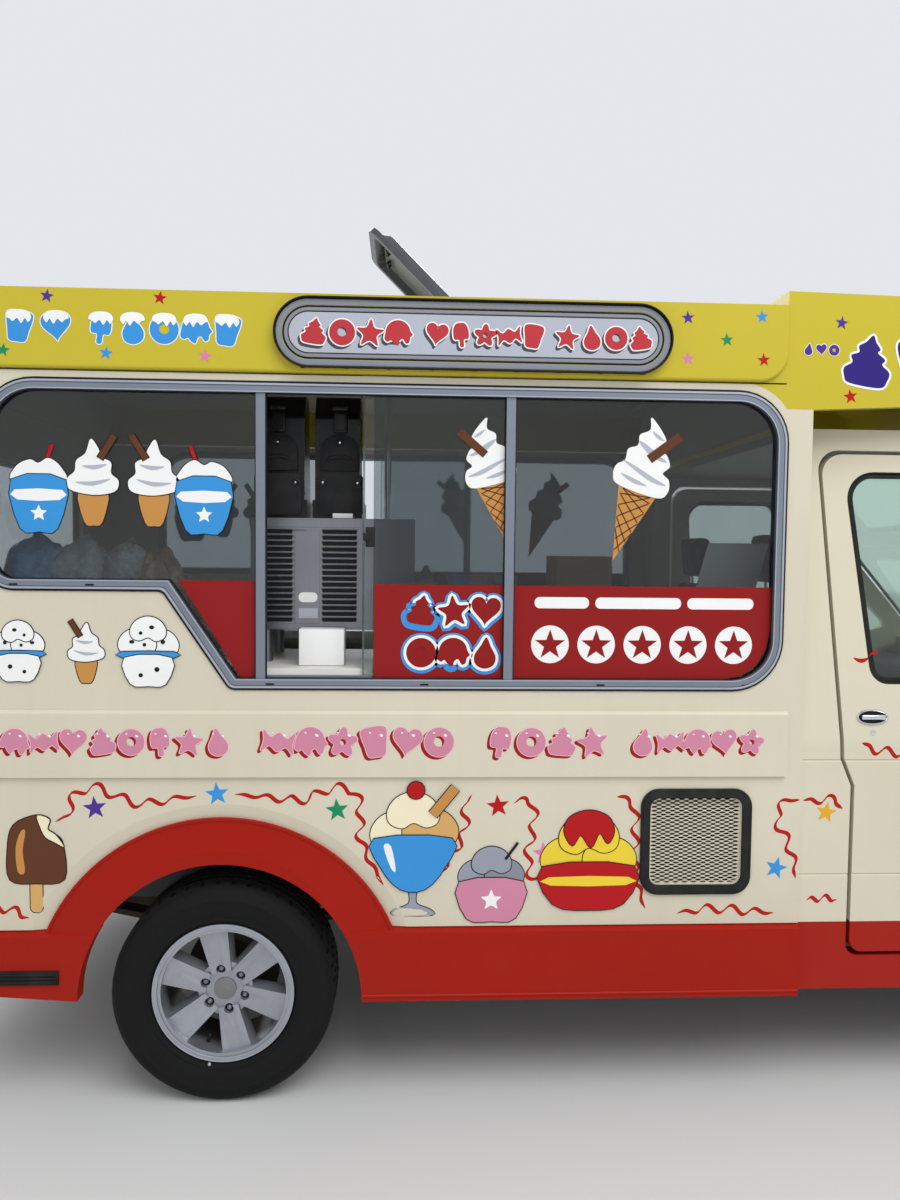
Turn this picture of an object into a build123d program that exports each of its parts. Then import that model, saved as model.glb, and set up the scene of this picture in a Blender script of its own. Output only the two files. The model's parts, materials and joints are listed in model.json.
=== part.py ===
from build123d import *
import math
import os

os.makedirs("parts", exist_ok=True)

# Ice cream van: a forward-bonneted van cab with a moulded ice cream body behind it.
# Millimetres. +X is forward, +Y is the vehicle's left, +Z is up.
# The origin is on the ground under the middle of the vehicle.

# Overall places along the vehicle
WHEELBASE = 3250.0
REAR_OVERHANG = 1007.0
FRONT_OVERHANG = 1004.0
REAR_AXLE_X = (REAR_OVERHANG - WHEELBASE - FRONT_OVERHANG) / 2
FRONT_AXLE_X = REAR_AXLE_X + WHEELBASE
REAR_END_X = REAR_AXLE_X - REAR_OVERHANG
FRONT_END_X = FRONT_AXLE_X + FRONT_OVERHANG

# Wheels
TYRE_R = 349.0
TYRE_WIDTH = 235.0
AXLE_Z = TYRE_R
TREAD_HALF_WIDTH = 95.0
BEAD_R = 204.0
BEAD_HALF_WIDTH = 88.0
RIM_FLANGE_R = 220.5
RIM_LIP = 12.0
RIM_WALL = 9.0
WHEEL_CENTRE_Y = 858.0
SPOKE_COUNT = 6
SPOKE_FIRST_ANGLE = 41.0
SPOKE_ROOT_WIDTH = 62.0
SPOKE_TIP_WIDTH = 94.0
SPOKE_DEPTH = 42.0
SPOKE_FLARE = 13.0
SPOKE_FACE_Y = 68.0
WHEEL_HUB_R = 86.0
WHEEL_HUB_BORE_R = 34.0
HUB_CAP_THICK = 6.0
NUT_CIRCLE_R = 65.0
NUT_HOLE_R = 8.0
RUN_CLEARANCE = 0.05
HUB_FACE_Y = 6.0 - SPOKE_FACE_Y
HUB_STUB_END_Y = HUB_FACE_Y + HUB_CAP_THICK + 2.0 - WHEEL_CENTRE_Y

# Steering
KINGPIN_Y = 690.0
STRUT_R = 26.0
STRUT_TOP_Z = 1010.0
BALL_JOINT_Z = 205.0
DISC_R = 150.0
DISC_THICK = 24.0
SPINDLE_R = 32.0

# Body side
SIDE_Y = 985.0
WALL = 40.0
SKIN_PROUD = 15.0
BODY_REAR_X = REAR_AXLE_X - 985.0
BODY_FRONT_X = FRONT_AXLE_X - 1434.0
SIDE_BOTTOM_Z = 569.0
SIDE_TOP_Z = 2262.0
ARCH_OPENING_R = 434.0
ARCH_OUTER_R = 575.0
ARCH_CENTRE_Z = 340.0
ARCH_DISH = 8.0
ARCH_DISH_WIDTH = 42.0
ARCH_CREASE_R = 408.0
ARCH_CREASE_Z = 406.0
ARCH_LIP = 9.0
SKIRT_BOTTOM_Z = 338.0
SKIRT_REAR_BOTTOM_Z = 390.0
BELT_LOW_Z = 1043.0
BELT_HIGH_Z = 1247.0
BELT_FRONT_X = FRONT_AXLE_X - 1489.0

# Side window
WINDOW_TOP_Z = 2236.0
WINDOW_LOW_Z = 1316.0
WINDOW_STEP_Z = 1614.0
WINDOW_FRONT_X = FRONT_AXLE_X - 1515.0
WINDOW_REAR_X = REAR_AXLE_X - 700.0
WINDOW_STEP_TOP_X = REAR_AXLE_X - 170.0
WINDOW_STEP_LOW_X = REAR_AXLE_X + 30.0
WINDOW_CORNER_R = 155.0
FRAME_WIDTH = 28.0
FRAME_PROUD = 6.0
FRAME_DEPTH = WALL + FRAME_PROUD
DIVIDER_REAR_X = REAR_AXLE_X + 121.0
DIVIDER_FRONT_X = REAR_AXLE_X + 878.0
DIVIDER_WIDTH = 28.0
SLIDER_REAR_X = REAR_AXLE_X + 431.0
GLASS = 5.0
GLASS_Y = 968.0
SLIDER_Y = 955.0

# Roof and fascia
FASCIA_LOW_Z = SIDE_TOP_Z + 5.0
FASCIA_HEIGHT = 233.0
FASCIA_HIGH_Z = FASCIA_LOW_Z + FASCIA_HEIGHT
FASCIA_Y = 1000.0
POD_Y = 985.0
BOARD_CORNER_R = 90.0
BOARD_EDGE_R = 10.0
FASCIA_THICK = 40.0
ROOF_CROWN_Z = FASCIA_HIGH_Z + 92.0
ROOF_THICK = 34.0
CAB_FASCIA_REAR_X = FRONT_AXLE_X - 1521.0
CAB_FASCIA_FRONT_X = FRONT_AXLE_X - 390.0
CAB_FASCIA_TOP_Z = FASCIA_HIGH_Z + 46.0
CAB_FASCIA_LOW_Z = FASCIA_LOW_Z - 79.0
CAB_FASCIA_WALL = 30.0
SIGN_REAR_X = REAR_AXLE_X + 167.0
SIGN_FRONT_X = REAR_AXLE_X + 1358.0
SIGN_LOW_Z = FASCIA_LOW_Z + 15.0
SIGN_HIGH_Z = FASCIA_HIGH_Z - 16.0
SIGN_PROUD = 14.0
SIGN_RIM = 22.0
SIGN_GROOVE = 6.0

# Roof hatch
HATCH_HINGE_X = REAR_AXLE_X + 730.0
HATCH_HINGE_Z = ROOF_CROWN_Z + 70.0
HATCH_LENGTH = 450.0
HATCH_WIDTH = 400.0
HATCH_OPEN_DEG = 44.5
HATCH_UPSTAND = 26.0
HATCH_FRAME = 22.0
HATCH_DOME = 45.0
HATCH_PIN_R = 5.0

# Cab side
CAB_Y = 978.0
CAB_WAIST_Z = 1150.0
CAB_ROOF_Z = 2150.0
CAB_TOP_Y = 832.0
CAB_SKIN = 68.0
DOOR_REAR_X = FRONT_AXLE_X - 1272.0
DOOR_FRONT_X = FRONT_AXLE_X - 450.0
DOOR_LOW_Z = 470.0
DOOR_TOP_Z = 2068.0
DOOR_GAP = 13.0
DOOR_HINGE_R = 9.0
DOOR_HINGE_Y = CAB_Y + 6.0
SCREEN_BASE_X = FRONT_AXLE_X - 70.0
SCREEN_BASE_Z = 1400.0
SCREEN_TOP_X = FRONT_AXLE_X - 750.0
SCREEN_TOP_Z = 2130.0
SCREEN_BULGE = 70.0
SCREEN_GLASS = 7.0
PILLAR_WIDTH = 86.0

# Cab front
NOSE_SKIN = 34.0
NOSE_GAP = 8.0
NOSE_PAST_X = FRONT_END_X + 146.0
BONNET_HALF_WIDTH = 760.0
BONNET_REAR_X = FRONT_AXLE_X + 135.0
BONNET_HINGE_X = BONNET_REAR_X + 20.0
BONNET_HINGE_Z = 1250.0
BONNET_HINGE_SIDES = [-560.0, 560.0]
SCUTTLE_FRONT_X = FRONT_AXLE_X + 75.0
BONNET_FRONT_X = FRONT_AXLE_X + 760.0
BONNET_HINGE_R = 7.0
GRILLE_HALF_WIDTH = 520.0
GRILLE_LOW_Z = 745.0
GRILLE_HIGH_Z = 985.0
BUMPER_TOP_Z = 730.0
FRONT_ARCH_R = 425.0
FRONT_TUB_R = 478.0

# Floor and chassis
FLOOR_Z = 610.0
FLOOR_THICK = 45.0
RAIL_Y = 430.0
RAIL_WIDTH = 70.0
RAIL_LOW_Z = 430.0
RAIL_HIGH_Z = FLOOR_Z - FLOOR_THICK
OUTRIGGER_HEIGHT = 60.0
CAB_FLOOR_HALF = CAB_Y - CAB_SKIN - 8.0


def ahead(distance):
    """Place along the vehicle, measured forward from the rear axle."""
    return REAR_AXLE_X + distance


def front(distance):
    """Place along the cab, measured forward from the front axle."""
    return FRONT_AXLE_X + distance


def block(x0, x1, y0, y1, z0, z1):
    """Square-edged block between two places on each axis."""
    return Pos((x0 + x1) / 2, (y0 + y1) / 2, (z0 + z1) / 2) * Box(
        abs(x1 - x0), abs(y1 - y0), abs(z1 - z0)
    )


def side_panel(points, y0, y1, radius=0.0):
    """Panel seen from the side: points are (x, z), radius is one value or one for each corner."""
    radii = radius if isinstance(radius, list) else [radius] * len(points)
    line = FilletPolyline(*[(x, y0, z) for x, z in points], radius=radii, close=True)
    return extrude(make_face(line), amount=abs(y1 - y0), dir=(0, math.copysign(1, y1 - y0), 0))


def cross_panel(points, x0, x1, radius=0.0):
    """Panel seen from the front: points are (y, z)."""
    radii = radius if isinstance(radius, list) else [radius] * len(points)
    line = FilletPolyline(*[(x0, y, z) for y, z in points], radius=radii, close=True)
    return extrude(make_face(line), amount=abs(x1 - x0), dir=(math.copysign(1, x1 - x0), 0, 0))


def plan_panel(points, z0, z1, radius=0.0):
    """Panel seen from above: points are (x, y)."""
    radii = radius if isinstance(radius, list) else [radius] * len(points)
    line = FilletPolyline(*[(x, y, z0) for x, y in points], radius=radii, close=True)
    return extrude(make_face(line), amount=abs(z1 - z0), dir=(0, 0, math.copysign(1, z1 - z0)))


def across(x, z, radius, y0, y1):
    """Round bar across the vehicle."""
    return Pos(x, (y0 + y1) / 2, z) * Rot(90, 0, 0) * Cylinder(radius, abs(y1 - y0))


def upright(x, y, radius, z0, z1):
    """Round bar standing up."""
    return Pos(x, y, (z0 + z1) / 2) * Cylinder(radius, abs(z1 - z0))


def other_side(shape):
    """The same piece on the left of the vehicle."""
    return shape.mirror(Plane.XZ)


def both_sides(shape):
    """A piece and its twin on the left."""
    return Compound([*shape.solids(), *other_side(shape).solids()])


def pipe(points, radius, bend):
    """Round tube or bar that follows straight runs with round bends."""
    path = FilletPolyline(*points, radius=bend)
    start = Plane(origin=path @ 0, z_dir=path % 0)
    return sweep(start * Circle(radius), path=path)


def save(shape, name):
    """Write one node."""
    export_step(shape, "parts/" + name + ".step")


# Wheels and tyres, made once at the origin with the outer face to -Y
def tyre_at_origin():
    points = [
        (BEAD_R, -BEAD_HALF_WIDTH),
        (RIM_FLANGE_R + 2.0, -BEAD_HALF_WIDTH),
        (RIM_FLANGE_R + 12.0, -BEAD_HALF_WIDTH - 16.0),
        (285.0, -TYRE_WIDTH / 2),
        (325.0, -TYRE_WIDTH / 2 + 6.0),
        (TYRE_R - 5.0, -TREAD_HALF_WIDTH),
        (TYRE_R, -TREAD_HALF_WIDTH + 25.0),
        (TYRE_R, TREAD_HALF_WIDTH - 25.0),
        (TYRE_R - 5.0, TREAD_HALF_WIDTH),
        (325.0, TYRE_WIDTH / 2 - 6.0),
        (285.0, TYRE_WIDTH / 2),
        (RIM_FLANGE_R + 12.0, BEAD_HALF_WIDTH + 16.0),
        (RIM_FLANGE_R + 2.0, BEAD_HALF_WIDTH),
        (BEAD_R, BEAD_HALF_WIDTH),
    ]
    radii = [0, 0, 8, 50, 40, 14, 60, 60, 14, 40, 50, 8, 0, 0]
    section = FilletPolyline(*[(r, y, 0) for r, y in points], radius=radii, close=True)
    return revolve(make_face(section), axis=Axis.Y)


def ring(outer_r, inner_r, y0, y1):
    """Round ring about the wheel's axis."""
    return across(0, 0, outer_r, y0, y1) - across(0, 0, inner_r, y0 - 1, y1 + 1)


def spoke_section(y, flare):
    """Outline of a spoke at one depth; it is wider towards the back."""
    root = SPOKE_ROOT_WIDTH / 2 + flare * 0.6
    tip = SPOKE_TIP_WIDTH / 2 + flare
    points = [(WHEEL_HUB_R - 30.0, -root), (BEAD_R, -tip), (BEAD_R, tip), (WHEEL_HUB_R - 30.0, root)]
    return make_face(Polyline(*[(x, y, z) for x, z in points], close=True))


def rim_at_origin():
    barrel = ring(BEAD_R, BEAD_R - RIM_WALL, -BEAD_HALF_WIDTH, BEAD_HALF_WIDTH)
    outer_flange = ring(RIM_FLANGE_R, BEAD_R - RIM_WALL, -BEAD_HALF_WIDTH - RIM_LIP, -BEAD_HALF_WIDTH)
    lip_cut = Pos(0, -BEAD_HALF_WIDTH - 13.0, 0) * Rot(90, 0, 0) * Cylinder(BEAD_R + 3.0, 14.0)
    inner_flange = ring(RIM_FLANGE_R, BEAD_R - RIM_WALL, BEAD_HALF_WIDTH, BEAD_HALF_WIDTH + RIM_LIP)
    wheel = barrel + (outer_flange - lip_cut) + inner_flange
    hub = across(0, 0, WHEEL_HUB_R, HUB_FACE_Y, HUB_FACE_Y + 44.0)
    wheel += hub
    inside = across(0, 0, BEAD_R - RIM_WALL / 2, -TYRE_WIDTH, TYRE_WIDTH)
    front_y = -SPOKE_FACE_Y - 4.0
    spoke = loft(
        [spoke_section(front_y, 0.0), spoke_section(front_y + SPOKE_DEPTH, SPOKE_FLARE)], ruled=True
    ) & inside
    for index in range(SPOKE_COUNT):
        turn = SPOKE_FIRST_ANGLE + index * 360.0 / SPOKE_COUNT
        wheel += spoke.rotate(Axis.Y, -turn)
    wheel -= across(0, 0, WHEEL_HUB_BORE_R, HUB_FACE_Y + HUB_CAP_THICK, BEAD_HALF_WIDTH)
    for index in range(SPOKE_COUNT):
        angle = math.radians(SPOKE_FIRST_ANGLE + index * 360.0 / SPOKE_COUNT)
        x = NUT_CIRCLE_R * math.cos(angle)
        z = NUT_CIRCLE_R * math.sin(angle)
        wheel -= across(x, z, NUT_HOLE_R, -SPOKE_FACE_Y - 20.0, -SPOKE_FACE_Y + 60.0)
        wheel -= across(x, z, NUT_HOLE_R + 7.0, -SPOKE_FACE_Y - 20.0, -SPOKE_FACE_Y + 14.0)
    return wheel


TYRE = tyre_at_origin()
RIM = rim_at_origin()
WHEEL_PLACES = [
    # name, axle x, side (-1 is the right)
    ("rear_right", REAR_AXLE_X, -1),
    ("rear_left", REAR_AXLE_X, 1),
    ("front_right", FRONT_AXLE_X, -1),
    ("front_left", FRONT_AXLE_X, 1),
]
for name, axle_x, side in WHEEL_PLACES:
    place = Pos(axle_x, -WHEEL_CENTRE_Y, AXLE_Z)
    rim = place * RIM
    tyre = place * TYRE
    save(rim if side < 0 else other_side(rim), "wheel_" + name)
    save(tyre if side < 0 else other_side(tyre), "tyre_" + name)

# Chassis: two long rails with cross-members under the floor
RAIL_REAR_X = ahead(-940.0)
RAIL_FRONT_X = front(710.0)
CROSS_MEMBERS = [ahead(-900.0), ahead(480.0), ahead(1300.0), front(-1200.0), front(-600.0), front(675.0)]
CROSS_HALF = 35.0
rail = block(
    RAIL_REAR_X, RAIL_FRONT_X, -RAIL_Y - RAIL_WIDTH / 2, -RAIL_Y + RAIL_WIDTH / 2, RAIL_LOW_Z, RAIL_HIGH_Z
)
chassis = rail + other_side(rail)
for x in CROSS_MEMBERS:
    chassis += block(x - CROSS_HALF, x + CROSS_HALF, -RAIL_Y, RAIL_Y, RAIL_LOW_Z + 12.0, RAIL_HIGH_Z - 12.0)
OUTRIGGERS = [
    # place, half reach
    (ahead(-780.0), SIDE_Y - WALL),
    (ahead(700.0), SIDE_Y - WALL),
    (ahead(1250.0), SIDE_Y - WALL),
    (BODY_FRONT_X - 56.0, SIDE_Y - WALL),
    (front(-900.0), CAB_FLOOR_HALF),
]
OUTRIGGER_HALF = 25.0
for x, reach in OUTRIGGERS:
    chassis += block(
        x - OUTRIGGER_HALF, x + OUTRIGGER_HALF, -reach, reach, RAIL_HIGH_Z - OUTRIGGER_HEIGHT, RAIL_HIGH_Z
    )
TOW_EYE_R = 14.0
TOW_EYE_X = ahead(-885.0)
TOW_EYE_Z = 308.0
TOW_EYE_HALF = 9.0
JACK_PAD_X = ahead(1000.0)
JACK_PAD_HALF = 40.0
JACK_PAD_PROUD = 8.0
chassis += across(TOW_EYE_X, TOW_EYE_Z, 32.0, -RAIL_Y - TOW_EYE_HALF, -RAIL_Y + TOW_EYE_HALF)
chassis += block(
    TOW_EYE_X - 32.0, TOW_EYE_X + 32.0, -RAIL_Y - TOW_EYE_HALF, -RAIL_Y + TOW_EYE_HALF, TOW_EYE_Z, RAIL_LOW_Z
)
chassis -= across(TOW_EYE_X, TOW_EYE_Z, TOW_EYE_R, -RAIL_Y - 40.0, -RAIL_Y + 40.0)
jack_pad = block(
    JACK_PAD_X - JACK_PAD_HALF, JACK_PAD_X + JACK_PAD_HALF,
    -RAIL_Y - RAIL_WIDTH / 2 + 5.0, -RAIL_Y + RAIL_WIDTH / 2 - 5.0,
    RAIL_LOW_Z - JACK_PAD_PROUD, RAIL_LOW_Z + 5.0,
)
chassis += jack_pad + other_side(jack_pad)
save(chassis, "chassis_frame")

# Engine and gearbox as one block, across the front
engine = block(front(80.0), front(635.0), -RAIL_Y + RAIL_WIDTH / 2, RAIL_Y - RAIL_WIDTH / 2, 330.0, 960.0)
save(engine, "engine_block")

# Rear axle beam with hub stubs, brake discs and leaf springs
AXLE_TUBE_R = 42.0
SPRING_Y = 560.0
SPRING_HALF_LENGTH = 560.0
SPRING_WIDTH = 66.0
rear_axle = across(REAR_AXLE_X, AXLE_Z, AXLE_TUBE_R, -700.0, 700.0)
rear_disc = across(REAR_AXLE_X, AXLE_Z, DISC_R, -780.0, -780.0 + DISC_THICK)
rear_stub = across(REAR_AXLE_X, AXLE_Z, WHEEL_HUB_BORE_R - RUN_CLEARANCE, HUB_STUB_END_Y, -690.0)
rear_axle += rear_disc + rear_stub + other_side(rear_disc) + other_side(rear_stub)
SPRING_SEAT_Z = AXLE_Z + AXLE_TUBE_R
spring_points = [
    (REAR_AXLE_X - SPRING_HALF_LENGTH, SPRING_SEAT_Z + 96.0),
    (REAR_AXLE_X - 90.0, SPRING_SEAT_Z - 8.0),
    (REAR_AXLE_X + 90.0, SPRING_SEAT_Z - 8.0),
    (REAR_AXLE_X + SPRING_HALF_LENGTH, SPRING_SEAT_Z + 96.0),
    (REAR_AXLE_X + SPRING_HALF_LENGTH, SPRING_SEAT_Z + 112.0),
    (REAR_AXLE_X + 90.0, SPRING_SEAT_Z + 20.0),
    (REAR_AXLE_X - 90.0, SPRING_SEAT_Z + 20.0),
    (REAR_AXLE_X - SPRING_HALF_LENGTH, SPRING_SEAT_Z + 112.0),
]
spring = side_panel(spring_points, -SPRING_Y - SPRING_WIDTH / 2, -SPRING_Y + SPRING_WIDTH / 2)
for end in (-1, 1):
    hanger_x = REAR_AXLE_X + end * (SPRING_HALF_LENGTH - 22.0)
    spring += block(
        hanger_x - 26.0, hanger_x + 26.0, -SPRING_Y - SPRING_WIDTH / 2, -RAIL_Y - RAIL_WIDTH / 2,
        SPRING_SEAT_Z + 80.0, SPRING_SEAT_Z + 160.0,
    )
rear_axle += spring + other_side(spring)
save(rear_axle, "rear_axle")

# Front cross-member with its lower arms and the two strut towers
front_beam = block(FRONT_AXLE_X - 70.0, FRONT_AXLE_X + 68.0, -470.0, 470.0, 262.0, 322.0)
front_beam += block(FRONT_AXLE_X - 70.0, FRONT_AXLE_X + 68.0, -470.0, -395.0, 262.0, RAIL_LOW_Z)
front_beam += block(FRONT_AXLE_X - 70.0, FRONT_AXLE_X + 68.0, 395.0, 470.0, 262.0, RAIL_LOW_Z)
arm_points = [
    (FRONT_AXLE_X - 65.0, -440.0),
    (FRONT_AXLE_X - 30.0, -KINGPIN_Y - 30.0),
    (FRONT_AXLE_X + 30.0, -KINGPIN_Y - 30.0),
    (FRONT_AXLE_X + 63.0, -440.0),
]
ARM_TOP_Z = BALL_JOINT_Z + 70.0
arm = plan_panel(arm_points, ARM_TOP_Z - 26.0, ARM_TOP_Z, [0, 25, 25, 0])
arm -= upright(FRONT_AXLE_X, -KINGPIN_Y, STRUT_R - 10.0 + RUN_CLEARANCE, ARM_TOP_Z - 60.0, ARM_TOP_Z + 40.0)
tower = block(
    FRONT_AXLE_X - 55.0, FRONT_AXLE_X + 55.0, -KINGPIN_Y - 60.0, -RAIL_Y - RAIL_WIDTH / 2 + 90.0,
    STRUT_TOP_Z, STRUT_TOP_Z + 24.0,
)
tower += block(
    FRONT_AXLE_X - 55.0, FRONT_AXLE_X + 55.0, -RAIL_Y - RAIL_WIDTH / 2, -RAIL_Y + 10.0, RAIL_HIGH_Z,
    STRUT_TOP_Z + 24.0,
)
tower -= upright(
    FRONT_AXLE_X, -KINGPIN_Y, STRUT_R - 10.0 + RUN_CLEARANCE, STRUT_TOP_Z - 40.0, STRUT_TOP_Z + 60.0
)
front_suspension = front_beam + arm + other_side(arm)
save(Compound([*front_suspension.solids(), *both_sides(tower).solids()]), "front_suspension")

# Steering knuckle with strut, spindle and brake disc; it turns about the strut
knuckle = upright(FRONT_AXLE_X, -KINGPIN_Y, STRUT_R - 10.0, ARM_TOP_Z - 24.0, ARM_TOP_Z + 20.0)
knuckle += upright(FRONT_AXLE_X, -KINGPIN_Y, STRUT_R, ARM_TOP_Z + 5.0, STRUT_TOP_Z - 5.0)
knuckle += upright(FRONT_AXLE_X, -KINGPIN_Y, STRUT_R - 10.0, STRUT_TOP_Z - 20.0, STRUT_TOP_Z + 24.0)
knuckle += block(
    FRONT_AXLE_X - 45.0, FRONT_AXLE_X + 45.0, -KINGPIN_Y - 38.0, -KINGPIN_Y + 30.0, AXLE_Z - 60.0,
    AXLE_Z + 90.0,
)
knuckle += across(FRONT_AXLE_X, AXLE_Z, DISC_R, -780.0, -780.0 + DISC_THICK)
knuckle += across(FRONT_AXLE_X, AXLE_Z, WHEEL_HUB_BORE_R - RUN_CLEARANCE, HUB_STUB_END_Y, -KINGPIN_Y)
save(knuckle, "knuckle_right")
save(other_side(knuckle), "knuckle_left")

# Fuel tank and exhaust
TANK_REAR_X = BODY_FRONT_X - 256.0
TANK_LENGTH = 700.0
tank = block(TANK_REAR_X, TANK_REAR_X + TANK_LENGTH, 480.0, 830.0, 300.0, RAIL_HIGH_Z - OUTRIGGER_HEIGHT)
tank = fillet(tank.edges().filter_by(Axis.X), 45.0)
save(tank, "fuel_tank")
EXHAUST_R = 26.0
exhaust_points = [
    (front(80.0), 150.0, 395.0),
    (front(-200.0), 150.0, 395.0),
    (front(-350.0), 230.0, 395.0),
    (ahead(400.0), 230.0, 395.0),
    (ahead(250.0), 230.0, 500.0),
    (ahead(-300.0), 230.0, 500.0),
    (ahead(-450.0), 230.0, 392.0),
    (ahead(-900.0), 230.0, 392.0),
]
exhaust = pipe(exhaust_points, EXHAUST_R, 60.0)
silencer = Pos(ahead(900.0), 230.0, 395.0) * Rot(0, 90, 0) * Cylinder(82.0, 520.0)
exhaust += silencer
exhaust -= Pos(ahead(-900.0), 230.0, 392.0) * Rot(0, 90, 0) * Cylinder(EXHAUST_R - 3.0, 200.0)
save(exhaust, "exhaust_system")

# Floor of the ice cream body with its two wheel boxes
floor = block(BODY_REAR_X + WALL, BODY_FRONT_X, -SIDE_Y + WALL, SIDE_Y - WALL, RAIL_HIGH_Z, FLOOR_Z)
floor += block(BODY_FRONT_X, front(-460.0), -CAB_FLOOR_HALF, CAB_FLOOR_HALF, RAIL_HIGH_Z, FLOOR_Z)
TUB_R = 462.0
TUB_SHEET = 18.0
TUB_INNER_Y = 690.0
tub_outer = across(REAR_AXLE_X, ARCH_CENTRE_Z, TUB_R, -SIDE_Y + WALL, -TUB_INNER_Y)
tub_outer -= block(ahead(-600.0), ahead(600.0), -SIDE_Y, -600.0, -200.0, RAIL_HIGH_Z)
tub_inner = across(REAR_AXLE_X, ARCH_CENTRE_Z, TUB_R - TUB_SHEET, -SIDE_Y, -TUB_INNER_Y - TUB_SHEET)
floor = floor + tub_outer + other_side(tub_outer) - tub_inner - other_side(tub_inner)
save(floor, "body_floor")


# Side wall with window opening and arch; a raised belt band runs along it
def window_outline(grow=0.0):
    """Corners of the side window's frame, clockwise from the top rear."""
    low = WINDOW_LOW_Z - grow
    step = WINDOW_STEP_Z - grow
    return [
        (WINDOW_REAR_X - grow, WINDOW_TOP_Z + grow),
        (WINDOW_FRONT_X + grow, WINDOW_TOP_Z + grow),
        (WINDOW_FRONT_X + grow, low),
        (WINDOW_STEP_LOW_X - grow * 0.6, low),
        (WINDOW_STEP_TOP_X - grow * 0.6, step),
        (WINDOW_REAR_X - grow, step),
    ]


WINDOW_RADII = [WINDOW_CORNER_R, WINDOW_CORNER_R, WINDOW_CORNER_R, 30.0, 30.0, 90.0]


def window_radii(grow=0.0):
    return [r + grow for r in WINDOW_RADII]


side_points = [
    (BODY_REAR_X + WALL, SIDE_BOTTOM_Z),
    (BODY_FRONT_X, SIDE_BOTTOM_Z),
    (BODY_FRONT_X, CAB_FASCIA_LOW_Z),
    (CAB_FASCIA_REAR_X, CAB_FASCIA_LOW_Z),
    (CAB_FASCIA_REAR_X, SIDE_TOP_Z),
    (BODY_REAR_X + WALL, SIDE_TOP_Z),
]
side = side_panel(side_points, -SIDE_Y, -SIDE_Y + WALL)
belt_points = [
    (BODY_REAR_X + WALL, BELT_LOW_Z),
    (BELT_FRONT_X, BELT_LOW_Z),
    (BELT_FRONT_X, BELT_HIGH_Z),
    (BODY_REAR_X + WALL, BELT_HIGH_Z),
]
belt = side_panel(belt_points, -SIDE_Y - 12.0, -SIDE_Y + 5.0)
belt = chamfer(belt.edges().filter_by(Axis.X).group_by(Axis.Y)[0].sort_by(Axis.Z)[-1:], 9.0)
side += belt
dish = Pos(REAR_AXLE_X, -SIDE_Y, ARCH_CENTRE_Z) * Rot(90, 0, 0) * Cone(
    ARCH_OUTER_R, ARCH_OUTER_R + 2 * ARCH_DISH_WIDTH, 2 * ARCH_DISH
)
side -= dish
side -= side_panel(window_outline(), -SIDE_Y - 40.0, -SIDE_Y + WALL + 20.0, window_radii())
side -= across(REAR_AXLE_X, ARCH_CENTRE_Z, TUB_R, -SIDE_Y - 60.0, -SIDE_Y + WALL + 20.0)
VENT_FRONT_X = BODY_FRONT_X - 161.0
VENT_REAR_X = VENT_FRONT_X - 353.0
VENT_LOW_Z = 666.0
VENT_HIGH_Z = 1003.0
VENT_RIM = 32.0
vent_points = [
    (VENT_REAR_X + VENT_RIM, VENT_LOW_Z + VENT_RIM),
    (VENT_FRONT_X - VENT_RIM, VENT_LOW_Z + VENT_RIM),
    (VENT_FRONT_X - VENT_RIM, VENT_HIGH_Z - VENT_RIM),
    (VENT_REAR_X + VENT_RIM, VENT_HIGH_Z - VENT_RIM),
]
side -= side_panel(vent_points, -SIDE_Y - 40.0, -SIDE_Y + 22.0, 32.0)
save(side, "body_side_right")
save(other_side(side), "body_side_left")

# Rear wall with rounded upright edges and a window
rear_points = [
    (BODY_REAR_X, -SIDE_Y),
    (BODY_REAR_X + WALL, -SIDE_Y),
    (BODY_REAR_X + WALL, SIDE_Y),
    (BODY_REAR_X, SIDE_Y),
]
rear = plan_panel(rear_points, SIDE_BOTTOM_Z, SIDE_TOP_Z, [38.0, 0, 0, 38.0])
REAR_WINDOW_HALF = 560.0
REAR_WINDOW_LOW_Z = 1500.0
REAR_WINDOW_HIGH_Z = 2060.0
rear_window_points = [
    (-REAR_WINDOW_HALF, REAR_WINDOW_LOW_Z),
    (REAR_WINDOW_HALF, REAR_WINDOW_LOW_Z),
    (REAR_WINDOW_HALF, REAR_WINDOW_HIGH_Z),
    (-REAR_WINDOW_HALF, REAR_WINDOW_HIGH_Z),
]
rear -= cross_panel(rear_window_points, BODY_REAR_X - 20.0, BODY_REAR_X + WALL + 20.0, 90.0)
rear_belt = cross_panel(
    [(-700.0, BELT_LOW_Z), (700.0, BELT_LOW_Z), (700.0, BELT_HIGH_Z), (-700.0, BELT_HIGH_Z)],
    BODY_REAR_X - 10.0,
    BODY_REAR_X + 6.0,
    12.0,
)
rear += rear_belt
save(rear, "body_rear")

# Red lower skirts, wheel arches and rear bumper
SKIRT_Y = SIDE_Y + SKIN_PROUD
BUMPER_CORNER_R = 56.0
FACET_HEIGHT = 26.0
BEAD_Z = SKIRT_BOTTOM_Z + 17.0
BEAD_PROUD = 4.0
skirt = block(REAR_END_X + 60.0, BODY_FRONT_X, -SKIRT_Y, -SIDE_Y + WALL, SKIRT_BOTTOM_Z, SIDE_BOTTOM_Z)
top_edge = skirt.edges().filter_by(Axis.X).group_by(Axis.Z)[-1].sort_by(Axis.Y)[0]
skirt = chamfer(top_edge, SKIN_PROUD - 1.0, FACET_HEIGHT)
bead = block(
    ahead(ARCH_OPENING_R), BODY_FRONT_X, -SKIRT_Y - BEAD_PROUD, -SKIRT_Y + 2.0, BEAD_Z - 5.0, BEAD_Z + 5.0
)
skirt += chamfer(bead.edges().filter_by(Axis.X).group_by(Axis.Y)[0], 3.0)
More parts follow.
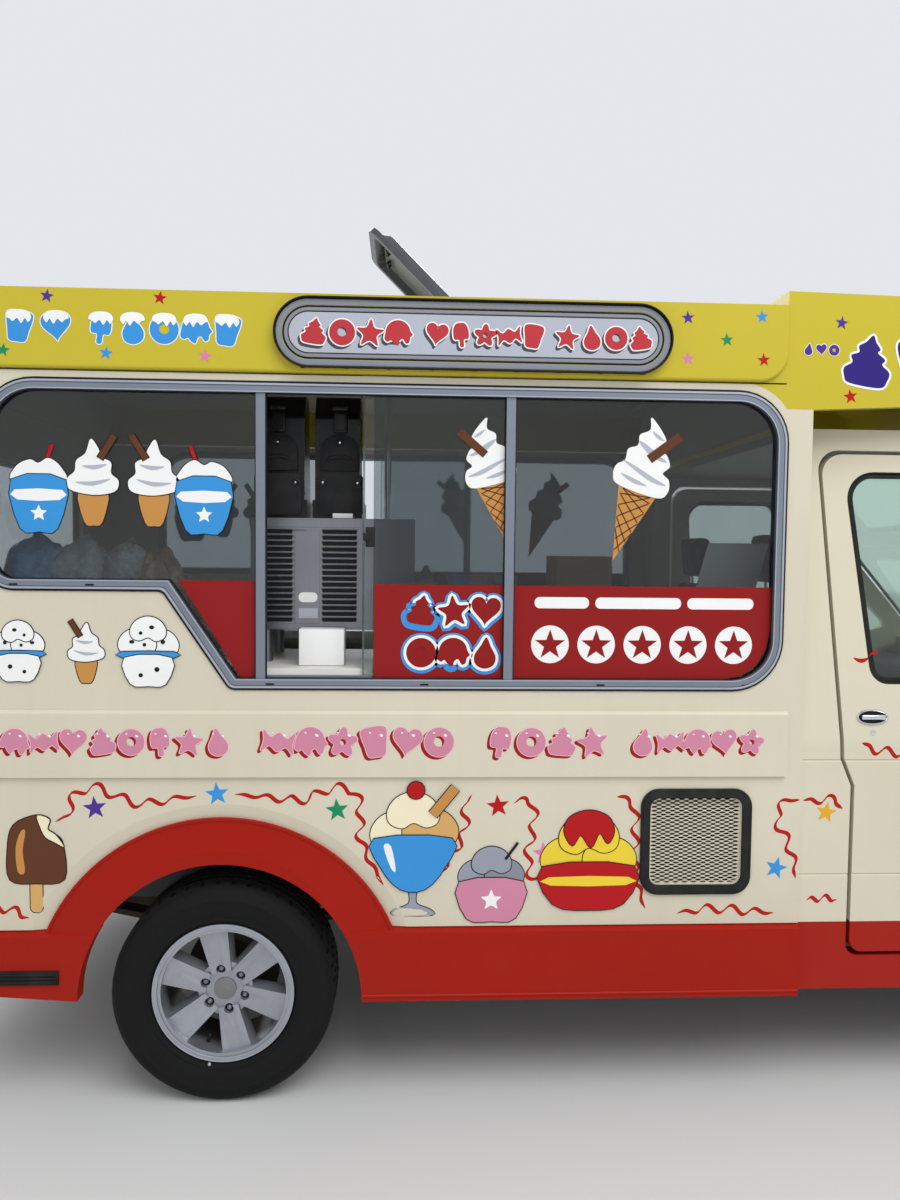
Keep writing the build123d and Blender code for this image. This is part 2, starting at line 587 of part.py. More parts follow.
crease_circle = Pos(REAR_AXLE_X, -SKIRT_Y, ARCH_CREASE_Z) * Rot(90, 0, 0) * Circle(ARCH_CREASE_R)
outer_circle = Pos(REAR_AXLE_X, -SIDE_Y - 1.0, ARCH_CENTRE_Z) * Rot(90, 0, 0) * Circle(ARCH_OUTER_R)
arch = loft([crease_circle, outer_circle], ruled=True)
arch += across(REAR_AXLE_X, ARCH_CENTRE_Z, ARCH_OUTER_R, -SIDE_Y - 1.0, -SIDE_Y + ARCH_DISH)
lip = across(REAR_AXLE_X, ARCH_CENTRE_Z, ARCH_OUTER_R, -SIDE_Y - 5.0, -SIDE_Y)
arch += lip - across(REAR_AXLE_X, ARCH_CENTRE_Z, ARCH_OUTER_R - ARCH_LIP, -SIDE_Y - 10.0, -SIDE_Y)
below = block(
    ahead(-ARCH_OUTER_R) - 50.0, ahead(ARCH_OUTER_R) + 50.0, -SKIRT_Y - 20.0, -SIDE_Y + 20.0,
    ARCH_CENTRE_Z - ARCH_OUTER_R - 50.0, SKIRT_BOTTOM_Z,
)
skirt += arch - below
skirt -= across(REAR_AXLE_X, ARCH_CENTRE_Z, ARCH_OPENING_R, -SKIRT_Y - 20.0, -SIDE_Y + WALL + 20.0)
rear_rise = [
    (REAR_END_X - 10.0, SKIRT_BOTTOM_Z - 50.0),
    (REAR_AXLE_X, SKIRT_BOTTOM_Z - 50.0),
    (ahead(-ARCH_OPENING_R), SKIRT_BOTTOM_Z + 12.0),
    (REAR_END_X + 60.0, SKIRT_REAR_BOTTOM_Z),
    (REAR_END_X - 10.0, SKIRT_REAR_BOTTOM_Z),
]
skirt -= side_panel(rear_rise, -SKIRT_Y - 20.0, -SIDE_Y + WALL + 20.0)
rear_bumper = plan_panel(
    [
        (REAR_END_X, -SKIRT_Y),
        (REAR_END_X + 60.0, -SKIRT_Y),
        (REAR_END_X + 60.0, SKIRT_Y),
        (REAR_END_X, SKIRT_Y),
    ],
    SKIRT_REAR_BOTTOM_Z,
    SIDE_BOTTOM_Z,
    [BUMPER_CORNER_R, 0, 0, BUMPER_CORNER_R],
)
skirts = skirt + other_side(skirt) + rear_bumper
save(skirts, "lower_skirts")

# Window frames with their two dividers
frame = side_panel(
    window_outline(), -SIDE_Y - FRAME_PROUD, -SIDE_Y - FRAME_PROUD + FRAME_DEPTH, window_radii()
)
frame -= side_panel(
    window_outline(-FRAME_WIDTH), -SIDE_Y - 40.0, -SIDE_Y + 90.0, window_radii(-FRAME_WIDTH * 0.99)
)
for divider_x in (DIVIDER_REAR_X, DIVIDER_FRONT_X):
    frame += block(
        divider_x - DIVIDER_WIDTH / 2, divider_x + DIVIDER_WIDTH / 2,
        -SIDE_Y, -SIDE_Y - FRAME_PROUD + FRAME_DEPTH,
        WINDOW_LOW_Z + FRAME_WIDTH / 2, WINDOW_TOP_Z - FRAME_WIDTH / 2,
    )
save(both_sides(frame), "window_frames")

# Fixed panes, the sliding pane pushed forward, and the rear pane
pane_area = side_panel(
    window_outline(-FRAME_WIDTH), -GLASS_Y, -GLASS_Y + GLASS, window_radii(-FRAME_WIDTH * 0.99)
)
rear_pane = pane_area & block(
    ahead(-900.0), DIVIDER_REAR_X - DIVIDER_WIDTH / 2, -1100.0, -900.0, 1200.0, 2300.0
)
front_pane = pane_area & block(
    DIVIDER_FRONT_X + DIVIDER_WIDTH / 2, front(-1350.0), -1100.0, -900.0, 1200.0, 2300.0
)
middle_pane = block(
    SLIDER_REAR_X + 30.0, DIVIDER_FRONT_X - DIVIDER_WIDTH / 2, -GLASS_Y, -GLASS_Y + GLASS,
    WINDOW_LOW_Z + FRAME_WIDTH, WINDOW_TOP_Z - FRAME_WIDTH,
)
sliding_pane = block(
    SLIDER_REAR_X, DIVIDER_FRONT_X - DIVIDER_WIDTH / 2, -SLIDER_Y, -SLIDER_Y + GLASS,
    WINDOW_LOW_Z + FRAME_WIDTH, WINDOW_TOP_Z - FRAME_WIDTH,
)
right_panes = Compound(
    [*rear_pane.solids(), *front_pane.solids(), *middle_pane.solids(), *sliding_pane.solids()]
)
back_glass = cross_panel(rear_window_points, BODY_REAR_X + 14.0, BODY_REAR_X + 14.0 + GLASS, 90.0)
side_glass = Compound([*both_sides(right_panes).solids(), *back_glass.solids()])
save(side_glass, "body_glass")

# Roof with its crown, the hatch opening and its upstand, and the closing panel over the cab
ROOF_HALF = FASCIA_Y - FASCIA_THICK
ROOF_EDGE_Z = FASCIA_HIGH_Z - 20.0
roof_top = ThreePointArc(
    (
        BODY_REAR_X + WALL, -ROOF_HALF, ROOF_EDGE_Z
    ), (BODY_REAR_X + WALL, 0, ROOF_CROWN_Z), (BODY_REAR_X + WALL, ROOF_HALF, ROOF_EDGE_Z)
)
roof_under = ThreePointArc(
    (BODY_REAR_X + WALL, -ROOF_HALF, ROOF_EDGE_Z - ROOF_THICK),
    (BODY_REAR_X + WALL, 0, ROOF_CROWN_Z - ROOF_THICK),
    (BODY_REAR_X + WALL, ROOF_HALF, ROOF_EDGE_Z - ROOF_THICK),
)
roof_edges = [
    Line(roof_top @ 0, roof_under @ 0),
    Line(roof_top @ 1, roof_under @ 1),
]
roof_face = make_face([roof_top, roof_edges[1], roof_under, roof_edges[0]])
ROOF_FRONT_X = CAB_FASCIA_REAR_X
roof = extrude(roof_face, amount=ROOF_FRONT_X - BODY_REAR_X - WALL, dir=(1, 0, 0))
HATCH_REAR_X = HATCH_HINGE_X - HATCH_LENGTH
UPSTAND_TOP_Z = HATCH_HINGE_Z - 12.0
upstand = block(
    HATCH_REAR_X + 32.0, HATCH_HINGE_X - 22.0, -HATCH_WIDTH / 2 + 32.0, HATCH_WIDTH / 2 - 32.0,
    ROOF_CROWN_Z - ROOF_THICK - 20.0, UPSTAND_TOP_Z,
)
hatch_hole = block(
    HATCH_REAR_X + 32.0 + HATCH_UPSTAND, HATCH_HINGE_X - 22.0 - HATCH_UPSTAND,
    -HATCH_WIDTH / 2 + 32.0 + HATCH_UPSTAND, HATCH_WIDTH / 2 - 32.0 - HATCH_UPSTAND,
    ROOF_CROWN_Z - 200.0, UPSTAND_TOP_Z + 20.0,
)
roof = roof + upstand - hatch_hole
for lug_y in (-120.0, 120.0):
    roof += block(
        HATCH_HINGE_X - 40.0, HATCH_HINGE_X + 8.0, lug_y - 12.0, lug_y + 12.0,
        UPSTAND_TOP_Z - 40.0, HATCH_HINGE_Z + 8.0,
    )
    roof -= across(HATCH_HINGE_X, HATCH_HINGE_Z, HATCH_PIN_R + RUN_CLEARANCE, lug_y - 30.0, lug_y + 30.0)
front_closing = block(
    BODY_FRONT_X - WALL, BODY_FRONT_X, -SIDE_Y + WALL, SIDE_Y - WALL, SIDE_TOP_Z - 90.0, FASCIA_HIGH_Z - 60.0
)
closing_top = block(
    ROOF_FRONT_X - 30.0, BODY_FRONT_X, -SIDE_Y + WALL + 20.0, SIDE_Y - WALL - 20.0,
    FASCIA_HIGH_Z - 60.0, FASCIA_HIGH_Z - 30.0,
)
roof += front_closing + closing_top
save(roof, "body_roof")

# Hatch lid: a framed dome, hinged at its front edge and standing open
lid_points = [
    (HATCH_REAR_X, -HATCH_WIDTH / 2),
    (HATCH_HINGE_X + 14.0, -HATCH_WIDTH / 2),
    (HATCH_HINGE_X + 14.0, HATCH_WIDTH / 2),
    (HATCH_REAR_X, HATCH_WIDTH / 2),
]
LID_LOW_Z = HATCH_HINGE_Z - 4.0
lid = plan_panel(lid_points, LID_LOW_Z, LID_LOW_Z + HATCH_FRAME, 45.0)
dome_plane = Plane(origin=((HATCH_REAR_X + HATCH_HINGE_X + 14.0) / 2, 0, LID_LOW_Z + HATCH_FRAME))
DOME_LENGTH = HATCH_LENGTH - 34.0
DOME_WIDTH = HATCH_WIDTH - 48.0
dome = loft(
    [
        dome_plane * RectangleRounded(DOME_LENGTH, DOME_WIDTH, 40.0),
        dome_plane.offset(HATCH_DOME * 0.7) * RectangleRounded(DOME_LENGTH - 50.0, DOME_WIDTH - 50.0, 40.0),
        dome_plane.offset(HATCH_DOME) * RectangleRounded(DOME_LENGTH - 150.0, DOME_WIDTH - 150.0, 40.0),
    ],
    ruled=True,
)
dome_hollow = loft(
    [
        dome_plane.offset(-HATCH_FRAME - 1.0) * RectangleRounded(
            DOME_LENGTH - 12.0, DOME_WIDTH - 12.0, 34.0
        ),
        dome_plane.offset(HATCH_DOME * 0.7 - 5.0) * RectangleRounded(
            DOME_LENGTH - 60.0, DOME_WIDTH - 60.0, 34.0
        ),
        dome_plane.offset(HATCH_DOME - 5.0) * RectangleRounded(
            DOME_LENGTH - 158.0, DOME_WIDTH - 158.0, 34.0
        ),
    ],
    ruled=True,
)
lid = lid + dome - dome_hollow
for lug_y in (-120.0, 120.0):
    lid -= block(
        HATCH_HINGE_X - 55.0, HATCH_HINGE_X + 40.0, lug_y - 18.0, lug_y + 18.0, LID_LOW_Z - 30.0,
        LID_LOW_Z + HATCH_FRAME + 30.0,
    )
    lid += across(HATCH_HINGE_X, HATCH_HINGE_Z, HATCH_PIN_R, lug_y - 24.0, lug_y + 24.0)
lid = lid.rotate(Axis((HATCH_HINGE_X, 0, HATCH_HINGE_Z), (0, 1, 0)), HATCH_OPEN_DEG)
save(lid, "hatch_lid")

# Yellow fascia: long side boards with raised signs, the rear board and the pod over the cab
board_points = [
    (REAR_END_X + 6.0, FASCIA_LOW_Z),
    (CAB_FASCIA_REAR_X, FASCIA_LOW_Z),
    (CAB_FASCIA_REAR_X, FASCIA_HIGH_Z),
    (REAR_END_X + 6.0, FASCIA_HIGH_Z),
]
board = side_panel(board_points, -POD_Y, -FASCIA_Y + FASCIA_THICK)
raised = side_panel(board_points, -FASCIA_Y, -POD_Y + 2.0, [0, BOARD_CORNER_R, 0, 0])
board += fillet(raised.edges().group_by(Axis.Y)[0].filter_by(GeomType.CIRCLE), BOARD_EDGE_R)


def pill(inset=0.0):
    """Corners of the round-ended sign, set in from its edge."""
    return [
        (SIGN_REAR_X + inset, SIGN_LOW_Z + inset),
        (SIGN_FRONT_X - inset, SIGN_LOW_Z + inset),
        (SIGN_FRONT_X - inset, SIGN_HIGH_Z - inset),
        (SIGN_REAR_X + inset, SIGN_HIGH_Z - inset),
    ]


def pill_radius(inset=0.0):
    return (SIGN_HIGH_Z - SIGN_LOW_Z) / 2 - inset - 0.5


sign = side_panel(pill(), -FASCIA_Y - SIGN_PROUD, -FASCIA_Y, pill_radius())
groove = side_panel(
    pill(SIGN_RIM), -FASCIA_Y - SIGN_PROUD - 2.0, -FASCIA_Y - SIGN_PROUD + 3.0, pill_radius(SIGN_RIM)
)
groove -= side_panel(
    pill(
        SIGN_RIM + SIGN_GROOVE
    ), -FASCIA_Y - SIGN_PROUD - 3.0, -FASCIA_Y, pill_radius(SIGN_RIM + SIGN_GROOVE)
)
boards = board + sign - groove
boards += other_side(boards)
rear_board = plan_panel(
    [
        (REAR_END_X, -FASCIA_Y),
        (REAR_END_X + FASCIA_THICK, -FASCIA_Y),
        (REAR_END_X + FASCIA_THICK, FASCIA_Y),
        (REAR_END_X, FASCIA_Y),
    ],
    FASCIA_LOW_Z,
    FASCIA_HIGH_Z,
    [36.0, 0, 0, 36.0],
)
POD_RADII = [0, 0, 330.0, 330.0]
POD_TAPER = 75.0


def pod_outline(inset=0.0):
    return [
        (CAB_FASCIA_REAR_X, POD_Y - inset),
        (CAB_FASCIA_REAR_X, -POD_Y + inset),
        (CAB_FASCIA_FRONT_X - inset, -POD_Y + POD_TAPER + inset * 0.8),
        (CAB_FASCIA_FRONT_X - inset, POD_Y - POD_TAPER - inset * 0.8),
    ]


def pod_profile(inset=0.0, low=0.0):
    top = CAB_FASCIA_TOP_Z - inset
    return [
        (CAB_FASCIA_REAR_X - 10.0, CAB_FASCIA_LOW_Z - low),
        (BODY_FRONT_X, CAB_FASCIA_LOW_Z - low),
        (CAB_FASCIA_FRONT_X + 10.0, CAB_FASCIA_LOW_Z + 60.0 - low),
        (CAB_FASCIA_FRONT_X - 60.0 - inset, top - 60.0),
        (CAB_FASCIA_FRONT_X - 330.0 - inset, top),
        (CAB_FASCIA_REAR_X - 10.0, top),
    ]


pod = plan_panel(pod_outline(), 2100.0, 2700.0, POD_RADII) & side_panel(
    pod_profile(), -1200.0, 1200.0, [0, 0, 0, 90, 200, 0]
)
pod_hollow = plan_panel(pod_outline(CAB_FASCIA_WALL), 2000.0, 2700.0, [0, 0, 300.0, 300.0]) & side_panel(
    pod_profile(CAB_FASCIA_WALL, 150.0), -1200.0, 1200.0, [0, 0, 0, 60, 170, 0]
)
pod -= pod_hollow
pod_rear = block(
    CAB_FASCIA_REAR_X, CAB_FASCIA_REAR_X + 28.0, -POD_Y + CAB_FASCIA_WALL / 2, POD_Y - CAB_FASCIA_WALL / 2,
    FASCIA_HIGH_Z - 24.0, CAB_FASCIA_TOP_Z - 10.0,
)
pod += pod_rear
fascia = boards + rear_board + pod
save(fascia, "roof_fascia")


# Cab side: a wall that leans in above the waist, cut to each piece's outline
def cab_wall(outside=0.0, thickness=CAB_SKIN, x0=BODY_FRONT_X, x1=front(170.0)):
    """Leaning wall of the right side; outside moves its face inwards."""
    y = CAB_Y - outside
    top = CAB_TOP_Y - outside
    points = [
        (-y, 200.0),
        (-y, CAB_WAIST_Z),
        (-top, CAB_ROOF_Z),
        (-top + thickness, CAB_ROOF_Z),
        (-y + thickness, CAB_WAIST_Z),
        (-y + thickness, 200.0),
    ]
    return cross_panel(points, x0, x1, [0, 220.0, 0, 0, 220.0, 0])


PILLAR_RUN = (SCREEN_BASE_X - SCREEN_TOP_X) / (SCREEN_TOP_Z - SCREEN_BASE_Z)
PILLAR_BACK = PILLAR_WIDTH * 1.45
SHOULDER_Z = SCREEN_BASE_Z + (SCREEN_BASE_X - PILLAR_BACK - DOOR_FRONT_X) / PILLAR_RUN


def screen_line_x(z, back=0.0):
    """Front edge of the screen pillar at a height."""
    return SCREEN_BASE_X - (z - SCREEN_BASE_Z) * PILLAR_RUN - back


def door_outline(grow=0.0):
    """Door seen from the side, from the rear bottom corner forward."""
    front_top_x = screen_line_x(DOOR_TOP_Z, PILLAR_BACK) + grow * 0.4
    shoulder_x = DOOR_FRONT_X + grow
    shoulder_z = SHOULDER_Z + grow * 0.9
    return [
        (DOOR_REAR_X + 12.0 - grow, DOOR_LOW_Z - grow),
        (shoulder_x, DOOR_LOW_Z - grow),
        (shoulder_x, shoulder_z),
        (front_top_x, DOOR_TOP_Z + grow),
        (DOOR_REAR_X - 70.0 - grow, DOOR_TOP_Z + grow),
        (DOOR_REAR_X - 24.0 - grow, 1096.0),
        (DOOR_REAR_X + 12.0 - grow, 1009.0),
    ]


DOOR_RADII = [40, 10, 30, 60, 70, 0, 0]

DOOR_GLASS_LOW_Z = 1330.0


def door_window(grow=0.0):
    shoulder_x = DOOR_FRONT_X - 62.0 + grow
    shoulder_z = SHOULDER_Z + grow * 0.4
    top_z = DOOR_TOP_Z - 58.0 + grow
    return [
        (DOOR_REAR_X + 70.0 - grow * 0.9, DOOR_GLASS_LOW_Z - grow),
        (shoulder_x, DOOR_GLASS_LOW_Z - grow),
        (shoulder_x, shoulder_z - 30.0),
        (screen_line_x(top_z, PILLAR_BACK + 62.0) + grow * 0.5, top_z),
        (DOOR_REAR_X + 5.0 - grow, top_z),
    ]


DOOR_WINDOW_RADII = [60, 40, 50, 60, 90]

# Two pressed lines run along the cab side and its door
SWAGE_HEIGHTS = [722.0, 1090.0]
SWAGE_DEPTH = 4.0


def swage_lines():
    lines = []
    for z in SWAGE_HEIGHTS:
        points = [
            (-CAB_Y - 4.0, z + 8.0), (-CAB_Y - 4.0, z - 4.0), (-CAB_Y, z - 4.0), (-CAB_Y + SWAGE_DEPTH, z)
        ]
        lines.append(cross_panel(points, BODY_FRONT_X - 10.0, DOOR_FRONT_X + 40.0))
    return lines


door = cab_wall() & side_panel(door_outline(), -1200.0, -500.0, DOOR_RADII)
door -= side_panel(door_window(), -1200.0, -500.0, DOOR_WINDOW_RADII)
door -= swage_lines()
hollow = cab_wall(16.0, CAB_SKIN - 28.0) & side_panel(
    door_outline(-22.0), -1200.0, -500.0, [20, 0, 20, 40, 40, 0, 0]
)
hollow -= side_panel(door_window(20.0), -1200.0, -500.0, 30.0)
hollow &= block(ahead(1800.0), front(-250.0), -1100.0, -600.0, 300.0, 1290.0)
door -= hollow
DOOR_HINGE_X = DOOR_FRONT_X - 4.0
HINGE_HEIGHTS = [640.0, 1120.0]
HINGE_HALF = 32.0
HINGE_LUG = 16.0
for hinge_z in HINGE_HEIGHTS:
    door -= upright(
        DOOR_HINGE_X, -DOOR_HINGE_Y, DOOR_HINGE_R + 9.0, hinge_z - HINGE_HALF - HINGE_LUG - 4.0,
        hinge_z + HINGE_HALF + HINGE_LUG + 4.0,
    )
    door += upright(
        DOOR_HINGE_X, -DOOR_HINGE_Y, DOOR_HINGE_R, hinge_z - HINGE_HALF - HINGE_LUG,
        hinge_z + HINGE_HALF + HINGE_LUG,
    )
    door += block(
        DOOR_HINGE_X - 45.0, DOOR_HINGE_X, -DOOR_HINGE_Y - 4.0, -DOOR_HINGE_Y + 8.0,
        hinge_z - HINGE_HALF + 6.0, hinge_z + HINGE_HALF - 6.0,
    )
save(door, "cab_door_right")
save(other_side(door), "cab_door_left")

door_glass = cab_wall(26.0, GLASS) & side_panel(door_window(), -1200.0, -500.0, DOOR_WINDOW_RADII)
save(door_glass, "door_glass_right")
save(other_side(door_glass), "door_glass_left")

# Door mirror on its arm, carried by the door
MIRROR_X = front(-525.0)
mirror_head = plan_panel(
    [
        (MIRROR_X - 40.0, -CAB_Y - 60.0),
        (MIRROR_X - 40.0, -CAB_Y - 250.0),
        (MIRROR_X + 50.0, -CAB_Y - 250.0),
        (MIRROR_X + 90.0, -CAB_Y - 60.0),
    ],
    1340.0,
    1640.0,
    [20, 30, 60, 40],
)
mirror_face = block(MIRROR_X - 60.0, MIRROR_X - 30.0, -CAB_Y - 234.0, -CAB_Y - 76.0, 1360.0, 1620.0)
mirror = mirror_head - mirror_face
for arm_z in (1250.0, 1375.0):
    mirror += block(
        MIRROR_X + 23.0, MIRROR_X + 67.0, -CAB_Y - 90.0, -CAB_Y + 60.0, arm_z - 15.0, arm_z + 15.0
    )
mirror += block(MIRROR_X + 23.0, MIRROR_X + 67.0, -CAB_Y - 95.0, -CAB_Y - 61.0, 1235.0, 1400.0)
mirror -= cab_wall(0.0, 300.0, front(-1250.0), front(-250.0))
save(mirror, "door_mirror_right")
save(other_side(mirror), "door_mirror_left")

# Nose: one outer form, hollowed; the front panels are cut from it
nose_profile = [
    (front(-400.0), 250.0),
    (front(-400.0), 1186.0),
    (front(-14.0), 1306.0),
    (front(80.0), 1330.0),
    (front(450.0), 1236.0),
    (BONNET_FRONT_X, 1070.0),
    (front(870.0), 930.0),
    (front(950.0), 740.0),
    (FRONT_END_X, 690.0),
    (FRONT_END_X - 4.0, 470.0),
    (FRONT_END_X - 50.0, 285.0),
    (FRONT_END_X - 200.0, 250.0),
]
nose_profile_radii = [0, 0, 0, 60, 260, 130, 90, 20, 40, 60, 40, 30]


def nose_point(x, z, inset):
    """A point of the profile, moved in where it belongs to the front or the top."""
    is_front = x > front(650.0)
    is_top = x > front(-350.0) and z > 900.0
    return (x - inset if is_front else x, z - inset if is_top else z)


def nose_form(inset=0.0):
    points = [nose_point(x, z, inset) for x, z in nose_profile]
    profile = side_panel(points, -1100.0, 1100.0, nose_profile_radii)
    plan = plan_panel(
        [
            (front(-550.0), -CAB_Y + inset),
            (front(310.0), -CAB_Y + inset),
            (FRONT_END_X - 190.0 - inset * 0.6, -CAB_Y + 110.0 + inset * 0.8),
            (FRONT_END_X - inset, -520.0),
            (FRONT_END_X - inset, 520.0),
            (FRONT_END_X - 190.0 - inset * 0.6, CAB_Y - 110.0 - inset * 0.8),
            (front(310.0), CAB_Y - inset),
            (front(-550.0), CAB_Y - inset),
        ],
        200.0,
        1500.0,
        [0, 500, 260, 400, 400, 260, 500, 0],
    )
    return profile & plan


nose_shell = nose_form() - nose_form(NOSE_SKIN)
nose_shell -= block(
    front(-450.0), NOSE_PAST_X, -BONNET_HALF_WIDTH + 120.0, BONNET_HALF_WIDTH - 120.0, 200.0, 240.0
)

# Cab frame: pillars, sills, cowl, header and roof panel
frame_outline = [
    (BODY_FRONT_X, 350.0),
    (front(-484.0), 350.0),
    (front(-400.0), 640.0),
    (front(-400.0), 1180.0),
    (front(-10.0), 1300.0),
    (SCREEN_BASE_X, SCREEN_BASE_Z),
    (SCREEN_TOP_X, SCREEN_TOP_Z),
    (SCREEN_TOP_X - 60.0, CAB_ROOF_Z),
    (BODY_FRONT_X, CAB_ROOF_Z),
]
cab_side = cab_wall(x1=front(50.0)) & side_panel(
    frame_outline, -1200.0, -500.0, [0, 0, 0, 60, 0, 0, 40, 0, 0]
)
cab_side -= nose_shell
cab_side -= swage_lines()
cab_side -= side_panel(door_outline(DOOR_GAP), -1200.0, -500.0, DOOR_RADII)
quarter_points = [
    (DOOR_FRONT_X + DOOR_GAP + 52.0, 1322.0),
    (screen_line_x(1400.0, PILLAR_WIDTH * 1.2) + 30.0, 1372.0),
    (DOOR_FRONT_X + DOOR_GAP + 52.0, SHOULDER_Z - 60.0),
]
cab_side -= side_panel(quarter_points, -1200.0, -500.0, 22.0)
for hinge_z in HINGE_HEIGHTS:
    for end in (-1, 1):
        lug_z = hinge_z + end * (HINGE_HALF + HINGE_LUG / 2)
        lug = upright(
            DOOR_HINGE_X, -DOOR_HINGE_Y, DOOR_HINGE_R + 7.0, lug_z - HINGE_LUG / 2 + 1.0,
            lug_z + HINGE_LUG / 2 - 1.0,
        )
        lug += block(
            DOOR_HINGE_X, DOOR_HINGE_X + 48.0, -DOOR_HINGE_Y - 2.0, -DOOR_HINGE_Y + 14.0,
            lug_z - HINGE_LUG / 2 + 1.0, lug_z + HINGE_LUG / 2 - 1.0,
        )
        cab_side += lug
        cab_side -= upright(
            DOOR_HINGE_X, -DOOR_HINGE_Y, DOOR_HINGE_R + RUN_CLEARANCE, lug_z - HINGE_LUG, lug_z + HINGE_LUG
        )
cab_roof = block(
    BODY_FRONT_X, SCREEN_TOP_X - 60.0, -CAB_TOP_Y + CAB_SKIN, CAB_TOP_Y - CAB_SKIN, CAB_ROOF_Z - 30.0,
    CAB_ROOF_Z,
)
header = block(
    SCREEN_TOP_X - 60.0, SCREEN_TOP_X, -CAB_TOP_Y + CAB_SKIN, CAB_TOP_Y - CAB_SKIN, CAB_ROOF_Z - 85.0,
    CAB_ROOF_Z - 22.0,
)
cowl = block(front(-100.0), front(50.0), -CAB_Y + CAB_SKIN, CAB_Y - CAB_SKIN, 1240.0, 1318.0)
cowl += block(
    front(50.0), SCUTTLE_FRONT_X, -BONNET_HALF_WIDTH - 60.0, BONNET_HALF_WIDTH + 60.0, 1240.0, 1318.0
)
cowl += block(front(-100.0), BONNET_HINGE_X + 12.0, -BONNET_HALF_WIDTH, BONNET_HALF_WIDTH, 1140.0, 1165.0)
cowl += block(front(-100.0), front(-75.0), -BONNET_HALF_WIDTH, BONNET_HALF_WIDTH, 1140.0, 1250.0)
for hinge_y in BONNET_HINGE_SIDES:
    for lug_y in (hinge_y - 29.0, hinge_y + 29.0):
        cowl += block(
            BONNET_HINGE_X - 12.0, BONNET_HINGE_X + 12.0, lug_y - 9.0, lug_y + 9.0,
            1150.0, BONNET_HINGE_Z + 12.0,
        )
        cowl -= across(
            BONNET_HINGE_X, BONNET_HINGE_Z, BONNET_HINGE_R + RUN_CLEARANCE, lug_y - 12.0, lug_y + 12.0
        )
cab_frame = cab_side + other_side(cab_side) + cab_roof + header + cowl
save(cab_frame, "cab_frame")

# Windscreen, curved in plan, and the quarter panes
screen_dir = Vector(SCREEN_TOP_X - SCREEN_BASE_X, 0, SCREEN_TOP_Z - SCREEN_BASE_Z)
SCREEN_HALF = CAB_Y - CAB_SKIN
START_Z = SCREEN_BASE_Z - 96.0
start_x = screen_line_x(START_Z) - 4.0
screen_out = ThreePointArc(
    (start_x, -SCREEN_HALF, START_Z), (start_x + SCREEN_BULGE, 0, START_Z), (start_x, SCREEN_HALF, START_Z)
)
screen_in = ThreePointArc(
    (start_x - SCREEN_GLASS, -SCREEN_HALF, START_Z),
    (start_x + SCREEN_BULGE - SCREEN_GLASS, 0, START_Z),
    (start_x - SCREEN_GLASS, SCREEN_HALF, START_Z),
)
screen_face = make_face(
    [screen_out, Line(screen_out @ 1, screen_in @ 1), screen_in, Line(screen_in @ 0, screen_out @ 0)]
)
screen = extrude(screen_face, amount=1200.0, dir=screen_dir)
SCREEN_LOW_Z = 1318.0
screen_trim = cross_panel(
    [
        (-(CAB_Y - CAB_SKIN - 46.0), SCREEN_LOW_Z),
        (CAB_Y - CAB_SKIN - 46.0, SCREEN_LOW_Z),
        (CAB_TOP_Y - CAB_SKIN - 2.0, CAB_ROOF_Z - 24.0),
        (-(CAB_TOP_Y - CAB_SKIN - 2.0), CAB_ROOF_Z - 24.0),
    ],
    front(-950.0),
    front(250.0),
)
screen &= screen_trim
quarter_glass = cab_wall(26.0, GLASS) & side_panel(quarter_points, -1200.0, -500.0, 22.0)
save(Compound([*screen.solids(), *both_sides(quarter_glass).solids()]), "windscreen")

# Cab floor step, toe-board, bulkhead and the front wheel boxes
cab_floor = block(front(-460.0), front(-400.0), -CAB_FLOOR_HALF, CAB_FLOOR_HALF, RAIL_HIGH_Z, FLOOR_Z)
toe_board = side_panel(
    [
        (front(-400.0), RAIL_HIGH_Z),
        (front(-400.0), FLOOR_Z),
        (front(-140.0), 900.0),
        (front(-140.0), 1240.0),
        (front(-100.0), 1240.0),
        (front(-100.0), 880.0),
        (front(-354.0), RAIL_HIGH_Z),
    ],
    -CAB_Y + CAB_SKIN,
    CAB_Y - CAB_SKIN,
)
FRONT_TUB_INNER_Y = 515.0
front_tub = across(FRONT_AXLE_X, AXLE_Z, FRONT_TUB_R + 16.0, -CAB_Y + CAB_SKIN, -FRONT_TUB_INNER_Y)
front_tub_space = across(FRONT_AXLE_X, AXLE_Z, FRONT_TUB_R, -CAB_Y, -FRONT_TUB_INNER_Y + 60.0)
front_tub -= front_tub_space
front_tub &= block(front(-550.0), front(550.0), -1000.0, 0.0, 660.0, 900.0)
front_tub -= block(
    FRONT_AXLE_X - 60.0, FRONT_AXLE_X + 60.0, -KINGPIN_Y - 60.0, -FRONT_TUB_INNER_Y + 60.0, 600.0, 1000.0
)
cab_floor = cab_floor + toe_board
tub_cut = across(FRONT_AXLE_X, AXLE_Z, FRONT_TUB_R, -CAB_Y, -FRONT_TUB_INNER_Y)
cab_floor = cab_floor - tub_cut - other_side(tub_cut)
cab_floor = cab_floor + front_tub + other_side(front_tub)
save(cab_floor, "cab_floor")

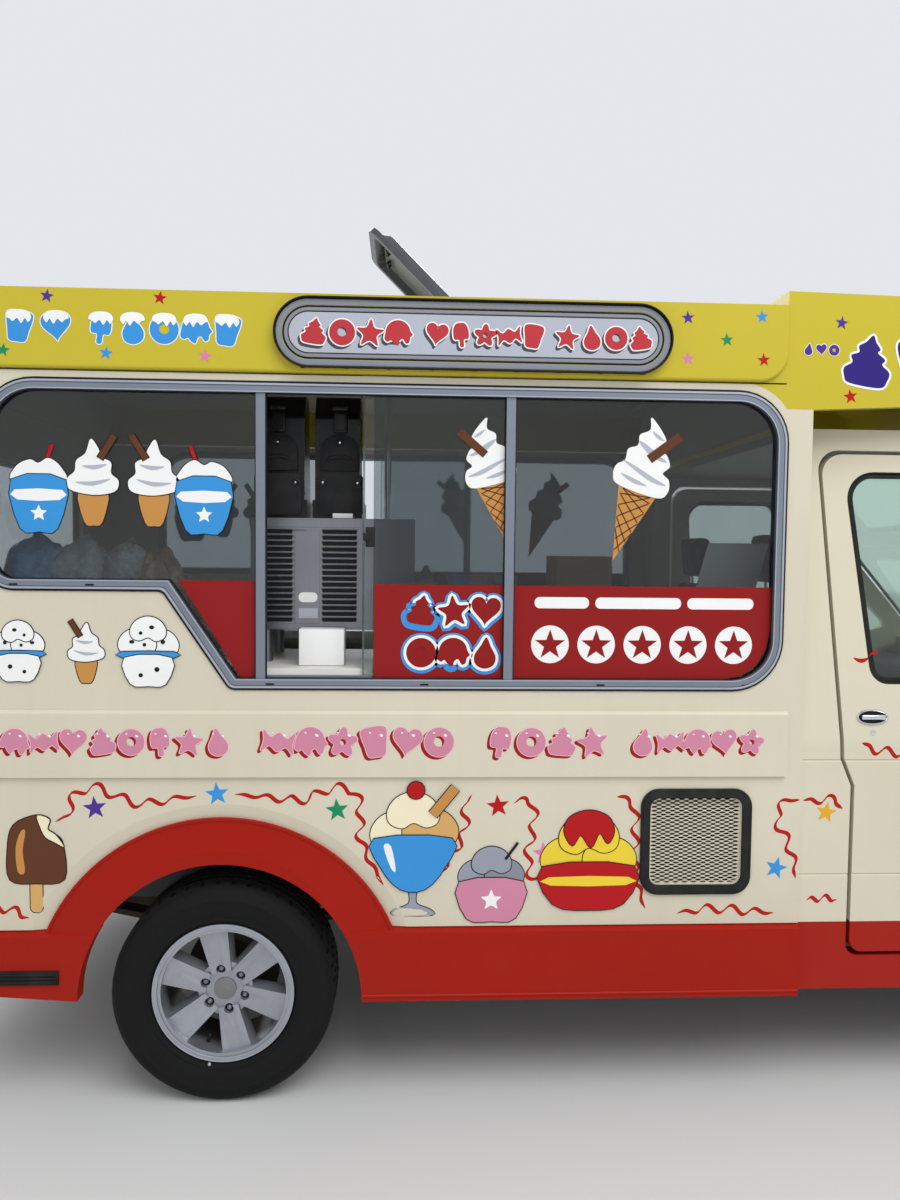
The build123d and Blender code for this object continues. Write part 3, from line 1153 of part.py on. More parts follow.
# Nose pieces, split where the real panels meet
bonnet_zone = plan_panel(
    [
        (BONNET_REAR_X, -BONNET_HALF_WIDTH - 60.0),
        (front(450.0), -BONNET_HALF_WIDTH),
        (BONNET_FRONT_X, -BONNET_HALF_WIDTH + 130.0),
        (BONNET_FRONT_X, BONNET_HALF_WIDTH - 130.0),
        (front(450.0), BONNET_HALF_WIDTH),
        (BONNET_REAR_X, BONNET_HALF_WIDTH + 60.0),
    ],
    1000.0,
    1500.0,
)
bonnet_gap_zone = plan_panel(
    [
        (BONNET_REAR_X - NOSE_GAP, -BONNET_HALF_WIDTH - 60.0 - NOSE_GAP),
        (front(450.0), -BONNET_HALF_WIDTH - NOSE_GAP),
        (BONNET_FRONT_X + NOSE_GAP, -BONNET_HALF_WIDTH + 130.0 - NOSE_GAP),
        (BONNET_FRONT_X + NOSE_GAP, BONNET_HALF_WIDTH - 130.0 + NOSE_GAP),
        (front(450.0), BONNET_HALF_WIDTH + NOSE_GAP),
        (BONNET_REAR_X - NOSE_GAP, BONNET_HALF_WIDTH + 60.0 + NOSE_GAP),
    ],
    960.0,
    1500.0,
)
bonnet = nose_shell & bonnet_zone
for hinge_y in BONNET_HINGE_SIDES:
    bonnet += across(BONNET_HINGE_X, BONNET_HINGE_Z, BONNET_HINGE_R, hinge_y - 38.0, hinge_y + 38.0)
    bonnet += block(
        BONNET_HINGE_X - 7.0, BONNET_HINGE_X + 30.0, hinge_y - 12.0, hinge_y + 12.0,
        BONNET_HINGE_Z - 7.0, BONNET_HINGE_Z + 40.0,
    )
save(bonnet, "bonnet")

LAMP_ZONE_POINTS = [
    (front(550.0), 985.0),
    (front(610.0), 850.0),
    (front(1050.0), 790.0),
    (front(1050.0), 1005.0),
    (front(580.0), 1085.0),
]
lamp_zone = side_panel(LAMP_ZONE_POINTS, -1100.0, -GRILLE_HALF_WIDTH - 10.0, [30, 30, 0, 0, 30])
lamp_zone_both = lamp_zone + other_side(lamp_zone)
grille_zone = block(
    front(700.0), NOSE_PAST_X, -GRILLE_HALF_WIDTH, GRILLE_HALF_WIDTH, GRILLE_LOW_Z, GRILLE_HIGH_Z
)
bumper_zone = side_panel(
    [
        (front(430.0), 200.0),
        (NOSE_PAST_X, 200.0),
        (NOSE_PAST_X, BUMPER_TOP_Z),
        (front(650.0), BUMPER_TOP_Z),
        (front(390.0), 640.0),
    ],
    -1100.0,
    1100.0,
)
front_arch = across(FRONT_AXLE_X, AXLE_Z, FRONT_ARCH_R, -1100.0, 1100.0)
bumper = (nose_shell & bumper_zone) - front_arch
wings = nose_shell - bonnet_gap_zone - bumper_zone - front_arch
wings -= lamp_zone_both
wings -= grille_zone
wings -= block(front(-550.0), front(50.0), -CAB_Y + CAB_SKIN, CAB_Y - CAB_SKIN, 200.0, 1400.0)
wings -= block(
    front(50.0), BONNET_REAR_X, -BONNET_HALF_WIDTH - 68.0, BONNET_HALF_WIDTH + 68.0, 1000.0, 1400.0
)
save(wings, "front_wings")

grille_face = nose_shell & grille_zone
SLAT_COUNT = 5
SLOT_HEIGHT = 22.0
for index in range(SLAT_COUNT):
    slot_z = GRILLE_LOW_Z + 48.0 + index * 38.0
    grille_face -= block(
        front(700.0), NOSE_PAST_X, -GRILLE_HALF_WIDTH + 40.0, GRILLE_HALF_WIDTH - 40.0, slot_z,
        slot_z + SLOT_HEIGHT,
    )
save(Compound([*bumper.solids(), *grille_face.solids()]), "front_bumper_and_grille")

headlamps = ((nose_form(4.0) - nose_form(120.0)) & lamp_zone_both) - bonnet_gap_zone
TAIL_LAMP_LOW_Z = 640.0
TAIL_LAMP_HIGH_Z = 960.0
tail_lamp = block(BODY_REAR_X - 20.0, BODY_REAR_X, -900.0, -800.0, TAIL_LAMP_LOW_Z, TAIL_LAMP_HIGH_Z)
tail_lamp = fillet(tail_lamp.edges().filter_by(Axis.X), 18.0)
save(Compound([*headlamps.solids(), *both_sides(tail_lamp).solids()]), "lamp_units")

# Dashboard, steering wheel and seats; the driver sits on the right
dash_profile = [
    (front(-142.0), 1236.0),
    (front(-142.0), 910.0),
    (front(-260.0), 880.0),
    (front(-420.0), 1010.0),
    (front(-460.0), 1130.0),
    (front(-400.0), 1236.0),
]
dash = side_panel(dash_profile, -CAB_Y + CAB_SKIN + 20.0, CAB_Y - CAB_SKIN - 20.0, [0, 20, 60, 60, 40, 60])
console = block(front(-420.0), front(-250.0), -150.0, 150.0, FLOOR_Z, 1000.0)
binnacle = side_panel(
    [
        (front(-390.0), 1200.0), (front(-200.0), 1200.0), (front(-250.0), 1300.0), (front(-400.0), 1290.0)
    ], -610.0, -270.0, [0, 0, 20, 20]
)
toe_clear = block(front(-400.0), front(-50.0), -160.0, 160.0, 500.0, 900.0) & side_panel(
    [
        (front(-400.0), 500.0), (front(-400.0), FLOOR_Z), (front(-140.0), 900.0), (front(-50.0), 900.0),
        (front(-50.0), 500.0),
    ],
    -200.0,
    200.0,
)
dash = dash + console + binnacle - toe_clear
STEER_WHEEL_R = 190.0
STEER_WHEEL_Y = -440.0
wheel_plane = Plane(origin=(front(-550.0), STEER_WHEEL_Y, 1180.0), z_dir=(-0.72, 0, 0.69))
column = wheel_plane * Pos(0, 0, -95.0) * Cylinder(26.0, 190.0)
steering_wheel = wheel_plane * Torus(STEER_WHEEL_R, 14.0) + column + wheel_plane * Cylinder(62.0, 44.0)
for spoke_turn in (90.0, 210.0, 330.0):
    steering_wheel += wheel_plane * Rot(0, 0, spoke_turn) * Pos(STEER_WHEEL_R / 2, 0, 0) * Box(
        STEER_WHEEL_R, 32.0, 14.0
    )
steering_wheel -= dash
save(dash, "dashboard")
save(steering_wheel, "steering_wheel")

SEAT_SIDES = [-440.0, 440.0]
SEAT_WIDTH = 480.0
seat_solids = []
for seat_y in SEAT_SIDES:
    y0 = seat_y - SEAT_WIDTH / 2
    y1 = seat_y + SEAT_WIDTH / 2
    cushion = side_panel(
        [
            (front(-1290.0), 880.0), (front(-780.0), 920.0), (front(-770.0), 1040.0),
            (front(-1250.0), 1000.0),
        ], y0, y1, [20, 40, 50, 20]
    )
    back = side_panel(
        [
            (front(-1260.0), 980.0), (front(-1140.0), 990.0), (front(-1260.0), 1620.0),
            (front(-1370.0), 1620.0),
        ], y0 + 10.0, y1 - 10.0, [20, 20, 45, 45]
    )
    rest = side_panel(
        [
            (front(-1365.0), 1610.0), (front(-1280.0), 1610.0), (front(-1290.0), 1820.0),
            (front(-1380.0), 1820.0),
        ],
        seat_y - 140.0,
        seat_y + 140.0,
        [0, 0, 30, 30],
    )
    base = block(front(-1210.0), front(-830.0), y0 + 50.0, y1 - 50.0, FLOOR_Z, 900.0)
    seat_solids += (cushion + back + rest + base).solids()
save(Compound(seat_solids), "cab_seats")

# Serving counter on the right with its cupboards, and the work counter on the left
COUNTER_TOP_Z = 1372.0
COUNTER_THICK = 34.0
COUNTER_DEPTH = 560.0
counter_rear_x = BODY_REAR_X + WALL
COUNTER_FRONT_X = ahead(1280.0)
inner_y = SIDE_Y - WALL
worktop = block(
    counter_rear_x, COUNTER_FRONT_X, -inner_y, -inner_y + COUNTER_DEPTH,
    COUNTER_TOP_Z - COUNTER_THICK, COUNTER_TOP_Z,
)
cupboard = block(
    counter_rear_x, COUNTER_FRONT_X - 20.0, -inner_y, -inner_y + COUNTER_DEPTH - 40.0,
    FLOOR_Z, COUNTER_TOP_Z - COUNTER_THICK,
)
SHELF_BAYS = 4
SHELF_BOARD = 24.0
bay_length = (COUNTER_FRONT_X - 20.0 - counter_rear_x - SHELF_BOARD) / SHELF_BAYS
for index in range(SHELF_BAYS):
    bay_x = counter_rear_x + SHELF_BOARD + index * bay_length
    cupboard -= block(
        bay_x, bay_x + bay_length - SHELF_BOARD, -inner_y + SHELF_BOARD, -inner_y + COUNTER_DEPTH,
        FLOOR_Z + SHELF_BOARD, COUNTER_TOP_Z - COUNTER_THICK - SHELF_BOARD,
    )
tub_room = across(REAR_AXLE_X, ARCH_CENTRE_Z, TUB_R, -inner_y - 10.0, -TUB_INNER_Y)
counter = worktop + cupboard - tub_room
save(both_sides(counter), "counters")

# Stainless soft-serve machine and two slush machines, their backs to the right-hand window
SOFT_REAR_X = ahead(60.0)
SOFT_FRONT_X = ahead(590.0)
MACHINE_BACK_Y = -800.0
MACHINE_FEET_Z = COUNTER_TOP_Z + 108.0
SOFT_TOP_Z = 1841.0
soft_body = block(SOFT_REAR_X, SOFT_FRONT_X, MACHINE_BACK_Y, -430.0, MACHINE_FEET_Z, SOFT_TOP_Z)
LOUVRE_COUNT = 16
LOUVRE_BANKS = [(128.0, 238.0), (288.0, 404.0)]
for bank_start, bank_end in LOUVRE_BANKS:
    for index in range(LOUVRE_COUNT):
        slot_z = MACHINE_FEET_Z + 30.0 + index * 19.0
        soft_body -= block(
            ahead(bank_start), ahead(bank_end), MACHINE_BACK_Y - 5.0, MACHINE_BACK_Y + 8.0, slot_z,
            slot_z + 9.0,
        )
for foot_x in (SOFT_REAR_X + 45.0, SOFT_FRONT_X - 45.0):
    for foot_y in (MACHINE_BACK_Y + 45.0, -475.0):
        soft_body += upright(foot_x, foot_y, 20.0, COUNTER_TOP_Z, MACHINE_FEET_Z + 5.0)
save(soft_body, "soft_serve_machine")

SLUSH_CENTRES = [158.0, 336.0]
SLUSH_WIDTH = 160.0
slush_solids = []
for centre in SLUSH_CENTRES:
    x0 = ahead(centre) - SLUSH_WIDTH / 2
    x1 = ahead(centre) + SLUSH_WIDTH / 2
    unit = block(x0, x1, MACHINE_BACK_Y + 20.0, -470.0, SOFT_TOP_Z, SOFT_TOP_Z + 60.0)
    unit += cross_panel(
        [
            (MACHINE_BACK_Y + 20.0, SOFT_TOP_Z + 50.0),
            (MACHINE_BACK_Y + 20.0, SOFT_TOP_Z + 330.0),
            (MACHINE_BACK_Y + 60.0, SOFT_TOP_Z + 400.0),
            (MACHINE_BACK_Y + 150.0, SOFT_TOP_Z + 400.0),
            (MACHINE_BACK_Y + 210.0, SOFT_TOP_Z + 50.0),
        ],
        x0 + 8.0,
        x1 - 8.0,
        [0, 40, 30, 30, 0],
    )
    slush_solids += unit.solids()
save(Compound(slush_solids), "slush_machines")
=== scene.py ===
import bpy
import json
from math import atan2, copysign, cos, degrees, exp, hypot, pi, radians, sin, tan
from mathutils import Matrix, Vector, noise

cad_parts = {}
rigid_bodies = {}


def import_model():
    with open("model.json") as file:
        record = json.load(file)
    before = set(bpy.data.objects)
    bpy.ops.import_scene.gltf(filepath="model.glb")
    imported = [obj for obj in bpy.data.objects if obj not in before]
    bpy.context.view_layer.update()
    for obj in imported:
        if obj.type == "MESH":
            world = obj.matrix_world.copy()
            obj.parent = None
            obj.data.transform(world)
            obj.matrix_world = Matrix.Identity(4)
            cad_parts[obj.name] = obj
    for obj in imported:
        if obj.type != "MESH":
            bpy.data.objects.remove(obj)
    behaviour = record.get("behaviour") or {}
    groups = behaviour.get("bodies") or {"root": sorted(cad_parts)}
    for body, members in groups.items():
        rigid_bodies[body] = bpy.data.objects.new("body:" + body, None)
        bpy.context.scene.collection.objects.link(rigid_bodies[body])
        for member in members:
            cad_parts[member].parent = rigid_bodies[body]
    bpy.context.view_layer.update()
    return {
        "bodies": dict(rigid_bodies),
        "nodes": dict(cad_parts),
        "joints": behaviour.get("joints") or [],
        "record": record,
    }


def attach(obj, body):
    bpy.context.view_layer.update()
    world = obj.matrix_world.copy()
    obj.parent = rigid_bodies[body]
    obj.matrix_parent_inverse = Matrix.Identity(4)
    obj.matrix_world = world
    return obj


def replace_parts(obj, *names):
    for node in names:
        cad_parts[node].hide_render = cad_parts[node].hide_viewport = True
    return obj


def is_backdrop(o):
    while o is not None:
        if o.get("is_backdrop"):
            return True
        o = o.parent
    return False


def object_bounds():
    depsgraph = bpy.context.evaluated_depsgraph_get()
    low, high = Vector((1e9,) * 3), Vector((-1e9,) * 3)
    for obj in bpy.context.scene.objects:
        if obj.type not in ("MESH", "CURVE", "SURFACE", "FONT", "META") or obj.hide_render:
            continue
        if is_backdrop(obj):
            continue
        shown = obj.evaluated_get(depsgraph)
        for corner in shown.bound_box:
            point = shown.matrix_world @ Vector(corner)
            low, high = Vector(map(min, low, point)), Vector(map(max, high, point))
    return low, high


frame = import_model()
# %% [markdown]
# # An ice cream truck
# The solids come from the imported model and stay where they are. This lesson gives them their
# finishes and adds the thin pieces that solids don't carry: seals, stickers, mesh, nuts and lamps.
# Everything is in metres: +X is the front of the truck, +Y its left and +Z is up.

nodes = frame["nodes"]
REAR_AXLE = -1.6235
BODY = "truck_body"
print("solids loaded:", len(nodes))


def ahead(distance):
    """Place along the truck, from millimetres ahead of the rear axle."""
    return REAR_AXLE + distance / 1000


# %% [markdown]
# ## Helpers for shapes
# Blender's operators act on what is selected, so each helper first clears the selection.
# Every piece is finished with its object at the origin and its place in its mesh, as the solids are.
# Boxes and bars start as primitives at their size, then get bevels by a modifier that is applied.

# %% Selection and finishing
def deselect():
    bpy.ops.object.select_all(action="DESELECT")


def only(*things):
    """Select these objects and nothing else."""
    deselect()
    for thing in things:
        thing.select_set(True)
    bpy.context.view_layer.objects.active = things[0]


def active(name):
    """The object that an operator has just made, under its name."""
    thing = bpy.context.active_object
    thing.name = name
    return thing


def linked(thing):
    """Bring a new object into the scene."""
    bpy.context.scene.collection.objects.link(thing)
    return thing


def settle(thing):
    """Move an object's place, turn and scale into its mesh."""
    only(thing)
    bpy.ops.object.transform_apply(location=True, rotation=True, scale=True)
    return thing


def take_modifier(thing, kind, **settings):
    """Add one modifier and apply it at once."""
    only(thing)
    modifier = thing.modifiers.new(kind.title(), kind)
    for key, value in settings.items():
        setattr(modifier, key, value)
    bpy.ops.object.modifier_apply(modifier=modifier.name)
    return thing


def soft_edges(thing, width, segments):
    return take_modifier(thing, "BEVEL", width=width, segments=segments, limit_method="ANGLE")


def clean(thing, merge=0.0):
    """Merge doubles in edit mode and turn all faces outwards."""
    only(thing)
    bpy.ops.object.mode_set(mode="EDIT")
    bpy.ops.mesh.select_all(action="SELECT")
    if merge:
        bpy.ops.mesh.remove_doubles(threshold=merge)
    bpy.ops.mesh.normals_make_consistent(inside=False)
    bpy.ops.object.mode_set(mode="OBJECT")
    return thing


def join(name, things):
    """Join objects into one mesh under a new name."""
    only(*things)
    if len(things) > 1:
        bpy.ops.object.join()
    thing = active(name)
    thing.data.name = name
    return thing


def twin(thing, name):
    """A copy of a piece with its own mesh."""
    copy = linked(thing.copy())
    copy.data = thing.data.copy()
    copy.name = name
    return copy


def flip(thing, name):
    """The mirrored copy of a piece on the left side of the truck."""
    copy = twin(thing, name)
    copy.data.transform(Matrix.Scale(-1, 4, (0, 1, 0)))
    copy.data.flip_normals()
    return copy


def ride(thing, finish, body=BODY, smooth=35):
    """Give a finished piece its material, its shading and the body it moves with."""
    only(thing)
    if smooth:
        bpy.ops.object.shade_smooth_by_angle(angle=radians(smooth))
    if finish:
        thing.data.materials.clear()
        thing.data.materials.append(finish)
    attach(thing, body)
    return thing


def pair(thing, finish, body=BODY, smooth=35):
    """Finish a piece of the right side and its twin on the left."""
    ride(thing, finish, body, smooth)
    name = thing.name.replace("right", "left") if "right" in thing.name else thing.name + "_left"
    ride(flip(thing, name), None, body.replace("right", "left"), smooth)


# %% Boxes, bars and rings
def box(name, low, high, bevel, segments=2):
    """Box between two corners, with rounded edges."""
    deselect()
    bpy.ops.mesh.primitive_cube_add(size=1, location=[(a + b) / 2 for a, b in zip(low, high)])
    thing = active(name)
    thing.scale = [abs(b - a) for a, b in zip(low, high)]
    return soft_edges(settle(thing), bevel, segments)


def bar(name, start, end, radius, sides, end_radius=None, bevel=0.0):
    """Round bar or cone between two points."""
    start, end = Vector(start), Vector(end)
    deselect()
    bpy.ops.mesh.primitive_cone_add(
        vertices=sides, radius1=radius, radius2=radius if end_radius is None else end_radius,
        depth=(end - start).length, location=(start + end) / 2,
        rotation=(end - start).to_track_quat("Z", "Y").to_euler(),
    )
    thing = settle(active(name))
    return soft_edges(thing, bevel, 2) if bevel else thing


def hoop(name, centre, axis, ring_radius, bar_radius, around, section):
    """Round ring about an axis."""
    deselect()
    bpy.ops.mesh.primitive_torus_add(
        major_radius=ring_radius, minor_radius=bar_radius, major_segments=around, minor_segments=section,
        location=centre, rotation=Vector(axis).to_track_quat("Z", "Y").to_euler(),
    )
    return settle(active(name))


# %% Beads and flat shapes cut from sheet
UPRIGHT = Matrix.Rotation(radians(90), 4, "X")
SHEET, MERGE = 0.0008, 0.00001  # thickness of a plain sheet, and how close doubles lie


def curve_mesh(name, lines, closed=True, **settings):
    """A curve through lines of points, with its settings, made a mesh at once."""
    data = bpy.data.curves.new(name, "CURVE")
    for key, value in settings.items():
        setattr(data, key, value)
    for line in lines:
        spline = data.splines.new("POLY")
        spline.points.add(len(line) - 1)
        for point, place in zip(spline.points, line):
            point.co = (*place, 1)
        spline.use_cyclic_u = closed
    only(linked(bpy.data.objects.new(name, data)))
    bpy.ops.object.convert(target="MESH")
    return bpy.context.active_object


def bead(name, places, radius, closed=True):
    """Round bead along places in metres."""
    return curve_mesh(name, [places], closed, dimensions="3D", bevel_depth=radius, bevel_resolution=2,
                      use_fill_caps=True)


def sheet_mesh(name, outlines, depth):
    """Filled curve in its own XY plane, in metres; an outline inside another is a hole."""
    lines = [[(x, y, 0) for x, y in outline] for outline in outlines]
    return clean(curve_mesh(name, lines, dimensions="2D", fill_mode="BOTH", extrude=depth / 2), MERGE)


def side_sheet(name, outlines, face, depth=SHEET):
    """Flat piece on the right side: outlines in millimetres (ahead of the rear axle, height)."""
    thing = sheet_mesh(name, [[(ahead(x), z / 1000) for x, z in outline] for outline in outlines], depth)
    thing.data.transform(Matrix.Translation((0, -face - depth / 2, 0)) @ UPRIGHT)
    return thing


def cross_sheet(name, outlines, face, depth, front=True):
    """Flat piece that faces forward or back: outlines in millimetres (to the left, height)."""
    thing = sheet_mesh(name, [[(y / 1000, z / 1000) for y, z in outline] for outline in outlines], depth)
    place = Matrix.Translation((face + (depth / 2 if front else -depth / 2), 0, 0))
    thing.data.transform(place @ Matrix.Rotation(radians(90), 4, "Z") @ UPRIGHT)
    return thing


# %% [markdown]
# ## Helpers for finishes
# A finish is a few shader nodes round one Principled surface.
# Sums and products on shader values are written as plain Python, through a small class that
# wraps a socket and adds a Math node for each sign.
# Object coordinates are used, because every piece keeps its object at the origin.

# %% Shader maths
class Wire:
    """A shader value that can be added, multiplied and compared."""

    def __init__(self, finish, socket):
        self.finish = finish
        self.socket = socket

    def __add__(self, other):
        return self.finish.maths("ADD", self, other)

    def __radd__(self, other):
        return self.finish.maths("ADD", other, self)

    def __sub__(self, other):
        return self.finish.maths("SUBTRACT", self, other)

    def __rsub__(self, other):
        return self.finish.maths("SUBTRACT", other, self)

    def __mul__(self, other):
        return self.finish.maths("MULTIPLY", self, other)

    def __rmul__(self, other):
        return self.finish.maths("MULTIPLY", other, self)

    def above(self, edge, soft=0.0005):
        """1 where the value is over the edge and 0 where it is under, with a soft step."""
        reach = {"Value": self, "From Min": edge - soft, "From Max": edge + soft, "To Min": 0.0,
                 "To Max": 1.0}
        return self.finish.wire("ShaderNodeMapRange", None, reach)

    def below(self, edge, soft=0.0005):
        return 1.0 - self.above(edge, soft)


class Finish:
    """A material with one Principled surface, and methods that add what feeds it."""

    def __init__(self, name, fixed=None):
        self.material = bpy.data.materials.new(name)
        self.material.use_nodes = True
        self.tree = self.material.node_tree
        self.tree.nodes.clear()
        self.surface = self.add("ShaderNodeBsdfPrincipled", values=fixed)
        output = self.add("ShaderNodeOutputMaterial")
        self.tree.links.new(self.surface.outputs[0], output.inputs["Surface"])
        self.place = self.wire("ShaderNodeTexCoord", output="Object")
        split = self.add("ShaderNodeSeparateXYZ", values={"Vector": self.place})
        self.x, self.y, self.z = (Wire(self, split.outputs[axis]) for axis in "XYZ")

    def feed(self, node, values):
        """Give sockets their value or their wire."""
        for key, value in values.items():
            if isinstance(value, Wire):
                self.tree.links.new(value.socket, node.inputs[key])
            else:
                node.inputs[key].default_value = value

    def add(self, kind, settings=None, values=None):
        """One node: its settings first, then a value or a wire for each socket."""
        node = self.tree.nodes.new(kind)
        for key, value in (settings or {}).items():
            setattr(node, key, value)
        self.feed(node, values or {})
        return node

    def wire(self, kind, settings=None, values=None, output=0):
        return Wire(self, self.add(kind, settings, values).outputs[output])

    def maths(self, operation, first, second=0.0):
        return self.wire("ShaderNodeMath", {"operation": operation}, {0: first, 1: second})

    def noise(self, scale, detail=3.0, roughness=0.5, stretch=None):
        """Cloudy noise; stretch scales each axis, for grain that runs one way."""
        place = self.place
        if stretch:
            place = self.wire("ShaderNodeMapping", None, {"Vector": place, "Scale": stretch})
        values = {"Vector": place, "Scale": scale, "Detail": detail, "Roughness": roughness}
        return self.wire("ShaderNodeTexNoise", None, values)

    def cells(self, scale):
        return self.wire("ShaderNodeTexVoronoi", None, {"Vector": self.place, "Scale": scale}, "Distance")

    def mix(self, factor, first, second, blend="MIX"):
        settings = {"data_type": "RGBA", "blend_type": blend}
        return self.wire("ShaderNodeMix", settings, {0: factor, 6: first, 7: second}, 2)

    def bump(self, height, strength, distance):
        values = {"Height": height, "Strength": strength, "Distance": distance}
        return self.wire("ShaderNodeBump", None, values)

    def wear(self, **inputs):
        """Feed varying values to the surface, by input name with underscores for spaces."""
        self.feed(self.surface, {key.replace("_", " "): value for key, value in inputs.items()})
        return self.material


# %% Colours
def paint(red, green, blue):
    """Colour from screen values of 0 to 255."""
    parts = []
    for value in (red, green, blue):
        part = value / 255
        parts.append(part / 12.92 if part <= 0.04045 else ((part + 0.055) / 1.055) ** 2.4)
    return (*parts, 1.0)


def shade(colour, amount):
    """The same colour, darker below 1 and lighter above."""
    return (*(min(1.0, part * amount) for part in colour[:3]), 1.0)


CREAM = paint(217, 210, 189)
YELLOW = paint(200, 183, 46)
RED = paint(163, 24, 8)
DUST = paint(150, 138, 116)
print("colours named: 4")

# %% [markdown]
# ## Moulded and painted panels
# The body is glass-fibre moulding with a gloss coat. Seen close, such a coat has a faint ripple,
# its colour drifts a little, and road dust gathers towards the ground and in faint upright streaks.
# One recipe gives all of it, and a second colour can take over by height, as below the sill line.

# %% Gloss coat
SILL_LINE, DUST_LINE, DUST_FADE = 0.569, 0.62, 0.34


def gloss_coat(name, colour, second=None, second_mask=None, dirt=1.0, gloss=0.16, shine=0.25):
    finish = Finish(name, {"Coat Weight": gloss, "Coat Roughness": 0.1, "Specular IOR Level": shine})
    cloud = finish.noise(1.7, 4.0)
    grime = finish.noise(6.0, 6.0, 0.65) * finish.z.below(DUST_LINE, DUST_FADE)
    streak = finish.noise(5.0, 4.0, 0.6, (3.0, 3.0, 0.35)).above(0.62, 0.2)
    base = finish.mix(second_mask(finish), colour, second) if second else colour
    drift = finish.mix(cloud, paint(242, 241, 238), paint(255, 255, 255))
    toned = finish.mix(1.0, base, drift, "MULTIPLY")
    ripple = finish.noise(18.0, 2.0) + finish.noise(260.0, 1.0) * 0.05
    return finish.wear(
        Base_Color=finish.mix(grime * (0.3 * dirt) + streak * (0.05 * dirt), toned, DUST),
        Roughness=0.34 + grime * 0.35 + cloud * 0.06,
        Normal=finish.bump(ripple, 0.12, 0.0008),
    )


def under_sill(finish):
    return finish.z.below(SILL_LINE, 0.0004)


cream_panel = gloss_coat("cream_gelcoat", CREAM)
yellow_panel = gloss_coat("yellow_gelcoat", YELLOW, dirt=0.5)
red_panel = gloss_coat("red_skirt_coat", RED, dirt=0.12, gloss=0.05, shine=0.1)
cab_panel = gloss_coat("cream_over_red_coat", CREAM, RED, under_sill, 0.15, 0.08, 0.14)
print("panel finishes made: 4")

# %% [markdown]
# ## Metals
# Window frames are drawn aluminium: long fine lines along the bar and a dull sheen.
# The machines are brushed steel, whose lines are shorter and run upright.
# The wheels are painted silver, so they get a fine flake instead of lines.
# Cast and welded parts under the floor are nearly black, with a rough grain and a little rust.

# %% Metal finishes
def drawn_metal(name, colour, stretch, roughness, grain, metallic):
    finish = Finish(name, {"Metallic": metallic})
    lines = finish.noise(1.0, 4.0, 0.7, stretch)
    cloud = finish.noise(3.0)
    toned = finish.mix(lines, shade(colour, 1.0 - grain), shade(colour, 1.0 + grain))
    return finish.wear(
        Base_Color=finish.mix(cloud.above(0.66, 0.12) * 0.25, toned, shade(colour, 0.7)),
        Roughness=roughness + lines * 0.14,
        Normal=finish.bump(lines, 0.1, 0.0003),
    )


def rough_metal(name, colour, rust, grain, metallic):
    finish = Finish(name, {"Metallic": metallic})
    patch = finish.noise(7.0, 6.0, 0.65)
    pits = finish.noise(grain, 3.0, 0.6)
    toned = finish.mix(patch.above(0.6, 0.12) * rust, colour, paint(112, 66, 38))
    return finish.wear(
        Base_Color=finish.mix(finish.noise(2.5, 4.0) * 0.3, toned, DUST),
        Roughness=0.62 + patch * 0.25,
        Normal=finish.bump(pits, 0.45, 0.0012),
    )


def flake_paint(name, colour, roughness):
    finish = Finish(name, {"Metallic": 0.55, "Coat Weight": 0.25, "Coat Roughness": 0.15})
    grime = finish.noise(24.0, 5.0, 0.6).above(0.55, 0.25)
    toned = finish.mix(finish.cells(900.0), shade(colour, 1.06), shade(colour, 0.9))
    return finish.wear(
        Base_Color=finish.mix(grime * 0.3, toned, paint(96, 86, 72)), Roughness=roughness + grime * 0.25
    )


ALONG_BAR, UPRIGHT_GRAIN, NO_GRAIN, FINE_GRAIN = (2, 260, 260), (320, 320, 4), (2, 2, 2), (40, 40, 40)
frame_metal = drawn_metal("drawn_aluminium", paint(128, 136, 148), ALONG_BAR, 0.4, 0.08, 0.6)
bright_frame = drawn_metal("bright_aluminium_lip", paint(176, 182, 192), ALONG_BAR, 0.34, 0.06, 0.6)
steel_sheet = drawn_metal("brushed_steel_sheet", paint(140, 142, 147), UPRIGHT_GRAIN, 0.3, 0.1, 0.9)
chrome = drawn_metal("bright_chrome", paint(220, 222, 226), FINE_GRAIN, 0.08, 0.03, 1.0)
mirror_silver = drawn_metal("mirror_silvering", paint(214, 218, 222), NO_GRAIN, 0.02, 0.01, 1.0)
reflector = drawn_metal("lamp_bowl_silver", paint(150, 154, 160), (90, 90, 90), 0.16, 0.1, 0.9)
pipe_steel = rough_metal("exhaust_pipe_steel", paint(104, 98, 92), 0.5, 90.0, 0.7)
underseal = rough_metal("underseal_black", paint(34, 33, 33), 0.12, 60.0, 0.1)
cast_metal = rough_metal("cast_iron_grey", paint(84, 82, 80), 0.45, 160.0, 0.5)
wheel_silver = flake_paint("wheel_silver_paint", paint(188, 190, 196), 0.3)
cast_cap = flake_paint("wheel_cap_grey", paint(132, 134, 138), 0.42)
print("metal finishes made: 11")

# %% [markdown]
# ## Glass, lamps and plastics
# Window panes are thin clear solids, so they pass light and only tint it slightly. The sliding pane
# lies behind the others, and is clearer.
# Black plastics have a moulded grain, and rubber is duller with dust in its pores.

# %% Clear finishes
INNER_PANE_Y = 0.9615


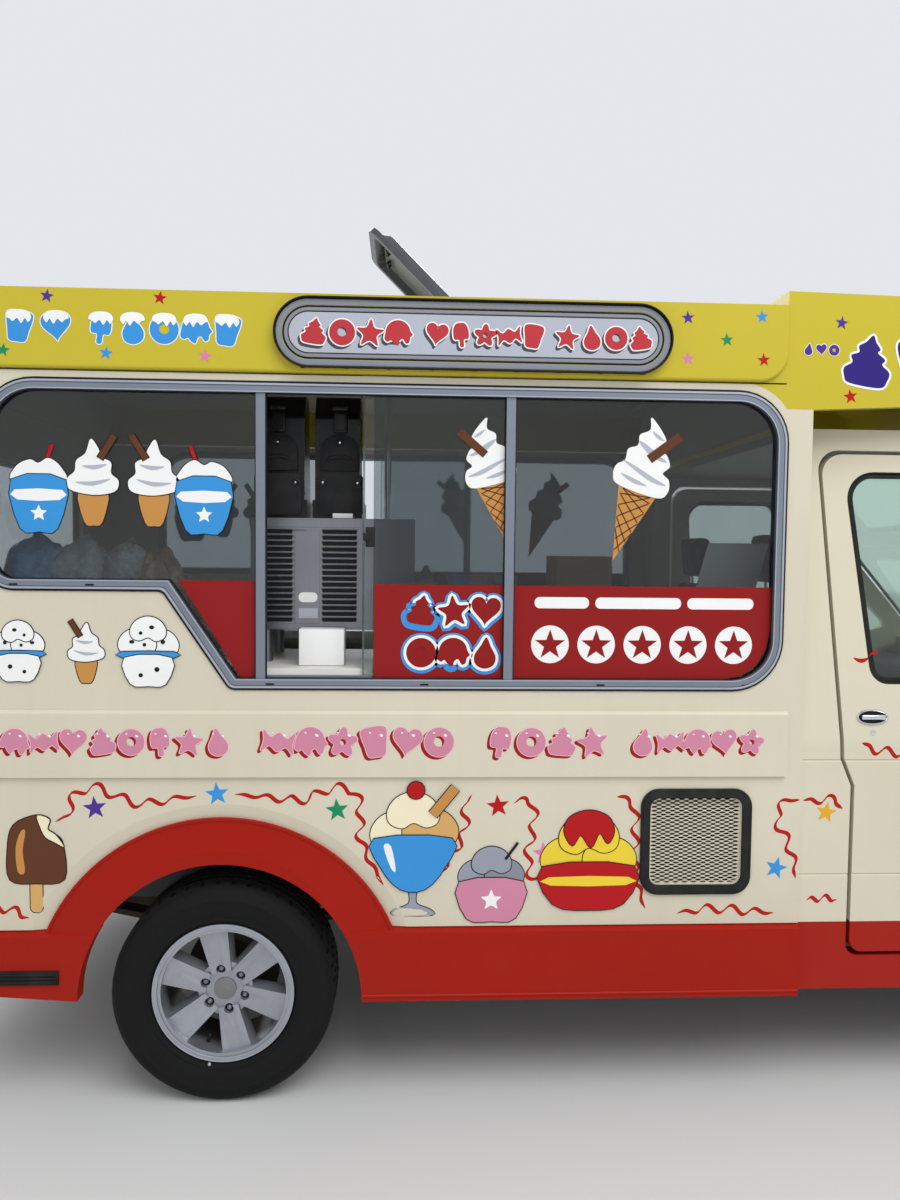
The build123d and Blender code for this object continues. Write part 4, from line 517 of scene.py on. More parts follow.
def clear_pane(name, tint, roughness=0.02, smears=0.03, inner=None):
    """Clear sheet; inner is the tint of what lies nearer the middle of the truck than the panes do."""
    finish = Finish(name, {"Transmission Weight": 1.0, "IOR": 1.45, "Specular IOR Level": 0.5})
    film = finish.noise(3.0, 5.0, 0.6, (1.0, 1.0, 0.5))
    colour = finish.mix(film, shade(tint, 0.97), tint)
    if inner:
        colour = finish.mix(finish.maths("ABSOLUTE", finish.y).below(INNER_PANE_Y), colour, inner)
    return finish.wear(Base_Color=colour, Roughness=roughness + film.above(0.55, 0.2) * smears)


pane_glass = clear_pane("window_glass", paint(164, 171, 173), inner=paint(238, 242, 242))
screen_glass = clear_pane("windscreen_glass", paint(222, 238, 230))
pale_edge = clear_pane("pane_edge", paint(196, 214, 212), 0.2, 0.1)
print("clear finishes made: 3")


# %% Plastics, rubber and cloth
def moulded_plastic(name, colour, roughness, grain=520.0, depth=0.15):
    finish = Finish(name, {"Specular IOR Level": 0.3})
    pebbles = finish.cells(grain)
    cloud = finish.noise(5.0, 4.0)
    toned = finish.mix(cloud, shade(colour, 0.9), shade(colour, 1.1))
    return finish.wear(
        Base_Color=finish.mix(finish.noise(14.0, 5.0).above(0.6, 0.15) * 0.05, toned, DUST),
        Roughness=roughness + cloud * 0.12,
        Normal=finish.bump(pebbles, depth, 0.0004),
    )


def vinyl_film(name, colour):
    """Cut self-adhesive film: even colour, slightly faded, with a low gloss."""
    finish = Finish(name, {"Specular IOR Level": 0.16})
    fade = finish.noise(4.0, 4.0)
    return finish.wear(
        Base_Color=finish.mix(fade, shade(colour, 0.93), shade(colour, 1.05)),
        Roughness=0.38 + fade * 0.1,
        Normal=finish.bump(finish.noise(90.0, 2.0), 0.04, 0.0002),
    )


def woven_cloth(name, colour, thread=700.0):
    finish = Finish(name, {"Sheen Weight": 0.25, "Specular IOR Level": 0.2})
    weft = finish.noise(1.0, 1.0, 0.5, (thread, thread * 0.12, thread))
    warp = finish.noise(1.0, 1.0, 0.5, (thread * 0.12, thread, thread))
    weave = weft * 0.5 + warp * 0.5
    toned = finish.mix(weave, shade(colour, 0.7), shade(colour, 1.25))
    return finish.wear(
        Base_Color=finish.mix(finish.noise(6.0, 4.0) * 0.25, toned, paint(96, 96, 100)),
        Roughness=0.8 + weave * 0.1,
        Normal=finish.bump(weave, 0.4, 0.0006),
    )


black_trim = moulded_plastic("black_trim_plastic", paint(20, 20, 22), 0.5)
black_gloss = moulded_plastic("black_gloss_plastic", paint(10, 10, 12), 0.22, 900.0, 0.04)
dash_plastic = moulded_plastic("dash_grey_plastic", paint(66, 67, 70), 0.6, 380.0, 0.3)
seal_rubber = moulded_plastic("seal_rubber", paint(14, 14, 16), 0.62, 700.0, 0.1)
tyre_rubber = moulded_plastic("tyre_rubber_black", paint(34, 34, 36), 0.74, 420.0, 0.3)
tank_plastic = moulded_plastic("tank_plastic", paint(26, 26, 28), 0.55, 120.0, 0.3)
laminate = moulded_plastic("worktop_laminate", paint(226, 224, 216), 0.35, 900.0, 0.03)
floor_cover = moulded_plastic("floor_covering", paint(108, 108, 110), 0.6, 260.0, 0.35)
hatch_panel = moulded_plastic("hatch_inner_acrylic", paint(118, 125, 120), 0.3, 900.0, 0.03)
lid_acrylic = moulded_plastic("hatch_dark_acrylic", paint(66, 71, 76), 0.2, 900.0, 0.03)
amber_lens = moulded_plastic("amber_lens", paint(222, 120, 26), 0.14, 240.0, 0.35)
seat_fabric = woven_cloth("seat_cloth", paint(66, 70, 84))
seat_side = woven_cloth("seat_side_cloth", paint(40, 42, 48), 900.0)
print("plastic, rubber and cloth finishes made: 13")


# %% Card and crumpled film
def brown_board(name, colour):
    """Corrugated card: matt, with faint upright flutes."""
    finish = Finish(name, {"Specular IOR Level": 0.2})
    flutes = finish.noise(1.0, 2.0, 0.5, (420.0, 420.0, 6.0))
    stain = finish.noise(8.0, 4.0)
    return finish.wear(
        Base_Color=finish.mix(stain, shade(colour, 0.85), shade(colour, 1.1)),
        Roughness=0.78 + stain * 0.1,
        Normal=finish.bump(flutes, 0.25, 0.0005),
    )


def crumpled_film(name, colour):
    """Clear wrap over goods: sharp folds and bright glints on a patchy colour."""
    finish = Finish(name, {"Specular IOR Level": 0.7, "Coat Weight": 0.6, "Coat Roughness": 0.05})
    patch = finish.noise(22.0, 5.0, 0.7)
    return finish.wear(
        Base_Color=finish.mix(patch.above(0.5, 0.16), shade(colour, 0.5), colour),
        Roughness=0.16 + patch * 0.2,
        Normal=finish.bump(finish.cells(26.0) + patch, 0.9, 0.006),
    )


carton_board = brown_board("carton_board", paint(176, 142, 98))
WRAP_COLOURS = {
    "sky": (96, 182, 250), "pale_grey": (236, 240, 244), "panel_grey": (206, 208, 214),
    "tan": (226, 190, 150),
}
wrap_film = {name: crumpled_film("wrap_" + name, paint(*colour)) for name, colour in WRAP_COLOURS.items()}
print("card and wrap finishes made:", 1 + len(wrap_film))

# %% Film colours
FILM_COLOURS = {
    "purple": (78, 52, 142), "sky": (58, 146, 214), "green": (28, 138, 92), "red": (178, 22, 26),
    "pink": (214, 128, 168), "orange": (226, 168, 44), "navy": (48, 34, 120), "white": (240, 240, 238),
    "shadow": (72, 70, 76), "puffy_pink": (206, 134, 158), "blush": (238, 196, 204),
    "dark_red": (156, 24, 22), "window_red": (142, 26, 26), "streamer": (176, 26, 18),
    "letter_red": (186, 56, 62), "brown": (96, 56, 34), "tan": (214, 168, 104), "wafer": (196, 140, 74),
    "vanilla": (240, 230, 196), "grey": (150, 156, 168), "pale_grey": (176, 181, 192),
    "black": (26, 26, 30), "lemon": (234, 206, 60), "panel_grey": (134, 139, 150),
}
FILM = {name: vinyl_film("film_" + name, paint(*colour)) for name, colour in FILM_COLOURS.items()}
print("film colours made:", len(FILM))

# %% [markdown]
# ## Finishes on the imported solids
# The solids keep their shapes, and each one only gets its finish here.
# Some solids carry more than one colour on the real truck, and a mask splits their finish. On the
# body side, the yellow of the roof sweeps down round the window's front corner, so its mask is a
# circle about that corner. The bumper turns black at the grille, and the tail lamps are split into
# bands by height.

# %% Masked finishes
CORNER_X, CORNER_Z, SWEEP_R = ahead(1580), 2.081, 0.186
SWEEP_LOW_Z, BUMPER_TOP_Z = 2.187, 0.745
TAIL_X, AMBER_Z, CLEAR_LOW_Z, CLEAR_HIGH_Z = -1.0, 0.855, 0.70, 0.76


def distance_from(finish, x, z):
    """How far a point lies from an axle or another line across the truck."""
    dx, dz = finish.x - x, finish.z - z
    return finish.maths("SQRT", dx * dx + dz * dz)


def roof_sweep(finish):
    """1 where the body side is yellow: outside a circle round the window's front corner."""
    outside = distance_from(finish, CORNER_X, CORNER_Z).above(SWEEP_R)
    return outside * finish.x.above(CORNER_X) * finish.z.above(SWEEP_LOW_Z)


def above_bumper(finish):
    return finish.z.above(BUMPER_TOP_Z)


def lamp_finish():
    """Silver bowls at the front; red, clear and amber bands at the tail."""
    finish = Finish("lamp_lens_bands", {"Coat Weight": 0.6, "Coat Roughness": 0.03})
    tail = finish.x.below(TAIL_X, 0.01)
    clear = finish.z.above(CLEAR_LOW_Z, 0.001) * finish.z.below(CLEAR_HIGH_Z, 0.001)
    rear = finish.mix(finish.z.above(AMBER_Z, 0.001), paint(170, 18, 16), paint(224, 120, 24))
    rear = finish.mix(clear, rear, paint(226, 226, 228))
    ribs = finish.noise(1.0, 0.0, 0.0, (500.0, 500.0, 40.0))
    return finish.wear(
        Base_Color=finish.mix(tail, paint(168, 173, 180), rear),
        Metallic=(1.0 - tail) * 0.8,
        Roughness=0.12 + ribs * 0.06,
        Normal=finish.bump(ribs, 0.2, 0.0005),
    )


side_panel_coat = gloss_coat("body_side_coat", CREAM, YELLOW, roof_sweep)
bumper_coat = gloss_coat("bumper_red_and_grille_black", RED, paint(24, 24, 26), above_bumper, 0.15, 0.06,
                         0.14)

# %% Finish of every node
NODE_FINISHES = [
    (side_panel_coat, "body_side_right body_side_left"),
    (cream_panel, "body_rear body_roof bonnet"),
    (yellow_panel, "roof_fascia"),
    (red_panel, "lower_skirts"),
    (cab_panel, "cab_frame cab_door_right cab_door_left front_wings"),
    (bumper_coat, "front_bumper_and_grille"),
    (lamp_finish(), "lamp_units"),
    (frame_metal, "window_frames"),
    (pane_glass, "body_glass"),
    (screen_glass, "windscreen door_glass_right door_glass_left"),
    (lid_acrylic, "hatch_lid"),
    (underseal, "chassis_frame rear_axle front_suspension"),
    (cast_metal, "engine_block knuckle_right knuckle_left"),
    (pipe_steel, "exhaust_system"),
    (tank_plastic, "fuel_tank"),
    (black_trim, "door_mirror_right door_mirror_left steering_wheel"),
    (dash_plastic, "dashboard"),
    (seat_fabric, "cab_seats"),
    (laminate, "counters"),
    (steel_sheet, "soft_serve_machine"),
    (black_gloss, "slush_machines"),
    (floor_cover, "body_floor cab_floor"),
    (wheel_silver, "wheel_front_left wheel_front_right wheel_rear_left wheel_rear_right"),
    (tyre_rubber, "tyre_front_left tyre_front_right tyre_rear_left tyre_rear_right"),
]
given = 0
for finish, names in NODE_FINISHES:
    for name in names.split():
        nodes[name].data.materials.clear()
        nodes[name].data.materials.append(finish)
        given += 1
print("solids given a finish:", given, "of", len(nodes))

# %% [markdown]
# ## Outlines for cut film
# The stars, streamers and sweets on the truck are cut from coloured film and stuck on.
# Each one is drawn as a flat filled curve, because a curve fills any outline cleanly, and is then
# made a mesh. Drawings are in millimetres: how far ahead of the rear axle, and how high.

# %% Plain outlines
def arc(x, z, radius, start, end, count, squash=1.0):
    """Points on an arc, at angles in degrees."""
    angles = [radians(start + (end - start) * k / count) for k in range(count + 1)]
    return [(x + radius * cos(a), z + radius * squash * sin(a)) for a in angles]


def disc(x, z, radius, squash=1.0, steps=32):
    return arc(x, z, radius, 0, 360, steps, squash)[:-1]


def star(x, z, radius, turn=90.0, waist=0.42):
    """Five-pointed star; waist is how far in its hollows reach."""
    corners = []
    for k in range(10):
        reach = radius * waist if k % 2 else radius
        angle = radians(turn + 36.0 * k)
        corners.append((x + reach * cos(angle), z + reach * sin(angle)))
    return corners


def rounded(x0, z0, x1, z1, radius, steps=6):
    """Rectangle with round corners."""
    centres = [(x1 - radius, z1 - radius), (x0 + radius, z1 - radius), (x0 + radius, z0 + radius),
               (x1 - radius, z0 + radius)]
    return [point for k, (x, z) in enumerate(centres)
            for point in arc(x, z, radius, 90 * k, 90 * k + 90, steps)]


def smooth(points, steps, closed=True):
    """Soft line through a few points."""
    count = len(points)
    line = []
    for k in range(count if closed else count - 1):
        if closed:
            near = (points[(k + j - 1) % count] for j in range(4))
        else:
            near = (points[min(max(k + j - 1, 0), count - 1)] for j in range(4))
        near = list(zip(*near))
        for t in (s / steps for s in range(steps)):
            line.append(tuple(
                0.5 * (2 * b + (c - a) * t + (2 * a - 5 * b + 4 * c - d) * t * t
                       + (3 * b - a - 3 * c + d) * t ** 3) for a, b, c, d in near
            ))
    return line if closed else line + [points[-1]]


def grown(line, by):
    """The same outline, wider all round."""
    area = sum(a[0] * b[1] - b[0] * a[1] for a, b in zip(line, line[1:] + line[:1]))
    side = by if area > 0 else -by
    out = []
    for (x, z), (ax, az), (bx, bz) in zip(line, line[-1:] + line, line[1:] + line[:1]):
        length = hypot(bx - ax, bz - az) or 1.0
        out.append((x + (bz - az) / length * side, z - (bx - ax) / length * side))
    return out


def moved(line, x, z, scale=1.0, turn=0.0, mirror=1.0):
    """An outline drawn about its own zero, put in place."""
    c, s = cos(radians(turn)), sin(radians(turn))
    return [(x + scale * (mirror * px * c - pz * s), z + scale * (mirror * px * s + pz * c))
            for px, pz in line]


# %% Outlines of sweets, one unit high
ROUND = [2 * pi * k / 36 for k in range(36)]
FINE_ROUND = [2 * pi * k / 60 for k in range(60)]
SWIRL = [(0.02, 0.5), (0.1, 0.38), (0.2, 0.27), (0.16, 0.2), (0.32, 0.1), (0.28, 0.0), (0.44, -0.12),
         (0.42, -0.28), (0.3, -0.42), (-0.3, -0.42), (-0.42, -0.3), (-0.44, -0.16), (-0.3, -0.04),
         (-0.34, 0.08), (-0.2, 0.16), (-0.22, 0.27), (-0.1, 0.36)]
SCOOP_HEM = [(-0.52, -0.12), (-0.42, -0.24), (-0.3, -0.2), (-0.2, -0.34), (-0.08, -0.42), (0.02, -0.26),
             (0.14, -0.22), (0.24, -0.4), (0.36, -0.36), (0.42, -0.2), (0.52, -0.12)]
LOLLY = [(-0.3, -0.16), (-0.32, 0.2), (-0.2, 0.46), (0.0, 0.5), (0.2, 0.46), (0.32, 0.2), (0.3, -0.16),
         (0.1, -0.2), (0.08, -0.48), (-0.08, -0.48), (-0.1, -0.2)]
SWEET = [(0.26, 0.14), (0.5, 0.34), (0.46, 0.0), (0.5, -0.34), (0.26, -0.14), (0.0, -0.3), (-0.26, -0.14),
         (-0.5, -0.34), (-0.46, 0.0), (-0.5, 0.34), (-0.26, 0.14), (0.0, 0.3)]
CUP_SHAPE = [(-0.42, 0.3), (-0.34, 0.46), (0.0, 0.5), (0.34, 0.46), (0.42, 0.3), (0.34, -0.1), (0.26, -0.44),
             (0.0, -0.48), (-0.26, -0.44), (-0.34, -0.1)]
DROP = [(0.0, 0.5), (0.16, 0.22), (0.34, -0.1), (0.28, -0.38), (0.0, -0.5), (-0.28, -0.38), (-0.34, -0.1),
        (-0.16, 0.22)]
HEART = [(16 * sin(t) ** 3 / 34, (13 * cos(t) - 5 * cos(2 * t) - 2 * cos(3 * t) - cos(4 * t) + 2.5) / 32)
         for t in ROUND]
PETALS = [((0.38 + 0.1 * cos(5 * t)) * sin(t), (0.38 + 0.1 * cos(5 * t)) * cos(t)) for t in FINE_ROUND]
SHAPES = {
    "heart": [HEART],
    "scoop": [smooth(arc(0.0, 0.02, 0.46, 0, 168, 7) + SCOOP_HEM, 4)],
    "swirl": [smooth(SWIRL, 4)],
    "lolly": [smooth(LOLLY, 4)],
    "ring": [disc(0, 0, 0.47), disc(0.0, 0.02, 0.17, steps=20)[::-1]],
    "flower": [PETALS, disc(0, 0, 0.1, steps=16)[::-1]],
    "sweet": [smooth(SWEET, 5)],
    "star": [smooth(star(0, -0.02, 0.52, waist=0.5), 4)],
    "cup": [smooth(CUP_SHAPE, 4)],
    "drop": [smooth(DROP, 5)],
}
print("sweet outlines drawn:", len(SHAPES))

# %% [markdown]
# ## Sticking film on a surface
# Film follows what it lies on. The body dishes in a little round the wheel arch, the pod over the cab
# tapers towards the front, and the cab leans in above its waist, so each sheet is drawn flat,
# divided finely enough, and then pushed onto the surface point by point.
# Sheets of one colour in one place are joined into a single piece.

# %% Surfaces that film lies on
FILM_STEP, FILM_DEPTH = 0.0005, 0.0004
BODY_FACE, BELT_FACE, BOARD_FACE, SIGN_FACE, GLASS_FACE, FRAME_FACE = 0.985, 0.997, 1.000, 1.014, 0.968, 0.991
POD_REAR, POD_FRONT, POD_TAPER = ahead(1729), ahead(2860), 0.075
WAIST_Z, CAB_FACE, CAB_TOP_FACE, CAB_ROOF_Z, CAB_BEND = 1.150, 0.978, 0.832, 2.150, 0.016
ARCH_Z, ARCH_R, DISH_WIDTH, DISH_DEPTH = 0.340, 0.617, 0.042, 0.008


def body_surface(x, z):
    """Outward place of the body side, which dishes in towards the arch."""
    share = (ARCH_R - hypot(x - REAR_AXLE, z - ARCH_Z)) / DISH_WIDTH
    return BODY_FACE - DISH_DEPTH * min(1.0, max(0.0, share))


def pod_surface(x, _):
    return BODY_FACE - (x - POD_REAR) / (POD_FRONT - POD_REAR) * POD_TAPER


def cab_surface(_, z):
    """Cab side: upright below the waist, leaning in above it, with a soft bend between."""
    lean = (CAB_FACE - CAB_TOP_FACE) / (CAB_ROOF_Z - WAIST_Z)
    rise = z - WAIST_Z
    if rise < -CAB_BEND:
        return CAB_FACE
    if rise > CAB_BEND:
        return CAB_FACE - rise * lean
    return CAB_FACE - lean * (rise + CAB_BEND) ** 2 / (4 * CAB_BEND)


def flat(face):
    return lambda x, z: face


def lay(thing, surface, sink=0.0):
    """Push a flat piece, made at zero, onto a surface of the right side."""
    for corner in thing.data.vertices:
        corner.co.y += sink - surface(corner.co.x, corner.co.z)
    return thing


def stick(name, film, outlines, surface, layer=0, body=BODY):
    """Cut film outlines, lay them on a surface and mirror them to the other side."""
    sheet = join(name, [side_sheet(name, group, 0.0, FILM_DEPTH) for group in outlines])
    pair(lay(sheet, surface, -layer * FILM_STEP), FILM[film], body, 0)


def ribbon(name, paths, surface, thin=3.5, thick=13.0, body=BODY):
    """Painted streamers: a strip whose width follows the angle of a broad pen."""
    nib = radians(50)
    strips = []
    for line in paths:
        last = len(line) - 1
        deselect()
        bpy.ops.mesh.primitive_grid_add(x_subdivisions=last, y_subdivisions=1, size=1)
        strip = active(name)
        rows = {}
        for corner in strip.data.vertices:
            rows.setdefault(round(corner.co.x, 5), []).append(corner)
        for k, key in enumerate(sorted(rows)):
            (ax, az), (x, z), (bx, bz) = line[max(k - 1, 0)], line[k], line[min(k + 1, last)]
            heading = atan2(bz - az, bx - ax)
            half = (thin + (thick - thin) * abs(sin(heading - nib))) / 2
            half *= min(1.0, 0.15 + k / 9, 0.15 + (last - k) / 9)
            for corner in rows[key]:
                side = copysign(half, corner.co.y)
                corner.co = (ahead(x - sin(heading) * side), 0.0, (z + cos(heading) * side) / 1000)
        strips.append(strip)
    sheet = clean(lay(join(name, strips), surface))
    if sum(face.normal.y for face in sheet.data.polygons) > 0:
        sheet.data.flip_normals()
    take_modifier(sheet, "SOLIDIFY", thickness=FILM_DEPTH, offset=1.0)
    pair(sheet, FILM["streamer"], body, 0)


# %% [markdown]
# ## Stars and streamers
# The stars are scattered in six colours, and thin red streamers wander between the pictures.
# Both are common fairground ornament, so they follow the truck's own places and sizes.

# %% Stars
BOARD_STARS = {
    "purple": [(-497, 2474), (1411, 2454), (-905, 2330)],
    "red": [(-170, 2476), (1649, 2332), (-700, 2462)],
    "green": [(-625, 2315), (1533, 2390), (-860, 2470)],
    "sky": [(-328, 2312), (1640, 2462)],
    "pink": [(-39, 2309), (1414, 2331), (-770, 2325)],
}
SIDE_STARS = {
    "purple": [(-379, 947)],
    "sky": [(-11, 989), (1740, 747)],
    "green": [(355, 938)],
    "red": [(853, 949), (-870, 820)],
    "pink": [(999, 799)],
    "orange": [(-800, 980)],
}
POD_STARS = [
    # name, film, stars as (ahead, height, radius, turn), body
    ("pod_star_purple", "purple", [(1902, 2456, 22, 84)], BODY),
    ("pod_star_red", "red", [(1938, 2232, 24, 100), (2560, 2440, 22, 80)], BODY),
    ("pod_star_green", "green", [(2360, 2260, 22, 95)], BODY),
]
CAB_STARS = [
    ("cab_star_orange", "orange", [(1900, 923, 35, 80)], BODY),
    ("door_stars_right", "sky", [(2180, 900, 36, 96), (2600, 960, 34, 84)], "door_right_body"),
    ("door_star_pink_right", "pink", [(2420, 640, 34, 100)], "door_right_body"),
]


def stick_stars(rows, surface):
    for name, film, stars, body in rows:
        stick(name, film, [[star(*place)] for place in stars], surface, body=body)


for film, places in BOARD_STARS.items():
    stick("board_stars_" + film, film, [[star(x, z, 21.0, 82.0 + k * 13)] for k, (x, z) in enumerate(places)],
          flat(BOARD_FACE))
for film, places in SIDE_STARS.items():
    stick("side_stars_" + film, film, [[star(x, z, 37.0, 96.0 - k * 20)] for k, (x, z) in enumerate(places)],
          body_surface)
stick_stars(POD_STARS, pod_surface)
print("groups of stars stuck on:", len(BOARD_STARS) + len(SIDE_STARS) + len(POD_STARS))


# %% Streamers
def wavy(path, wave=80.0, height=13.0):
    """A path, evened out, with waves along it that die away at its ends."""
    line = smooth(path, 24, closed=False)
    for _ in range(60):
        near = zip(line, line[1:], line[2:])
        inner = [((ax + 2 * x + bx) / 4, (az + 2 * z + bz) / 4) for (ax, az), (x, z), (bx, bz) in near]
        line = [line[0], *inner, line[-1]]
    reach = [0.0]
    for (ax, az), (bx, bz) in zip(line, line[1:]):
        reach.append(reach[-1] + hypot(bx - ax, bz - az))
    count = max(1, round(reach[-1] / wave))
    out = []
    for k, (x, z) in enumerate(line):
        (ax, az), (bx, bz) = line[max(k - 1, 0)], line[min(k + 1, len(line) - 1)]
        length = hypot(bx - ax, bz - az) or 1.0
        share = reach[k] / reach[-1]
        offset = height * sin(2 * pi * count * share) * min(1.0, 4 * share, 4 * (1 - share))
        out.append((x - (bz - az) / length * offset, z + (bx - ax) / length * offset))
    return out


SIDE_STREAMERS = [
    [(-498, 905), (-452, 930), (-445, 985), (-380, 1012), (-318, 985), (-240, 958), (-160, 972), (-73, 983)],
    [(43, 988), (150, 978), (250, 968), (322, 1002), (398, 1004), (428, 940), (424, 860), (450, 790),
     (499, 701)],
    [(654, 711), (692, 765), (728, 822), (752, 880), (748, 950), (772, 986)],
    [(903, 957), (945, 975), (968, 915), (958, 850), (948, 780), (968, 716), (1051, 713)],
    [(1227, 977), (1270, 965), (1288, 890), (1284, 800), (1292, 710), (1323, 620)],
    [(1425, 603), (1500, 616), (1580, 616), (1660, 608), (1736, 602)],
    [(1811, 965), (1760, 962), (1736, 905), (1768, 845), (1794, 780), (1804, 713)],
    [(-930, 940), (-870, 930), (-800, 912), (-740, 880), (-728, 780)],
    [(-700, 640), (-640, 636), (-580, 607)],
]
CAB_STREAMERS = [
    [(1952, 934), (1920, 968), (1870, 960), (1825, 962)],
    [(1845, 640), (1890, 646), (1944, 640)],
]
DOOR_STREAMERS = [
    [(2010, 1146), (2050, 1124), (2110, 1116), (2210, 1104)],
    [(2300, 700), (2370, 735), (2430, 800), (2480, 870), (2506, 930)],
]
DOOR_FLICK = [(1992, 1412), (2014, 1403), (2036, 1409), (2052, 1426), (2078, 1430)]
ribbon("side_streamers", [wavy(path) for path in SIDE_STREAMERS], body_surface)
ribbon("cab_streamers", [wavy(path, 66.0, 10.0) for path in CAB_STREAMERS], cab_surface)
ribbon("door_streamers_right", [wavy(path) for path in DOOR_STREAMERS], cab_surface, body="door_right_body")
ribbon("door_flick_right", [smooth(DOOR_FLICK, 6, closed=False)], cab_surface, 3.0, 19.0, "door_right_body")
stick_stars(CAB_STARS, cab_surface)
print("streamers painted:", len(SIDE_STREAMERS) + len(CAB_STREAMERS) + len(DOOR_STREAMERS) + 1)

# %% [markdown]
# ## Trim that follows a line
# Gaskets, sign rims and rubber edges all follow an outline with round corners. The outline is
# worked out once from its corners. A flat band is then the sheet between two offsets of it, and a
# round bead is a curve with a round section that is made a mesh at once.

# %% Lines with round corners
def corner_line(points, radii, steps):
    """Outline whose corners are arcs; points and radii in millimetres."""
    line = []
    for k, ((px, pz), radius) in enumerate(zip(points, radii)):
        (ax, az), (bx, bz) = points[k - 1], points[(k + 1) % len(points)]
        start = atan2(pz - az, px - ax)
        turn = (atan2(bz - pz, bx - px) - start + pi) % (2 * pi) - pi
        bend = copysign(radius, turn)
        reach = radius * tan(abs(turn) / 2)
        cx = px - reach * cos(start) - bend * sin(start)
        cz = pz - reach * sin(start) + bend * cos(start)
        for j in range(steps + 1):
            angle = start + turn * j / steps
            line.append((cx + bend * sin(angle), cz - bend * cos(angle)))
    return line


def side_bead(name, outline, face, radius, closed=True):
    """Bead on the right side along an outline in millimetres."""
    return bead(name, [(ahead(x), -face, z / 1000) for x, z in outline], radius, closed)


print("trim helpers ready")

# %% [markdown]
# ## The raised sign
# The sign is a moulded plate with a rubber edge. Inside its groove lies a pale panel, which takes
# the row of shapes. Every ring is cut as a flat band, and a bevel softens the thicker ones.

# %% Sign rings and panel
def pill_line(inset):
    low, high = 2282 + inset, 2484 - inset
    return rounded(167 + inset, low, 1358 - inset, high, (high - low) / 2 - 0.5, 14)


SIGN_RINGS = [
    # name, outer inset, inner inset, face, depth, finish
    ("sign_edge_rubber", -3.5, 0.4, 1.0125, 0.0125, seal_rubber),
    ("sign_outer_line", 0.5, 3.5, SIGN_FACE, 0.0006, FILM["black"]),
    ("sign_outer_ring", 4.5, 21.0, SIGN_FACE, 0.0016, FILM["panel_grey"]),
    ("sign_groove_shade", 22.2, 27.8, 1.011, 0.0006, FILM["black"]),
    ("sign_inner_ring", 28.5, 38.0, SIGN_FACE, 0.0016, FILM["panel_grey"]),
    ("sign_inner_line", 38.6, 41.5, SIGN_FACE, 0.0006, FILM["black"]),
]
for name, outer, inner, face, depth, finish in SIGN_RINGS:
    ring = side_sheet(name, [pill_line(outer), pill_line(inner)], face, depth)
    if depth > 0.001:
        soft_edges(ring, 0.0006 if depth < 0.01 else 0.002, 1)
    pair(ring, finish)
pair(side_sheet("sign_panel", [pill_line(42.0)], SIGN_FACE, 0.0006), FILM["pale_grey"])
clips = [box(f"clip_{x}", (ahead(x - 7), -1.0155, 2.2795), (ahead(x + 7), -1.002, 2.285), 0.001, 1)
         for x in range(250, 1275, 128)]
pair(join("sign_clips", clips), black_trim)
print("sign rings made:", len(SIGN_RINGS))

# %% [markdown]
# ## Air vent with its mesh
# Behind the serving side's front corner is a vent: a black rounded rim, and in it expanded metal
# painted like the body. Expanded metal is a sheet of diamond holes, so it is cut as one flat shape
# with many holes, over a black sheet of painted shade that darkens what shows through the holes.

# %% Vent rim, mesh and the painted shade behind it
VENT_X, VENT_Z, VENT_HALF_X, VENT_HALF_Z = 1478.5, 834.5, 176.5, 168.5
HOLE_PITCH, ROW_PITCH, HOLE_HALF, HOLE_FLAT, HOLE_RISE = 29.0, 6.2, 11.8, 4.0, 3.3


def vent_line(inset, radius, steps=8):
    x, z = VENT_HALF_X - inset, VENT_HALF_Z - inset
    return rounded(VENT_X - x, VENT_Z - z, VENT_X + x, VENT_Z + z, radius, steps)


vent_rim = side_sheet("vent_rim", [vent_line(0, 58), vent_line(30, 30)], 0.9855, 0.0085)
pair(soft_edges(vent_rim, 0.004, 3), black_trim)
pair(side_bead("vent_rim_line", vent_line(6, 52), 0.9935, 0.0016), black_gloss)
HOLE = [(-HOLE_HALF, 0), (-HOLE_FLAT, -HOLE_RISE), (HOLE_FLAT, -HOLE_RISE), (HOLE_HALF, 0),
        (HOLE_FLAT, HOLE_RISE), (-HOLE_FLAT, HOLE_RISE)]
holes = []
rows = int((2 * VENT_HALF_Z - 62) / ROW_PITCH)
for row in range(rows):
    z = VENT_Z - VENT_HALF_Z + 33 + (row + 0.5) * (2 * VENT_HALF_Z - 66) / rows
    count = 10 if row % 2 else 9
    holes += [moved(HOLE, VENT_X + (k - (count - 1) / 2) * HOLE_PITCH, z) for k in range(count)]
pair(side_sheet("vent_mesh", [vent_line(29, 31), *holes], 0.9765, 0.0018), cream_panel, smooth=0)
# Painted shade: a black sheet behind the mesh stands for the dark inside the vent.
pair(side_sheet("vent_backing", [vent_line(31, 30, 6)], 0.9636, 0.0006), FILM["black"], smooth=0)
print("diamond holes in the mesh:", len(holes))

# %% [markdown]
# ## Rubber strip on the skirt
# Behind the rear wheel a ribbed rubber strip guards the skirt, where crates rub against it.
# It is a box with three round bars sunk into its face as ribs.

# %% Guard strip
STRIP_LOW, STRIP_HIGH, STRIP_FACE, RIBS = 0.405, 0.449, -1.007, 3
strip = [box("strip", (ahead(-940), STRIP_FACE, STRIP_LOW), (ahead(-486), -0.999, STRIP_HIGH), 0.003)]
for k in range(RIBS):
    z = STRIP_LOW + (STRIP_HIGH - STRIP_LOW) / (RIBS + 1) * (k + 1)
    ends = (ahead(-934), STRIP_FACE, z), (ahead(-492), STRIP_FACE, z)
    strip.append(bar(f"rib_{k}", *ends, 0.0042, 12, bevel=0.0015))
pair(join("skirt_guard_strip", strip), seal_rubber)
print("guard strips made: 2")
